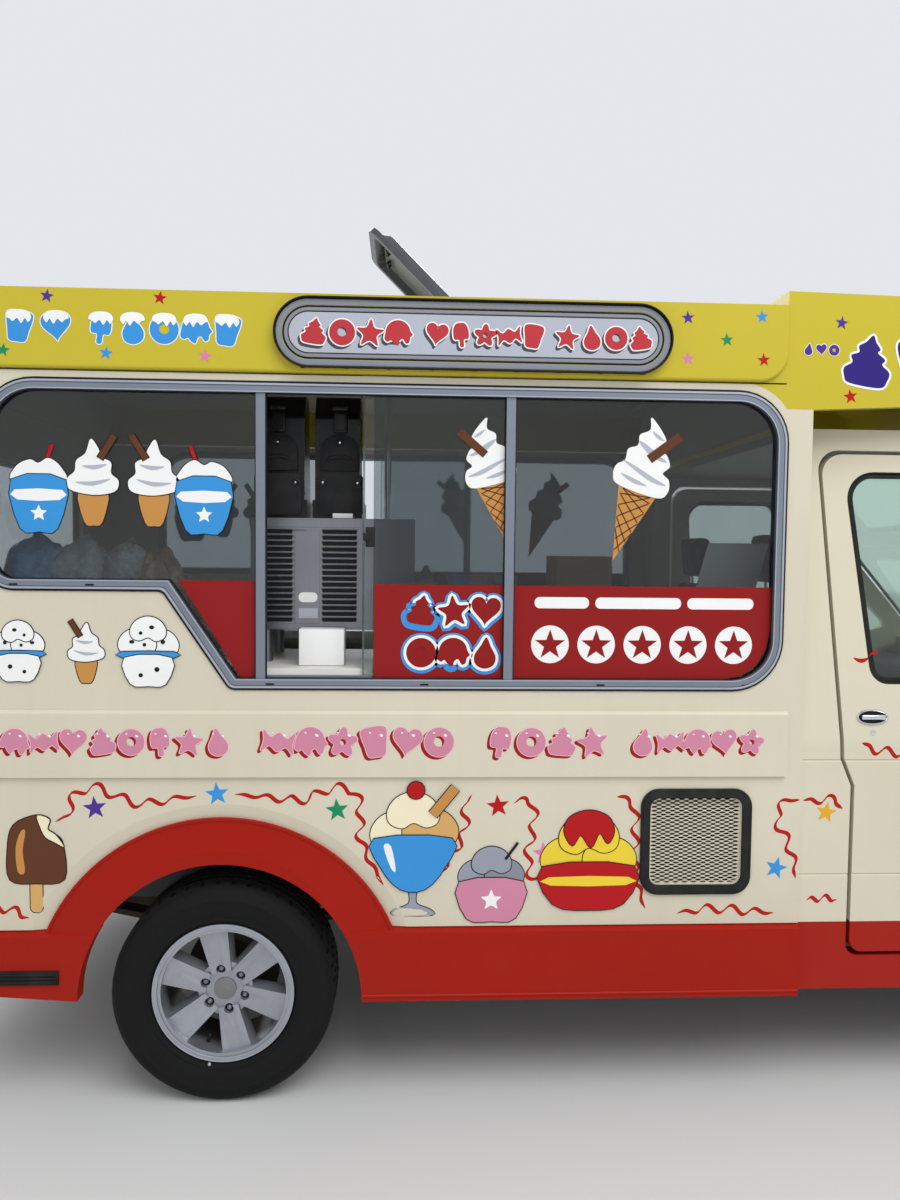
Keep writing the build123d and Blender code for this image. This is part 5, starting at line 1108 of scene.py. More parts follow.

# %% [markdown]
# ## Window trim
# The aluminium frame sits in a rubber gasket, has a dark line of painted shade run along it where its
# groove is, and holds the panes with a black inner seal. All of these follow the same six-cornered outline,
# offset inwards or outwards. Small drain slots along its level bars are black film: painted shade where
# their hollows are.

# %% Gaskets, and painted shade in the groove and drains
WINDOW_CORNERS = [(-700, 2236), (1735, 2236), (1735, 1316), (30, 1316), (-170, 1614), (-700, 1614)]
WINDOW_PULLS = [(1, -1), (-1, -1), (-1, 1), (0.6, 1), (0.6, 1), (1, 1)]
WINDOW_ROUNDS = [155, 155, 155, 30, 30, 90]
PANE_LOW, PANE_HIGH = 1.345, 2.207


def window_line(inset):
    """The window frame's outline, moved inwards."""
    points = [(x + px * inset, z + pz * inset) for (x, z), (px, pz) in zip(WINDOW_CORNERS, WINDOW_PULLS)]
    return corner_line(points, [max(2.0, r - inset * 0.99) for r in WINDOW_ROUNDS], 9)


WINDOW_BANDS = [
    # name, outer inset, inner inset, face, depth, bevel, finish
    ("window_frame_lip", 1.0, 6.5, FRAME_FACE, 0.0012, 0.0005, bright_frame),
    # painted shade: the groove is a dark strip of film, with no cut under it
    ("window_frame_groove", 7.5, 9.3, FRAME_FACE, 0.0003, 0, FILM["shadow"]),
    ("window_inner_seal", 26.0, 31.5, 0.9745, 0.0020, 0, seal_rubber),
    ("window_inner_edge", 24.4, 27.5, 0.9885, 0.0030, 0.0006, bright_frame),
]
pair(side_bead("window_outer_gasket", window_line(-2.5), 0.9868, 0.0042), seal_rubber)
for name, outer, inner, face, depth, bevel, finish in WINDOW_BANDS:
    band = side_sheet(name, [window_line(outer), window_line(inner)], face, depth)
    pair(soft_edges(band, bevel, 1) if bevel else band, finish)
seals = [box(f"seal_{x}", (ahead(x - 1.8), -0.983, PANE_LOW), (ahead(x + 1.8), -0.967, PANE_HIGH), 0.0006, 1)
         for x in (105.5, 136.5, 862.5, 893.5)]
pair(join("divider_seals", seals), seal_rubber)
DRAINS = [(-415, 2234), (1520, 2232), (-386, 1627), (-610, 1627), (150, 1329), (620, 1329), (1166, 1329),
          (1624, 1329)]
# Painted shade: each drain slot is a black strip on the frame's face, where its hollow would be dark.
stick("drain_slots", "black", [[rounded(x - 13, z - 2.6, x + 13, z + 2.6, 2.4, 4)] for x, z in DRAINS],
      flat(FRAME_FACE), 1)
print("drain slots cut:", len(DRAINS))

# %% Sliding pane's edge and latch
slider = box("slider_edge", (ahead(427.5), -0.9565, PANE_LOW), (ahead(433.5), -0.9485, PANE_HIGH), 0.001, 1)
pair(slider, pale_edge)
latch = [
    box("latch_plate", (ahead(437), -0.9735, 1.749), (ahead(466), -0.969, 1.810), 0.003),
    box("latch_grip", (ahead(430), -0.98, 1.768), (ahead(448), -0.969, 1.792), 0.003),
    box("latch_foot", (ahead(440), -0.97, 1.757), (ahead(463), -0.9545, 1.802), 0.001),
]
pair(join("slider_latch", latch), black_trim)
pair(box("slider_rail", (ahead(136), -0.96, 1.3445), (ahead(863), -0.947, 1.352), 0.001, 1), frame_metal)
print("slider pieces made: 3 for each side")

# %% Gasket of the rear window
REAR_FACE = ahead(-985)


def rear_bead(name, line, out, radius):
    """Bead on the rear face along an outline in millimetres (to the left, height)."""
    return bead(name, [(REAR_FACE - out, y / 1000, z / 1000) for y, z in line], radius)


rear_line = rounded(-560, 1500, 560, 2060, 90, 9)
ride(rear_bead("rear_window_gasket", rear_line, 0.002, 0.010), seal_rubber)
rear_inside = rounded(-545, 1515, 545, 2045, 76, 9)
rear_seal = cross_sheet("rear_window_seal", [rear_line, rear_inside], REAR_FACE + 0.012, 0.010, front=False)
ride(rear_seal, seal_rubber)
print("rear window gasket made")

# %% [markdown]
# ## Rows of puffy sweets
# The belt band, the raised sign and the rear of the fascia carry rows of fat rounded shapes: sweets,
# ices, hearts and stars. Each is stuck on in layers: shadow first, then rim, colour and glints.

# %% Rows with a drop shadow
def row_places(start, end, names, z, height):
    """Even places for a row of shapes between two distances."""
    pitch = (end - start) / len(names)
    return [(start + pitch * (k + 0.5), z, min(height, pitch * 0.98), name) for k, name in enumerate(names)]


def puffy_row(name, places, surface, films, rim, drop, lift=0, halo=0.0):
    """Layers of one row; films are shadow, rim, colour and glint, and None leaves a layer out."""
    layers = [[], [], [], []]
    for k, (x, z, size, shape) in enumerate(places):
        turn = (-8, 6, -4, 9)[k % 4]
        outlines = [moved(line, x, z, size, turn) for line in SHAPES[shape]]
        layers[0].append([moved(grown(line, rim + halo), *drop) for line in outlines])
        layers[1].append([grown(line, rim) for line in outlines])
        layers[2].append(outlines)
        layers[3].append([moved(disc(0, 0, size * 0.06, 0.7, 14), x + size * 0.2, z + size * 0.22, 1.0, -30)])
        layers[3].append([moved(disc(0, 0, size * 0.036, 0.7, 12), x - size * 0.16, z + size * 0.3)])
    for level, layer in enumerate(("shadow", "rim", "colour", "glint")):
        if films[level]:
            stick(f"{name}_{layer}", films[level], layers[level], surface, lift + level)


BELT_ROWS = [
    (-925, -672, ["ring", "swirl", "heart"]),
    (-653, 37, ["scoop", "sweet", "heart", "swirl", "ring", "lolly", "star", "drop"]),
    (127, 716, ["sweet", "scoop", "flower", "cup", "heart", "ring"]),
    (809, 1192, ["lolly", "ring", "swirl", "star"]),
    (1261, 1688, ["drop", "sweet", "scoop", "heart", "flower"]),
]
for k, (start, end, names) in enumerate(BELT_ROWS):
    puffy_row(f"belt_row_{k + 1}", row_places(start, end, names, 1152, 104), flat(BELT_FACE),
              ("dark_red", "blush", "puffy_pink", "white"), 2.4, (-9, -7))
SIGN_ROWS = [
    (242, 574, ["swirl", "ring", "star", "scoop"]),
    (612, 973, ["heart", "lolly", "flower", "sweet", "cup"]),
    (1003, 1300, ["star", "drop", "ring", "swirl"]),
]
for k, (start, end, names) in enumerate(SIGN_ROWS):
    puffy_row(f"sign_row_{k + 1}", row_places(start, end, names, 2384, 84), flat(SIGN_FACE + 0.0003),
              ("shadow", "white", "letter_red", None), 4.0, (-6, -8))
print("rows of sweets:", len(BELT_ROWS) + len(SIGN_ROWS))

# %% Blue shapes with snow on top
COLD_ROWS = [(-860, -660, ["ring", "drop", "lolly"]), (-633, -417, ["cup", "heart"]),
             (-388, 72, ["lolly", "drop", "ring", "scoop", "cup"])]
SNOW_CAP = smooth([(-0.4, 0.3), (-0.3, 0.48), (0.0, 0.54), (0.3, 0.48), (0.4, 0.3), (0.3, 0.14), (0.2, 0.26),
                   (0.08, 0.1), (-0.04, 0.26), (-0.18, 0.16), (-0.28, 0.24)], 4)
for k, (start, end, names) in enumerate(COLD_ROWS):
    places = row_places(start, end, names, 2384, 92)
    puffy_row(f"cold_row_{k + 1}", places, flat(BOARD_FACE), (None, "white", "sky", None), 3.0, (0, 0))
    caps = [[moved(SNOW_CAP, x, z, size, 0, (-1.0) ** j)] for j, (x, z, size, shape) in enumerate(places)]
    stick(f"cold_caps_{k + 1}", "white", caps, flat(BOARD_FACE), 3)
print("rows of cold shapes:", len(COLD_ROWS))

# %% [markdown]
# ## Pictures of ices
# The sides and windows also carry larger pictures: a sundae, a lolly, a tub of scoops. They are
# drawn in a unit square and share one recipe: a dark outline is the same shape, grown a little, one
# layer under the coloured one.

# %% Picture recipe
DARK_EDGE = 3.0


def picture(name, x, z, size, parts, surface, mirror):
    """Coloured outlines about a centre; each part is (film, outline, has a dark edge)."""
    layers = []
    for film, line, edged in parts:
        placed = moved(line, x, z, size, 0.0, mirror)
        for tint, shape in ([("black", grown(placed, DARK_EDGE))] if edged else []) + [(film, placed)]:
            if layers and layers[-1][0] == tint:
                layers[-1][1].append([shape])
            else:
                layers.append((tint, [[shape]]))
    for layer, (film, group) in enumerate(layers):
        stick(f"{name}_{layer + 1}_{film}", film, group, surface, layer)


def stroke(x0, z0, x1, z1, width):
    """A thin straight stroke."""
    length = hypot(x1 - x0, z1 - z0)
    nx, nz = -(z1 - z0) / length * width / 2, (x1 - x0) / length * width / 2
    return [(x0 + nx, z0 + nz), (x0 - nx, z0 - nz), (x1 - nx, z1 - nz), (x1 + nx, z1 + nz)]


SCOOP = smooth([(-0.26, 0.0), (-0.28, 0.14), (-0.18, 0.28), (0.0, 0.34), (0.18, 0.28), (0.28, 0.14),
                (0.26, 0.0), (0.14, -0.05), (0.0, 0.0), (-0.12, -0.06)], 4)
TOPPING_STAR = smooth(star(0, 0, 1.0, waist=0.5), 3)
SUNDAE = [
    ("grey", smooth([(-0.16, -0.5), (0.16, -0.5), (0.14, -0.45), (0.03, -0.4), (0.03, -0.28), (-0.03, -0.28),
                     (-0.03, -0.4), (-0.14, -0.45)], 3), True),
    ("vanilla", moved(SCOOP, -0.12, 0.1, 0.8), True),
    ("tan", moved(SCOOP, 0.14, 0.12, 0.8), True),
    ("vanilla", moved(SCOOP, 0.0, 0.27, 0.75), True),
    ("sky", smooth([(-0.32, 0.14), (0.32, 0.14), (0.26, -0.1), (0.1, -0.28), (-0.1, -0.28),
                    (-0.26, -0.1)], 3), True),
    ("white", smooth([(-0.24, 0.08), (-0.18, 0.08), (-0.14, -0.12), (-0.18, -0.1)], 3), False),
    ("red", disc(0.02, 0.54, 0.07, steps=20), True),
    ("wafer", stroke(0.16, 0.34, 0.34, 0.56, 0.08), True),
]
CHOC_LOLLY = [
    ("tan", rounded(-0.06, -0.5, 0.06, -0.12, 0.05, 4), True),
    ("brown", smooth([(-0.26, -0.16), (-0.28, 0.16), (-0.22, 0.4), (0.0, 0.5), (0.14, 0.46), (0.12, 0.36),
                      (0.2, 0.3), (0.27, 0.2), (0.28, -0.16), (0.0, -0.2)], 4), True),
    ("wafer", smooth([(-0.18, -0.08), (-0.2, 0.16), (-0.15, 0.33), (-0.1, 0.34), (-0.13, 0.14),
                      (-0.11, -0.08)], 3), False),
    ("vanilla", smooth([(0.02, 0.5), (0.14, 0.46), (0.12, 0.36), (0.2, 0.3), (0.28, 0.18), (0.2, 0.22),
                        (0.1, 0.28), (0.05, 0.38)], 3), True),
]
BLUE_TUB = [
    ("grey", moved(SCOOP, -0.16, 0.02, 0.95), True),
    ("panel_grey", moved(SCOOP, 0.17, 0.04, 0.9), True),
    ("grey", moved(SCOOP, 0.0, 0.2, 0.9), True),
    ("puffy_pink", smooth([(-0.42, 0.04), (0.42, 0.04), (0.32, -0.44), (0.0, -0.48), (-0.32, -0.44)], 3),
     True),
    ("white", moved(TOPPING_STAR, 0.0, -0.2, 0.14), False),
    ("black", stroke(0.18, 0.34, 0.34, 0.56, 0.035), False),
]
YELLOW_BOMBE = [
    ("lemon", moved(SCOOP, -0.2, -0.06, 0.9), True),
    ("lemon", moved(SCOOP, 0.2, -0.06, 0.9), True),
    ("lemon", moved(SCOOP, 0.0, 0.14, 1.0), True),
    ("red", smooth([(-0.24, 0.3), (-0.18, 0.44), (0.0, 0.5), (0.18, 0.44), (0.24, 0.3), (0.18, 0.18),
                    (0.1, 0.28), (0.02, 0.14), (-0.08, 0.26), (-0.16, 0.16)], 4), True),
    ("red", smooth([(-0.44, -0.04), (0.44, -0.04), (0.34, -0.4), (0.0, -0.46), (-0.34, -0.4)], 3), True),
    ("lemon", smooth([(-0.38, -0.14), (0.38, -0.14), (0.36, -0.22), (-0.36, -0.22)], 2), False),
]
COOKIE_SCOOPS = [
    ("white", moved(SCOOP, -0.14, 0.0, 0.95), True),
    ("white", moved(SCOOP, 0.15, 0.02, 0.9), True),
    ("white", moved(SCOOP, 0.0, 0.2, 0.85), True),
    ("black", disc(-0.2, 0.14, 0.03, steps=12), False),
    ("black", disc(-0.05, 0.34, 0.035, 0.8, 12), False),
    ("black", disc(0.1, 0.26, 0.025, steps=12), False),
    ("black", disc(0.22, 0.14, 0.035, 0.7, 12), False),
    ("black", disc(0.05, 0.1, 0.025, steps=12), False),
    ("sky", smooth([(-0.36, 0.0), (0.36, 0.0), (0.34, -0.08), (-0.34, -0.08)], 2), True),
    ("white", smooth([(-0.32, -0.08), (0.32, -0.08), (0.24, -0.44), (0.0, -0.47), (-0.24, -0.44)], 3), True),
    ("black", disc(-0.12, -0.24, 0.035, steps=12), False),
    ("black", disc(0.1, -0.32, 0.03, steps=12), False),
]
SLUSH_CUP = [
    ("red", stroke(0.05, 0.24, 0.16, 0.56, 0.045), True),
    ("white", smooth([(-0.3, 0.12), (-0.26, 0.3), (-0.1, 0.38), (0.0, 0.34), (0.12, 0.4), (0.26, 0.3),
                      (0.3, 0.12)], 4), True),
    ("sky", smooth([(-0.32, 0.14), (0.32, 0.14), (0.22, -0.44), (0.0, -0.48), (-0.22, -0.44)], 3), True),
    ("white", smooth([(-0.28, 0.02), (0.28, 0.02), (0.25, -0.1), (-0.25, -0.1)], 2), False),
    ("white", moved(TOPPING_STAR, 0.0, -0.26, 0.1), False),
]
WINDOW_SWIRL = [
    ("wafer", smooth([(-0.16, -0.1), (0.16, -0.1), (0.1, -0.46), (0.0, -0.5), (-0.1, -0.46)], 3), True),
    ("white", smooth([(-0.26, -0.1), (-0.28, 0.02), (-0.2, 0.1), (-0.18, 0.22), (-0.08, 0.3), (-0.02, 0.46),
                      (0.06, 0.36), (0.1, 0.26), (0.2, 0.2), (0.2, 0.08), (0.28, 0.0), (0.24, -0.12),
                      (0.0, -0.16)], 4), True),
    ("pale_grey", smooth([(-0.2, -0.02), (0.0, -0.06), (0.2, 0.02), (0.0, -0.01)], 3), False),
    ("pale_grey", smooth([(-0.12, 0.16), (0.02, 0.12), (0.16, 0.18), (0.02, 0.17)], 3), False),
    ("brown", stroke(0.08, 0.24, 0.24, 0.5, 0.07), True),
]
PICTURES = [
    # name, ahead, height, size, parts, surface, mirrored
    ("choc_lolly", -556, 775, 300, CHOC_LOLLY, body_surface, 1.0),
    ("sundae", 590, 795, 380, SUNDAE, body_surface, 1.0),
    ("blue_tub", 835, 700, 240, BLUE_TUB, body_surface, 1.0),
    ("yellow_bombe", 1140, 770, 330, YELLOW_BOMBE, body_surface, 1.0),
    ("rear_lolly", -800, 700, 250, CHOC_LOLLY, body_surface, -1.0),
    ("spotted_tub", -600, 1425, 190, COOKIE_SCOOPS, body_surface, 1.0),
    ("spotted_swirl", -400, 1425, 190, WINDOW_SWIRL, body_surface, -1.0),
    ("spotted_scoops", -215, 1425, 220, COOKIE_SCOOPS, body_surface, -1.0),
    ("rear_spotted", -840, 1425, 190, WINDOW_SWIRL, body_surface, 1.0),
    ("slush_cup_rear", -540, 1905, 250, SLUSH_CUP, flat(GLASS_FACE), 1.0),
    ("slush_swirl_rear", -380, 1940, 270, WINDOW_SWIRL, flat(GLASS_FACE), 1.0),
    ("slush_swirl_front", -200, 1940, 270, WINDOW_SWIRL, flat(GLASS_FACE), -1.0),
    ("slush_cup_front", -50, 1905, 250, SLUSH_CUP, flat(GLASS_FACE), -1.0),
]
for row in PICTURES:
    picture(*row)
print("pictures of ices:", len(PICTURES))

# %% [markdown]
# ## Cones on the serving window
# Two large cones lean apart on the panes: a waffle cone, a tall swirl of soft ice and a flake.
# The swirl is three fat turns with grey folds between them, and the wafer has a darker lattice.

# %% Leaning cones
CONE_HEIGHT, WAFER_HALF, WAFER_HEIGHT, LATTICE_WIDTH = 400, 50, 186, 3.2
WAFER = [(0, 0), (-50, 186), (-54, 204), (54, 204), (50, 186)]
SOFT_ICE = smooth([(-56, 200), (-80, 224), (-72, 256), (-50, 268), (-62, 292), (-44, 318), (-30, 322),
                   (-32, 350), (-8, 376), (30, 400), (22, 368), (44, 346), (40, 318), (62, 300), (60, 270),
                   (78, 250), (78, 222), (54, 200)], 4)
FOLDS = [
    smooth([(-70, 240), (-30, 236), (20, 250), (66, 268), (24, 262), (-26, 250)], 3),
    smooth([(-52, 300), (-16, 298), (18, 312), (42, 330), (14, 326), (-20, 312)], 3),
    smooth([(-20, 222), (20, 218), (60, 232), (22, 230)], 3),
    smooth([(-24, 352), (-4, 352), (16, 366), (-4, 362)], 3),
]
FLAKE = stroke(-2, 292, -62, 378, 25)
LATTICE = []
for low in range(30, 181, 30):
    half = WAFER_HALF * low / WAFER_HEIGHT
    reach, high = min(WAFER_HALF, half + 22) * 0.8, min(196, low + 58)
    LATTICE.append(stroke(-half * 0.9, low, reach, high, LATTICE_WIDTH))
    LATTICE.append(stroke(half * 0.9, low, -reach, high, LATTICE_WIDTH))
CONE_LAYERS = [("wafer", [WAFER]), ("brown", LATTICE), ("white", [SOFT_ICE]), ("pale_grey", FOLDS),
               ("brown", [FLAKE])]


def waffle_cone(name, x, z, height, lean, mirror):
    """Cone by its tip; it is drawn upright and then leaned over."""
    for layer, (film, lines) in enumerate(CONE_LAYERS):
        group = [[moved(line, x, z, height / CONE_HEIGHT, lean, mirror)] for line in lines]
        stick(f"{name}_{layer + 1}_{film}", film, group, flat(GLASS_FACE), layer)


waffle_cone("cone_rearward", 879, 1752, 402, 14.9, 1.0)
waffle_cone("cone_forward", 1201, 1713, 457, -18.6, -1.0)
print("cones on the panes: 2")

# %% [markdown]
# ## Red boards behind the serving window
# The lower part of the panes is covered by red film, with five stars on white discs at the front.

# %% Red film on the panes
RED_FRONT = [(893, 1345), (1560, 1345), (1618, 1357), (1664, 1390), (1694, 1440), (1706, 1500), (1706, 1635),
             (893, 1635)]
RED_REAR = [(-128, 1642), (106, 1642), (106, 1345), (58, 1345)]
stick("window_red_front", "window_red", [[RED_FRONT]], flat(GLASS_FACE))
stick("window_red_middle", "window_red", [[rounded(464, 1345, 863, 1635, 4, 2)]], flat(GLASS_FACE))
stick("window_red_rear", "window_red", [[RED_REAR]], flat(GLASS_FACE))
DISC_PLACES = [1010 + 145 * k for k in range(5)]
stick("window_discs", "white", [[disc(x, 1453, 59, steps=40)] for x in DISC_PLACES], flat(GLASS_FACE), 1)
stars = [[star(x, 1451, 49, waist=0.4)] for x in DISC_PLACES]
stick("window_disc_stars", "window_red", stars, flat(GLASS_FACE), 2)
bars = [[rounded(x0, 1565, x1, 1600, 16)] for x0, x1 in ((960, 1130), (1150, 1420), (1440, 1650))]
stick("window_bars", "white", bars, flat(GLASS_FACE), 1)
MIDDLE_ROWS = [("high", ["swirl", "star", "heart"], 1554, 108), ("low", ["ring", "scoop", "drop"], 1425, 104)]
for name, names, z, height in MIDDLE_ROWS:
    puffy_row(f"middle_row_{name}", row_places(560, 858, names, z, height), flat(GLASS_FACE),
              ("sky", "white", "window_red", None), 9.0, (0, -2), lift=1, halo=8.0)
print("discs with stars:", len(DISC_PLACES))

# %% Large shapes on the pod
puffy_row("pod_shapes", row_places(1905, 2425, ["swirl", "cup", "heart"], 2338, 196), pod_surface,
          (None, "white", "navy", None), 7.0, (0, 0))
puffy_row("pod_row", row_places(1776, 1900, ["drop", "heart", "ring"], 2372, 36), pod_surface,
          (None, "white", "purple", None), 2.0, (0, 0))
print("shapes on the pod: 6")

# %% [markdown]
# ## Roof hatch
# The lid is a tray of dark grey acrylic that stands open. Its inner panel is paler, and two small
# pulls sit near the free edge. They are made in the closed lid, level, and are then turned up about
# the hinge by the lid's own angle.

# %% Hatch pieces
HINGE_X, HINGE_Z, LID_OPEN = ahead(730), 2.662, radians(44.5)
LID_MIDDLE, LID_SEAL_Z = HINGE_X - 0.218, 2.6805
LID_TURN = (Matrix.Translation((HINGE_X, 0, HINGE_Z)) @ Matrix.Rotation(LID_OPEN, 4, "Y")
            @ Matrix.Translation((-HINGE_X, 0, -HINGE_Z)))


def lid_piece(thing, finish):
    """Piece of the level lid, turned up with it."""
    thing.data.transform(LID_TURN)
    ride(thing, finish, "hatch_body")


low, high = (LID_MIDDLE - 0.176, -0.147, 2.6845), (LID_MIDDLE + 0.176, 0.147, 2.6880)
lid_piece(box("hatch_inner_panel", low, high, 0.0016), hatch_panel)
pulls = []
for y in (-0.075, 0.075):
    low, high = (LID_MIDDLE - 0.150, y - 0.034, 2.6660), (LID_MIDDLE - 0.138, y + 0.034, 2.6720)
    pulls.append(box("pull", low, high, 0.0025))
    for post in (y - 0.028, y + 0.028):
        low, high = (LID_MIDDLE - 0.149, post - 0.004, 2.6690), (LID_MIDDLE - 0.139, post + 0.004, 2.6850)
        pulls.append(box("post", low, high, 0.001, 1))
lid_piece(join("hatch_pulls", pulls), black_trim)
lid_edge = [(HINGE_X + x / 1000, y / 1000, LID_SEAL_Z) for x, y in rounded(-424, -176, -12, 176, 34)]
lid_piece(bead("hatch_edge_seal", lid_edge, 0.0032), seal_rubber)
print("hatch pieces made: 3")

# %% [markdown]
# ## Machines behind the serving window
# The open bay shows the backs of the machines. The slush units have moulded arched covers with
# three screws, a grip and two curved slots. The soft-serve machine carries a bare white sticker
# where its plate would be, and a bright seam runs along its top.

# %% Slush unit backs
SLUSH_FACE = 0.780
covers, slots, screws, grips = [], [], [], []
for x in (145, 345):
    arch = [*arc(x, 2055, 64, 0, 180, 15, 0.92), (x - 64, 1995), (x + 64, 1995)]
    covers.append(soft_edges(side_sheet("cover", [arch], SLUSH_FACE, 0.010), 0.003, 2))
    lower = side_sheet("lower", [rounded(x - 76, 1850, x + 76, 1986, 18)], SLUSH_FACE, 0.006)
    covers.append(soft_edges(lower, 0.003, 2))
    for radius, low in ((52, 2010), (48, 2022)):
        slots.append(side_bead("slot", arc(x, low, radius, 24, 156, 11, 24 / radius), 0.7905, 0.0016, False))
    for along, z, face in ((x, 2.085, 0.7905), (x - 55, 1.957, 0.7865), (x + 57, 1.956, 0.7865)):
        slots.append(hoop("cup", (ahead(along), -face, z), (0, 1, 0), 0.0098, 0.0022, 24, 8))
        ends = (ahead(along), -0.784, z), (ahead(along), -0.7935, z)
        screws.append(bar("screw", *ends, 0.0052, 18, 0.0034, 0.0008))
    grips += [
        box("grip", (ahead(x - 24), -0.7900, 2.117), (ahead(x + 24), -0.7720, 2.196), 0.006),
        box("grip_cap", (ahead(x - 27), -0.7930, 2.188), (ahead(x + 27), -0.7710, 2.211), 0.005),
        box("grip_slot", (ahead(x - 17), -0.7925, 2.124), (ahead(x + 17), -0.7890, 2.178), 0.0015, 1),
    ]
ride(join("slush_back_covers", covers), black_trim)
ride(join("slush_back_slots", slots), black_gloss)
ride(join("slush_back_screws", screws), chrome)
ride(join("slush_back_grips", grips), black_gloss)
print("slush unit backs dressed: 2")

# %% Soft-serve machine back
MACHINE_FACE, STICKER_FACE = 0.800, 0.8012
BACK_PANELS = [
    # outline, depth, bevel
    ((202, 1500, 282, 1800), 0.0012, 0.0004),
    ((66, 1812, 584, 1836), 0.0020, 0.0006),
    ((66, 1484, 584, 1500), 0.0020, 0.0006),
]
panels = [soft_edges(side_sheet("panel", [rounded(*outline, 3, 2)], MACHINE_FACE, depth), bevel, 1)
          for outline, depth, bevel in BACK_PANELS]
ride(join("machine_back_panels", panels), steel_sheet)
BLANKS = [
    # name, outline, corner radius, steps, face, depth, film
    ("machine_sticker_blank", (214, 1569, 275, 1601), 15, 6, STICKER_FACE, 0.0003, "white"),
    ("machine_plate_blank", (215, 1518, 276, 1550), 2, 2, STICKER_FACE, 0.0004, "pale_grey"),
    ("slush_plate_blank", (322, 1843, 387, 1858), 2, 2, 0.7862, 0.0004, "white"),
]
for name, outline, radius, steps, face, depth, film in BLANKS:
    ride(side_sheet(name, [rounded(*outline, radius, steps)], face, depth), FILM[film], smooth=0)
LOUVRES, LOUVRE_LOW, LOUVRE_PITCH = 16, 1510, 19
lips, gap_shades = [], []
for start, end in ((76, 196), (288, 404)):
    for z in range(LOUVRE_LOW, LOUVRE_LOW + LOUVRES * LOUVRE_PITCH, LOUVRE_PITCH):
        gap_shades.append(rounded(start + 3, z - 4.5, end - 3, z + 8.5, 2, 2))
        low, high = (ahead(start), -0.8040, (z + 9.2) / 1000), (ahead(end), -0.7940, (z + 11.5) / 1000)
        lips.append(box("lip", low, high, 0.0008, 1))
ride(join("machine_louvre_lips", lips), steel_sheet)
# Painted shade: the gaps between the louvre lips are black film, where the openings would be dark.
ride(side_sheet("machine_louvre_slots", gap_shades, MACHINE_FACE, 0.0006), FILM["black"], smooth=0)
print("louvre lips:", len(lips))

# %% [markdown]
# ## Things on the counter
# Behind the panes stand a white box, two sauce bottles, a carton, wrapped stock and a few cups.
# The bottles and cups are turned from a profile, and the wrapped stock is a lump in crumpled film:
# a sphere pushed about by noise.

# %% Turned goods, boxes and a lamp
COUNTER_Z, TURNED_SIDES, NEAR = 1.372, 26, 0.000001


def widened(corner, radius):
    corner.co.xy = corner.co.xy.normalized() * radius / 1000


def turned(name, x, y, z, profile):
    """Round body from (radius, height) pairs in millimetres."""
    (foot_radius, foot), (radius, height) = profile[:2]
    deselect()
    bpy.ops.mesh.primitive_cylinder_add(vertices=TURNED_SIDES, radius=1.0, depth=1.0, end_fill_type="NGON")
    thing = active(name)
    for corner in thing.data.vertices:
        low = corner.co.z < 0
        corner.co.z = (foot if low else height) / 1000
        widened(corner, foot_radius if low else radius)
    for radius, height in profile[2:]:
        top = max(corner.co.z for corner in thing.data.vertices)
        for face in thing.data.polygons:
            face.select = abs(face.center.z - top) < NEAR and len(face.vertices) == TURNED_SIDES
        bpy.ops.object.mode_set(mode="EDIT")
        bpy.ops.mesh.extrude_region_move(TRANSFORM_OT_translate={"value": (0, 0, 0.001)})
        bpy.ops.object.mode_set(mode="OBJECT")
        for corner in thing.data.vertices:
            if corner.co.z > top + 0.0005:
                corner.co.z = height / 1000
                widened(corner, radius)
    thing.data.transform(Matrix.Translation((x, y, z)))
    return thing


BOTTLE = [(34, 0), (39, 7), (39, 196), (38, 212), (35, 262), (25, 282)]
BOTTLE_CAP = [(27, 272), (29, 276), (28, 292), (15, 300), (8, 304), (5, 318)]
CUP = [(26, 0), (28, 3), (38, 92), (40, 94), (39, 96)]
BOTTLES, CUPS = (538, 628), {"sky": (742, 760), "puffy_pink": (800, 836), "pale_grey": (905,)}
bottles = [turned("bottle", ahead(x), -0.720, COUNTER_Z, BOTTLE) for x in BOTTLES]
caps = [turned("cap", ahead(x), -0.720, COUNTER_Z + 0.001, BOTTLE_CAP) for x in BOTTLES]
ride(join("sauce_bottles", bottles), FILM["tan"])
ride(join("sauce_bottle_caps", caps), FILM["red"])
for film, places in CUPS.items():
    stack = [turned("cup", ahead(x), -0.66 + 0.05 * k, COUNTER_Z + 0.19, CUP) for k, x in enumerate(places)]
    ride(join("paper_cups_" + film, stack), FILM[film])
GOODS = [
    # name, from and to (ahead), from and to (left), height, bevel, finish
    ("counter_tray", 716, 930, -0.780, -0.520, 0.188, 0.006, seal_rubber),
    ("white_box", 225, 368, -0.890, -0.815, 0.117, 0.004, FILM["white"]),
]
for name, x0, x1, y0, y1, height, bevel, finish in GOODS:
    ride(box(name, (ahead(x0), y0, COUNTER_Z + 0.001), (ahead(x1), y1, COUNTER_Z + height), bevel), finish)
low, high = (ahead(1064), -0.750, COUNTER_Z + 0.001), (ahead(1250), -0.520, COUNTER_Z + 0.355)
tape_low, tape_high = (ahead(1063), -0.7506, COUNTER_Z + 0.300), (ahead(1251), -0.7490, COUNTER_Z + 0.322)
carton = [box("carton", low, high, 0.003), box("tape", tape_low, tape_high, 0.0002, 1)]
ride(join("stock_carton", carton), carton_board)
pole_ends = (ahead(493), -0.440, COUNTER_Z - 0.002), (ahead(493), -0.440, 2.530)
ride(bar("counter_pole", *pole_ends, 0.0125, 28, bevel=0.001), chrome)
tube = bar("tube", (ahead(420), -0.30, 2.516), (ahead(1000), -0.30, 2.516), 0.013, 24, bevel=0.003)
lamp_tray = box("lamp_tray", (ahead(400), -0.325, 2.526), (ahead(1020), -0.275, 2.5455), 0.003)
ride(join("ceiling_tube_lamp", [tube, lamp_tray]), FILM["white"])
print("counter goods made")

# %% Wrapped stock and a leaning panel
WRAP_FOOT = 0.55


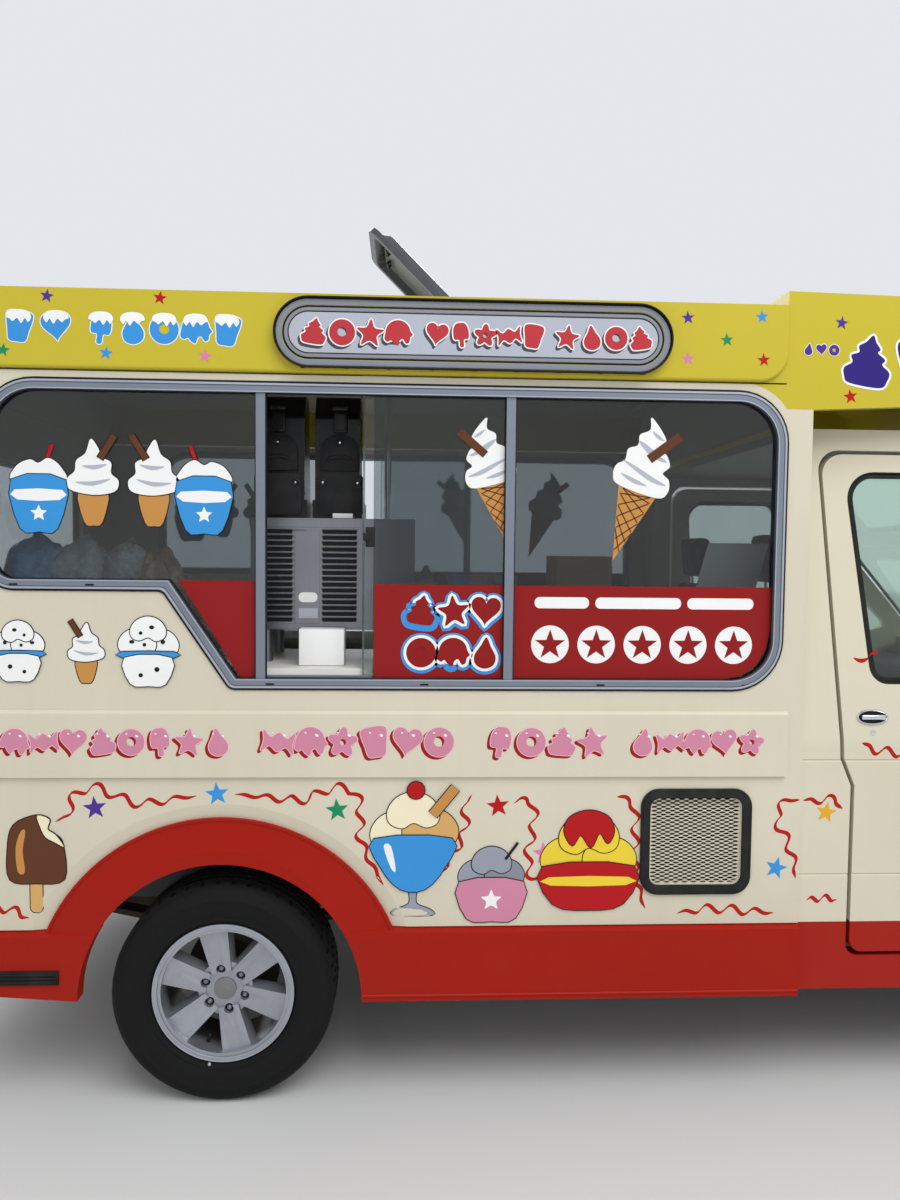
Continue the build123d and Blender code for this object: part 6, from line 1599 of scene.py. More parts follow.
def wrapped(name, place, size, seed, finish):
    """Lump of goods in crumpled film, cut flat at its foot."""
    deselect()
    bpy.ops.mesh.primitive_ico_sphere_add(subdivisions=4, radius=1.0)
    thing = active(name)
    drift = Vector((seed, seed * 0.7, -seed))
    for corner in thing.data.vertices:
        folds = 0.16 * noise.noise(corner.co * 2.2 + drift) + 0.07 * noise.noise(corner.co * 6.5 + drift)
        lump = corner.co * (1.0 + folds)
        lump.z = max(lump.z, -WRAP_FOOT) + WRAP_FOOT
        corner.co = [at + part * half for at, part, half in zip(place, lump, size)]
    ride(thing, finish)


WRAPS = [
    # ahead, left, half length, half width, half height, film
    (-600, -0.840, 0.120, 0.085, 0.262, "sky"),
    (-450, -0.845, 0.115, 0.080, 0.258, "pale_grey"),
    (-320, -0.840, 0.110, 0.085, 0.250, "panel_grey"),
    (-215, -0.845, 0.090, 0.080, 0.238, "tan"),
]
for k, (x, y, *size, film) in enumerate(WRAPS):
    wrapped(f"wrapped_stock_{k + 1}", (ahead(x), y, COUNTER_Z), size, 3.1 * (k + 1), wrap_film[film])
LEAN, LEAN_LEVEL = 0.27, 1.636
leaning = box("leaning_panel", (ahead(1521), -0.8040, 0.900), (ahead(1723), -0.7980, 1.775), 0.003)
for corner in leaning.data.vertices:
    corner.co.x += (corner.co.z - LEAN_LEVEL) * LEAN
ride(leaning, FILM["white"])
print("wrapped bundles:", len(WRAPS))

# %% [markdown]
# ## Alloy wheels
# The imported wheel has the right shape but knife-sharp edges, and a cast wheel shows its shape by the
# light on its rounded ones. A copy of the solid is merged, its flat triangles are dissolved, and a
# narrow bevel then rounds every sharp edge. Nuts, cap and valve are added, and ride with the wheel.

# %% Wheel places and finishes
AXLE_Z, WHEEL_Y, WHEELBASE = 0.349, 0.858, 3250
WHEELS = [
    # corner, axle ahead of the rear axle, side (-1 is the right)
    ("rear_right", 0, -1),
    ("rear_left", 0, 1),
    ("front_right", WHEELBASE, -1),
    ("front_left", WHEELBASE, 1),
]


def wheel_finish():
    """Silver paint on the face with brake dust, and painted shade down in the barrel."""
    finish = Finish("wheel_face_silver", {"Coat Weight": 0.3, "Coat Roughness": 0.12})
    depth = finish.maths("ABSOLUTE", finish.y) - WHEEL_Y
    # painted shade: behind the spokes the barrel is darkened to near black
    barrel = depth.below(0.040, 0.026)
    flake = finish.cells(1100.0)
    dust = finish.noise(16.0, 5.0, 0.6).above(0.5, 0.3)
    face = finish.mix(flake, paint(186, 190, 198), paint(158, 163, 172))
    toned = finish.mix(barrel * 0.94, face, paint(32, 31, 30))
    return finish.wear(
        Base_Color=finish.mix(dust * 0.22, toned, paint(84, 74, 62)),
        Metallic=0.75 - barrel * 0.5,
        Roughness=0.27 + dust * 0.2 + barrel * 0.3,
    )


def tyre_finish(name, axle_x):
    """Black rubber with fine rings about the axle, greyer where the tread is worn."""
    finish = Finish(name, {"Specular IOR Level": 0.2})
    reach = distance_from(finish, axle_x, AXLE_Z)
    rings = finish.maths("SINE", reach * 2400.0)
    tread = reach.above(0.343, 0.006)
    cloud = finish.noise(9.0, 5.0, 0.6)
    pores = finish.noise(420.0, 2.0)
    side = finish.mix(cloud, paint(14, 14, 15), paint(21, 21, 22))
    return finish.wear(
        Base_Color=finish.mix(tread * 0.4, side, paint(50, 49, 47)),
        Roughness=0.66 + cloud * 0.16,
        Normal=finish.bump(rings * 0.4 + pores, 0.22, 0.0005),
    )


wheel_face = wheel_finish()
tyre_finishes = {
    0: tyre_finish("tyre_rubber_rear", ahead(0)),
    WHEELBASE: tyre_finish("tyre_rubber_front", ahead(WHEELBASE)),
}
print("wheel finishes made: 3")

# %% Softened wheel
def softened(name, node):
    """Copy of a solid whose sharp edges are rounded."""
    copy = linked(bpy.data.objects.new(name, nodes[node].data.copy()))
    only(copy)
    bpy.ops.object.mode_set(mode="EDIT")
    bpy.ops.mesh.select_all(action="SELECT")
    bpy.ops.mesh.remove_doubles(threshold=0.00002)
    bpy.ops.mesh.dissolve_limited(angle_limit=radians(1.5))
    bpy.ops.object.mode_set(mode="OBJECT")
    bpy.ops.object.shade_smooth_by_angle(angle=radians(35))
    return take_modifier(copy, "BEVEL", width=0.0018, segments=2, limit_method="ANGLE",
                         angle_limit=radians(35), use_clamp_overlap=True, harden_normals=True)


def around_axle(radius, degrees_up, y):
    """Place about the rear right axle."""
    angle = radians(degrees_up)
    return (REAR_AXLE + radius * cos(angle), y, AXLE_Z + radius * sin(angle))


NUTS, NUT_RADIUS, VALVE_TURN = 6, 0.065, -108


def wheel_details():
    """Nuts, pocket rims, pocket discs of painted shade, cap and valve of the rear right wheel, each with its
    finish.
    """
    nuts, rims, pocket_shades = [], [], []
    for k in range(NUTS):
        turn = 41 + 60 * k
        depths = (-0.9100, -0.9205, -0.9200, -0.9230)
        root, face, neck, end = (around_axle(NUT_RADIUS, turn, y) for y in depths)
        nuts.append(bar("nut", root, face, 0.0090, 6, 0.0084, 0.0010))
        nuts.append(bar("nut_top", neck, end, 0.0066, 20, 0.0054, 0.0008))
        back, front, rim = (around_axle(NUT_RADIUS, turn, y) for y in (-0.9110, -0.9126, -0.9204))
        # painted shade: a black disc at the bottom of each nut pocket
        pocket_shades.append(bar("pocket", back, front, 0.0146, 28))
        rims.append(hoop("rim", rim, (0, 1, 0), 0.0158, 0.0011, 28, 8))
    for y, radius, thickness in ((-0.9574, 0.2188, 0.0020), (-0.9566, 0.2075, 0.0016)):
        rims.append(hoop("lip", (REAR_AXLE, y, AXLE_Z), (0, 1, 0), radius, thickness, 120, 8))
    back, front, dot_back, dot_front = ((REAR_AXLE, y, AXLE_Z) for y in (-0.9180, -0.9262, -0.9250, -0.9268))
    cap = [bar("cap", back, front, 0.0358, 56, 0.0348, 0.0018),
           bar("dot", dot_back, dot_front, 0.0016, 12, bevel=0.0004)]
    root, neck, tip = (around_axle(radius, VALVE_TURN, y)
                       for radius, y in ((0.192, -0.898), (0.172, -0.912), (0.158, -0.920)))
    valve = [bar("root", root, neck, 0.0068, 16, 0.0052, 0.001),
             bar("stem", neck, tip, 0.0050, 16, 0.0046, 0.001)]
    return [
        (join("wheel_nuts_rear_right", nuts), steel_sheet),
        (join("wheel_bright_edges_rear_right", rims), bright_frame),
        (join("wheel_cap_rear_right", cap), cast_cap),
        (join("wheel_valve_rear_right", valve), black_trim),
        (join("wheel_nut_pockets_rear_right", pocket_shades), black_gloss),
    ]


details = wheel_details()
for corner, distance, side in WHEELS:
    body = f"wheel_{corner}_body"
    wheel = softened("alloy_wheel_" + corner, "wheel_" + corner)
    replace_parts(wheel, "wheel_" + corner)
    ride(wheel, wheel_face, body, smooth=0)
    for piece, finish in details:
        if corner != "rear_right":
            piece = (flip if side > 0 else twin)(piece, piece.name.replace("rear_right", corner))
        piece.data.transform(Matrix.Translation((distance / 1000, 0, 0)))
        ride(piece, finish, body, smooth=40)
print("wheels softened and dressed:", len(WHEELS))

# %% [markdown]
# ## Tyres
# A tyre is turned from one cross-section: sidewall with its rings, shoulder, and a tread with four
# grooves. The section is spun about the axle in small steps. Every few steps the faces of a tread
# rib are then pushed in as cross cuts, which break the ribs into blocks.

# %% Tyre section
TYRE_HALF = [
    # radius, distance from the middle
    (204, 88), (221.5, 88.5), (224, 94), (230, 102.5), (235, 104.5), (237, 107.2), (241, 107.6),
    (243, 106.8), (262, 113.2), (285, 117.2), (298, 116.9), (300, 117.9), (304, 117.6), (306, 116.2),
    (318, 113.6), (326, 110.6), (334, 105.4), (340, 99.0), (344.6, 92.0), (347.0, 82.0), (348.0, 58.0),
    (341.0, 56.5), (341.0, 48.5), (348.4, 47.0), (348.9, 22.0), (341.5, 20.5), (341.5, 12.5), (349.0, 11.0),
]
STEPS, TREAD_RADIUS, CUT_EVERY = 180, 0.3425, 4
CUTS = [
    # near and far edge of a rib, depth of its cuts
    (0.0, 0.010, 0.0035), (0.023, 0.046, 0.0045), (0.059, 0.0995, 0.0050),
]


def make_tyre(name):
    section = TYRE_HALF + [(r, -y) for r, y in reversed(TYRE_HALF)]
    deselect()
    bpy.ops.mesh.primitive_circle_add(vertices=len(section), radius=0.1, fill_type="NOTHING")
    tyre = active(name)
    for corner, (r, y) in zip(tyre.data.vertices, section):
        corner.co = (r / 1000, y / 1000, 0.0)
    bpy.ops.object.mode_set(mode="EDIT")
    bpy.ops.mesh.select_all(action="SELECT")
    bpy.ops.mesh.spin(steps=STEPS, angle=2 * pi, center=(0, 0, 0), axis=(0, 1, 0))
    bpy.ops.mesh.select_all(action="SELECT")
    bpy.ops.mesh.remove_doubles(threshold=0.0001)
    bpy.ops.mesh.normals_make_consistent(inside=False)
    bpy.ops.mesh.select_all(action="DESELECT")
    bpy.ops.object.mode_set(mode="OBJECT")
    for rib, (near, far, depth) in enumerate(CUTS):
        for face in tyre.data.polygons:
            x, y, z = face.center
            step = round(degrees(atan2(z, x)) / 2 - 0.5) + rib + (2 if y > 0 else 0)
            face.select = near <= abs(y) <= far and hypot(x, z) > TREAD_RADIUS and step % CUT_EVERY == 0
        bpy.ops.object.mode_set(mode="EDIT")
        bpy.ops.mesh.extrude_region_shrink_fatten(TRANSFORM_OT_shrink_fatten={"value": -depth})
        bpy.ops.mesh.select_all(action="DESELECT")
        bpy.ops.object.mode_set(mode="OBJECT")
    return tyre


master_tyre = make_tyre("road_tyre_rear_right")
master_tyre.data.transform(Matrix.Translation((REAR_AXLE, -WHEEL_Y, AXLE_Z)))
tyres = [master_tyre] + [twin(master_tyre, "road_tyre_" + corner) for corner, distance, side in WHEELS[1:]]
for tyre, (corner, distance, side) in zip(tyres, WHEELS):
    tyre.data.transform(Matrix.Translation((distance / 1000, (side + 1) * WHEEL_Y, 0)))
    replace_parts(tyre, "tyre_" + corner)
    ride(tyre, tyre_finishes[distance], f"wheel_{corner}_body", smooth=30)
mark_back, mark_front = around_axle(0.229, -100.7, -0.9585), around_axle(0.229, -100.7, -0.9625)
mark = bar("tyre_balance_mark", mark_back, mark_front, 0.0052, 20, 0.0048, 0.0008)
ride(mark, FILM["pale_grey"], "wheel_rear_right_body")
print("tyre faces each:", len(master_tyre.data.polygons))

# %% [markdown]
# ## Brake calipers
# Through the spokes a caliper shows over each disc: a cast bridge with a claw and two round pins.
# The rear ones sit on the axle, and the front ones turn with the steering.

# %% Calipers
CALIPER_TURN, CALIPER_RADIUS = 71, 0.137


def caliper(name):
    parts = [
        box("bridge", (-0.024, -0.8110, -0.052), (0.030, -0.7330, 0.052), 0.009, 3),
        box("claw", (-0.030, -0.8130, -0.040), (0.004, -0.7990, 0.040), 0.005),
        bar("pin_high", (0.012, -0.7480, 0.060), (0.012, -0.7900, 0.060), 0.009, 20, bevel=0.002),
        bar("pin_low", (0.012, -0.7480, -0.060), (0.012, -0.7900, -0.060), 0.009, 20, bevel=0.002),
    ]
    thing = join(name, parts)
    thing.data.transform(Matrix.Rotation(-radians(CALIPER_TURN), 4, "Y"))
    thing.data.transform(Matrix.Translation(around_axle(CALIPER_RADIUS, CALIPER_TURN, 0)))
    return thing


rear_caliper = caliper("brake_caliper_rear_right")
front_caliper = twin(rear_caliper, "brake_caliper_front_right")
front_caliper.data.transform(Matrix.Translation((WHEELBASE / 1000, 0, 0)))
pair(rear_caliper, cast_metal)
pair(front_caliper, cast_metal, "steer_right_body")
print("calipers made: 4")

# %% [markdown]
# ## Doors of the cab
# Each door window sits in a wide black rubber that lines the whole cut-out, so it is a thick band
# from the painted face down to the pane, and it leans in with the cab side. The handle is a chrome
# oval over a dark cup.

# %% Window rubber and handle
DOOR_BODY, HANDLE_X, HANDLE_Z = "door_right_body", 2046, 1226


def cab_bead(name, line, out, radius):
    """Bead on the leaning cab side along an outline in millimetres."""
    places = [(ahead(x), -cab_surface(ahead(x), z / 1000) - out, z / 1000) for x, z in line]
    return bead(name, places, radius)


door_window = corner_line([(2048, 1330), (2738, 1330), (2738, 1644), (2425, 2010), (1983, 2010)],
                          [60, 40, 50, 60, 90], 9)
rubber = side_sheet("door_window_rubber_right", [door_window, grown(door_window, -19.0)], 0.0, 0.0205)
pair(lay(soft_edges(rubber, 0.002, 2), cab_surface, 0.0240), seal_rubber, DOOR_BODY)
pair(cab_bead("door_window_lip_right", grown(door_window, -2.0), -0.001, 0.0030), seal_rubber, DOOR_BODY)
cup = side_sheet("door_handle_cup_right", [disc(HANDLE_X, HANDLE_Z, 47, 0.46, 40)], 0.0)
pair(lay(cup, cab_surface), FILM["black"], DOOR_BODY)
ring = cab_bead("ring", disc(HANDLE_X, HANDLE_Z, 48, 0.46, 48), 0.002, 0.0032)
paddle = box("paddle", (ahead(2008), -0.9790, 1.219), (ahead(2086), -0.9680, 1.2345), 0.0045, 3)
lock_ends = (ahead(HANDLE_X), -0.970, 1.178), (ahead(HANDLE_X), -0.9765, 1.178)
lock = bar("lock", *lock_ends, 0.0095, 24, 0.0085, 0.001)
pair(join("door_handle_right", [ring, paddle, lock]), chrome, DOOR_BODY)
mirror_line = rounded(-1208, 1364, -1058, 1616, 18)
mirror_glass = cross_sheet("door_mirror_glass_right", [mirror_line], ahead(2694.5), 0.0025, front=False)
pair(soft_edges(mirror_glass, 0.0008, 1), mirror_silver, DOOR_BODY)
print("door pieces made: 5 for each side")

# %% [markdown]
# ## Windscreen seal and wipers
# The windscreen is bent in plan and leans back. Its rubber follows the edge of the pane, so the
# edge is walked in small steps and each step is put on the bent face. The wipers lie parked along
# its foot.

# %% Bent face and what follows it
def screen_face(y, z, off):
    """Place on the outer face of the windscreen; off stands it clear."""
    x = 3176 - (z * 1000 - 1400) * 680 / 730 + 70 * (1 - (y / 0.910) ** 2)
    return (ahead(x) + off * 0.73, y, z + off * 0.68)


def stepped(line, step):
    """The same closed line with points no further apart than a step."""
    out = []
    for (ax, az), (bx, bz) in zip(line, line[1:] + line[:1]):
        count = max(1, int(hypot(bx - ax, bz - az) / step))
        out += [(ax + (bx - ax) * k / count, az + (bz - az) * k / count) for k in range(count)]
    return out


screen_edge = corner_line([(-858, 1326), (858, 1326), (756, 2118), (-756, 2118)], [60, 60, 70, 70], 7)
seal_line = [screen_face(y / 1000, z / 1000, 0.002) for y, z in stepped(screen_edge, 40.0)]
ride(bead("windscreen_rubber", seal_line, 0.0095), seal_rubber)
WIPERS, BLADE_STEPS, PIVOT_Z = ((-0.72, -0.12), (-0.02, 0.58)), 12, 1.345
wiper_parts = []
for near, far in WIPERS:
    blade = [screen_face(near + (far - near) * t, 1.368 + 0.030 * t, 0.016)
             for t in (k / BLADE_STEPS for k in range(BLADE_STEPS + 1))]
    arm = [screen_face(far + 0.02, PIVOT_Z, 0.014), screen_face(far - 0.05, 1.372, 0.026),
           screen_face((near + far) / 2, 1.392, 0.026)]
    foot, top = (screen_face(far + 0.02, PIVOT_Z, off) for off in (0.001, 0.024))
    wiper_parts += [bead("blade", blade, 0.0045, False), bead("arm", arm, 0.0055, False),
                    bar("pivot", foot, top, 0.014, 24, 0.011, 0.002)]
ride(join("windscreen_wipers", wiper_parts), black_trim)
print("wipers made:", len(WIPERS))

# %% [markdown]
# ## Lamps, plates and the dashboard
# Round lamp bowls sit behind one shaped lens at each front corner. To find where the curved nose is,
# a ray is cast at the solid and the piece is set on the place it meets, facing the same way.
# The plates are plain sheets on dark plinths.

# %% Setting pieces on curved solids
FORWARD, REARWARD, INWARD = (1, 0, 0), (-1, 0, 0), (0, 1, 0)


def meet(node, start, toward):
    """Place and direction where a ray meets a solid."""
    found, place, normal, face = nodes[node].ray_cast(Vector(start), Vector(toward))
    if not found:
        raise ValueError("no solid in front of the ray: " + node)
    return Vector(place), Vector(normal)


def lamp_bowl(name, place, normal, radius):
    """Ring, inner ring, bowl and domed bulb cover on a curved face."""
    rings = [hoop("ring", place + normal * 0.0015, normal, radius, 0.0040, 56, 10),
             hoop("inner", place + normal * 0.0010, normal, radius * 0.62, 0.0022, 40, 8)]
    bowl = bar(name + "_bowl_right", place - normal * 0.004, place + normal * 0.0020, radius * 0.98, 48,
               radius * 0.96, 0.0008)
    deselect()
    bpy.ops.mesh.primitive_uv_sphere_add(segments=32, ring_count=16, radius=radius * 0.50)
    dome = active(name + "_bulb_right")
    dome.scale = (1, 1, 0.22)
    dome.rotation_euler = normal.to_track_quat("Z", "Y").to_euler()
    dome.location = place + normal * 0.002
    settle(dome)
    return join(name + "_rings_right", rings), bowl, dome


LAMPS = [
    # name, solid, left, height, radius, finishes of the rings and the bulb
    ("headlamp", "lamp_units", -0.705, 0.925, 0.058, chrome, pale_edge),
    ("indicator", "lamp_units", -0.840, 0.945, 0.040, chrome, amber_lens),
    ("fog_lamp", "front_bumper_and_grille", -0.690, 0.520, 0.045, black_trim, pale_edge),
]
for name, solid, y, z, radius, ring_finish, bulb_finish in LAMPS:
    place, normal = meet(solid, (3.2, y, z), REARWARD)
    rings, bowl, dome = lamp_bowl(name, place, normal, radius)
    pair(rings, ring_finish)
    pair(bowl, reflector)
    pair(dome, bulb_finish)
place, normal = meet("front_wings", (ahead(3720), -2.0, 1.000), INWARD)
low, high = (place.x - 0.032, place.y - 0.007, 0.985), (place.x + 0.032, place.y + 0.012, 1.015)
pair(box("side_repeater_right", low, high, 0.005), amber_lens)
print("lamps dressed: 8")

# %% Bare plates and tail lamp rims
place, normal = meet("front_bumper_and_grille", (3.2, 0.0, 0.560), REARWARD)
NOSE = place.x
PLATES = [
    # name, from and to (ahead), half width, from and to (height), bevel, segments, finish
    ("front_plate_plinth", NOSE - 0.030, NOSE + 0.0035, 0.275, 0.496, 0.624, 0.003, 2, black_trim),
    ("front_plate_blank", NOSE + 0.0030, NOSE + 0.0062, 0.260, 0.5045, 0.6155, 0.0012, 1, FILM["white"]),
    ("rear_plate_plinth", REAR_FACE - 0.010, REAR_FACE + 0.002, 0.275, 0.706, 0.834, 0.003, 2, black_trim),
    ("rear_plate_blank", REAR_FACE - 0.013, REAR_FACE - 0.0095, 0.260, 0.7145, 0.8255, 0.0012, 1,
     FILM["lemon"]),
]
for name, x0, x1, half, z0, z1, bevel, segments, finish in PLATES:
    ride(box(name, (x0, -half, z0), (x1, half, z1), bevel, segments), finish)
pair(rear_bead("tail_lamp_rim_right", rounded(-903, 637, -797, 963, 20), 0.0012, 0.0045), black_trim)
lamp_bars = []
for z in (0.700, 0.760, 0.855):
    low, high = (REAR_FACE - 0.0212, -0.899, z - 0.003), (REAR_FACE - 0.0188, -0.801, z + 0.003)
    lamp_bars.append(box("bar", low, high, 0.001, 1))
pair(join("tail_lamp_bars_right", lamp_bars), black_trim)
print("plates made: 2, both bare")

# %% Dials and vents on the dashboard
dash_parts = []
for y in (-0.500, -0.385):
    place, normal = meet("dashboard", (ahead(2600), y, 1.248), FORWARD)
    dash_parts.append(hoop("dial", place + normal * 0.001, normal, 0.040, 0.0030, 40, 8))
for y in (-0.74, -0.13, 0.13, 0.74):
    for z in (1.150, 1.163, 1.176, 1.189):
        place, normal = meet("dashboard", (ahead(2500), y, z), FORWARD)
        low, high = (place.x - 0.004, y - 0.050, z - 0.002), (place.x + 0.006, y + 0.050, z + 0.002)
        dash_parts.append(box("vent", low, high, 0.0008, 1))
ride(join("dashboard_dials_and_vents", dash_parts), black_gloss)
print("dashboard pieces joined:", len(dash_parts))

# %% [markdown]
# ## Closing panels
# Where two mouldings meet, the maker of the body closes the gap with a thin panel: under both ends
# of the crowned roof, and beside the cab, whose sides lean in while the body stands upright. Each
# is one flat sheet whose edge follows the neighbour's curve.

# %% Panels under the roof and beside the cab
ROOF_LINE = [(0, 2560), (200, 2555), (400, 2540.5), (600, 2516.5), (800, 2482.5), (900, 2461.5), (940, 2452)]


def under_roof(name, low, face):
    """Sheet whose top edge runs just inside the roof's shell."""
    top = [(-y, z) for y, z in reversed(ROOF_LINE)] + ROOF_LINE[1:]
    ride(cross_sheet(name, [[*top, (940, low), (-940, low)]], face, 0.004), cream_panel, smooth=0)


under_roof("roof_rear_closing", 2262, ahead(-944.5))
under_roof("roof_front_closing", 2450, ahead(1722))
cab_edge = [(30 - cab_surface(0, z / 1000) * 1000, z) for z in (2150, 1900, 1600, 1300, 1180)]
beside_cab = [(-953, 1180), (-953, 2180), (-800, 2180), *cab_edge]
pair(cross_sheet("cab_side_closing_right", [beside_cab], ahead(1811.5), 0.004), cream_panel, smooth=0)
print("closing panels made: 4")

# %% [markdown]
# ## Seats
# A seat cushion is foam in a tight cloth cover: crowned in the middle and pulled in at its seams.
# The cover is remeshed evenly and blown up gently as cloth, without gravity, and how far it may
# move is capped. Seams are pressed in afterwards, since a remesh would wipe them out.

# %% Padded shapes
CLOTH_FRAMES, INSET, SEAM_WIDTH, SEAT_Y = 20, 13, 0.006, -0.440


def blown_up(thing, cap):
    """Inflate a closed cover as cloth and keep its moves small."""
    start = [corner.co.copy() for corner in thing.data.vertices]
    only(thing)
    cloth = thing.modifiers.new("Cover", "CLOTH")
    cloth.settings.use_pressure = True
    cloth.settings.uniform_pressure_force = 4.0
    cloth.settings.effector_weights.gravity = 0.0
    cloth.settings.quality = 5
    cloth.settings.mass = 0.3
    cloth.collision_settings.use_collision = False
    cloth.point_cache.frame_start, cloth.point_cache.frame_end = 1, CLOTH_FRAMES
    for frame in range(1, CLOTH_FRAMES + 1):
        bpy.context.scene.frame_set(frame)
    bpy.ops.object.modifier_apply(modifier="Cover")
    bpy.context.scene.frame_set(1)
    for corner, place in zip(thing.data.vertices, start):
        move = corner.co - place
        if move.length > cap:
            corner.co = place + move * (cap / move.length)


def press_seams(pad, seams):
    """Press lines in; across the truck they lie on both sides of the seat's middle."""
    outward = [corner.normal.copy() for corner in pad.data.vertices]
    for corner, way in zip(pad.data.vertices, outward):
        push = 0.0
        for axis, place, depth in seams:
            value = abs(corner.co.y - SEAT_Y) if axis == "y" else getattr(corner.co, axis)
            push += depth * exp(-((value - place) / SEAM_WIDTH) ** 2)
        corner.co -= way * push


def seat_pad(name, profile, half, cap, seams):
    """Cushion from its side profile in millimetres; seams are (axis, place, depth) pressed lines."""
    width = 2 * (half - INSET / 1000)
    pad = side_sheet(name, [grown(profile, -INSET)], -SEAT_Y - width / 2, width)
    soft_edges(pad, 0.020, 3)
    take_modifier(pad, "REMESH", mode="VOXEL", voxel_size=0.009)
    blown_up(pad, cap)
    take_modifier(pad, "SMOOTH", factor=0.5, iterations=2)
    take_modifier(pad, "SUBSURF", levels=1, render_levels=1)
    press_seams(pad, seams)
    return pad


SEATS = [
    # name, profile (ahead, height), half width, cap, seams, finish
    ("seat_cushion", [(1960, 880), (2470, 920), (2480, 1040), (2000, 1000)], 0.240, 0.020,
     [("y", 0.150, 0.006), ("x", ahead(2150), 0.004), ("x", ahead(2310), 0.004)], seat_fabric),
    ("seat_back", [(1990, 990), (2110, 1000), (1990, 1620), (1880, 1620)], 0.230, 0.018,
     [("y", 0.145, 0.006), ("z", 1.180, 0.004), ("z", 1.400, 0.004)], seat_fabric),
    ("seat_headrest", [(1885, 1628), (1970, 1628), (1960, 1820), (1870, 1820)], 0.140, 0.014,
     [("y", 0.095, 0.004)], seat_side),
]
for name, profile, half, cap, seams, finish in SEATS:
    pair(seat_pad(name + "_right", profile, half, cap, seams), finish, smooth=180)
    for side in ("right", "left"):
        piece = bpy.data.objects[f"{name}_{side}"]
        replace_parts(piece, "cab_seats")
print("padded seat pieces:", 2 * len(SEATS))

# %% Seat bases and headrest posts
base_parts = [
    box("plinth", (ahead(2050), -0.620, 0.610), (ahead(2410), -0.260, 0.820), 0.012, 3),
    box("tray", (ahead(2010), -0.650, 0.815), (ahead(2440), -0.230, 0.880), 0.014, 3),
    box("side_guard", (ahead(2000), -0.684, 0.860), (ahead(2440), -0.664, 0.930), 0.008),
    bar("knob", (ahead(2030), -0.6990, 0.930), (ahead(2030), -0.6760, 0.930), 0.030, 28, 0.026, 0.004),
]
pair(join("seat_base_right", base_parts), black_trim)
posts = [bar("post", (ahead(1930), y, 1.560), (ahead(1922), y, 1.700), 0.006, 16, bevel=0.001)
         for y in (-0.50, -0.38)]
pair(join("headrest_posts_right", posts), chrome)
for side in ("right", "left"):
    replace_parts(bpy.data.objects["seat_base_" + side], "cab_seats")
print("seat bases made: 2")

# %% [markdown]
# ## Camera, light and floor
# The camera stands where the photograph was taken: at about head height, close to the side.
# The light is a pale even sky with a large soft lamp on each side, so that colours come out as they
# are written. The floor and the background are pale, and the floor keeps the truck's shadow.

# %% Camera
SENSOR, LENS = 36.0, 36.0 * 902.0 / 1200.0
YAW, PITCH, ROLL = 0.04899726, 0.05216943, 0.01040543
camera_data = bpy.data.cameras.new("view_camera")
camera_data.lens = LENS
camera_data.sensor_width = SENSOR
camera_data.clip_end = 100.0
camera = linked(bpy.data.objects.new("view_camera", camera_data))
forward = Vector((sin(YAW) * cos(PITCH), cos(YAW) * cos(PITCH), -sin(PITCH)))
level = Vector((cos(YAW), -sin(YAW), 0.0))
upward = level.cross(forward)
right = level * cos(ROLL) + upward * sin(ROLL)
top = upward * cos(ROLL) - level * sin(ROLL)
turn = Matrix((right, top, -forward)).transposed().to_4x4()
camera.matrix_world = Matrix.Translation((ahead(561.53), -3.74278, 1.73353)) @ turn
bpy.context.scene.camera = camera
print("camera lens in millimetres:", round(LENS, 2))


# %% Floor and sky
def pale_stage(name, colour):
    """Plain matt floor whose tone hardly drifts."""
    finish = Finish(name, {"Roughness": 0.9, "Specular IOR Level": 0.1})
    haze = finish.noise(0.6, 2.0)
    return finish.wear(Base_Color=finish.mix(haze, shade(colour, 0.99), colour))


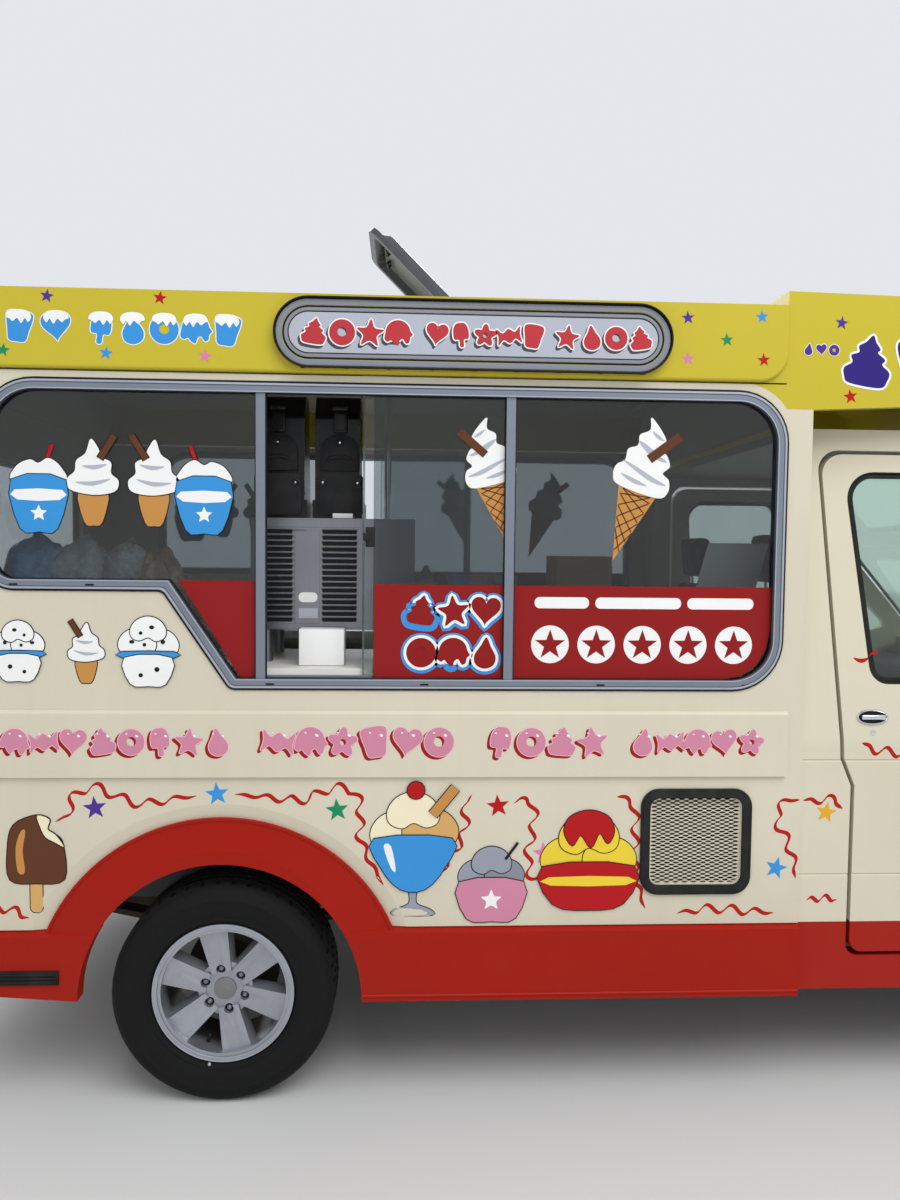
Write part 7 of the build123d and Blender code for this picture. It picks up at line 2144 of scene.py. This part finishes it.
deselect()
bpy.ops.mesh.primitive_plane_add(size=80.0, location=(0, 0, -0.0005))
floor = settle(active("studio_floor"))
floor.data.materials.append(pale_stage("pale_floor", paint(214, 214, 212)))
floor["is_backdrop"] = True

SKY_AROUND, SKY_SEEN, SKY_STRENGTH = (0.80, 0.82, 0.86, 1.0), (0.86, 0.88, 0.92, 1.0), 0.9
world = bpy.data.worlds.new("studio_sky")
bpy.context.scene.world = world
world.use_nodes = True
sky = world.node_tree
sky.nodes.clear()


def sky_node(kind, settings, values):
    """Node of the sky; its inputs are fixed values or outputs of other nodes."""
    node = sky.nodes.new("ShaderNode" + kind)
    for name, value in settings.items():
        setattr(node, name, value)
    for slot, value in values.items():
        if isinstance(value, bpy.types.NodeSocket):
            sky.links.new(value, node.inputs[slot])
        else:
            node.inputs[slot].default_value = value
    return node


rays = sky_node("LightPath", {}, {}).outputs
greater = {"operation": "MAXIMUM"}
mirrored = sky_node("Math", greater, {0: rays["Is Glossy Ray"], 1: rays["Is Transmission Ray"]}).outputs[0]
seen = sky_node("Math", greater, {0: rays["Is Camera Ray"], 1: mirrored}).outputs[0]
tone = sky_node("Mix", {"data_type": "RGBA"}, {0: seen, 6: SKY_AROUND, 7: SKY_SEEN}).outputs[2]
background = sky_node("Background", {}, {"Color": tone, "Strength": SKY_STRENGTH}).outputs[0]
sky_node("OutputWorld", {}, {"Surface": background})
print("floor and sky made")

# %% Lamps
LAMP_SIZE = (7.0, 5.0)


def soft_lamp(name, place, aim, power):
    data = bpy.data.lights.new(name, "AREA")
    data.shape = "RECTANGLE"
    data.size, data.size_y = LAMP_SIZE
    data.energy = power
    lamp = linked(bpy.data.objects.new(name, data))
    lamp.location = place
    lamp.rotation_euler = (Vector(aim) - Vector(place)).to_track_quat("-Z", "Y").to_euler()


soft_lamp("high_soft_lamp", (1.5, -5.5, 7.5), (-0.6, -0.8, 1.2), 420.0)
soft_lamp("far_side_lamp", (-2.5, 6.5, 6.5), (0.0, 0.8, 1.2), 380.0)
bpy.context.scene.view_settings.view_transform = "Standard"
print("lamps made: 2")

# %% [markdown]
# ## Size of the dressed truck
# The box that the dressed truck fills is printed. The dressed truck has to stay in the
# bare model's box, apart from thin trim.

# %% Print the size of the dressed truck
low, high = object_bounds()
print("box of the dressed truck:", [round(v, 3) for v in (*low, *high)])
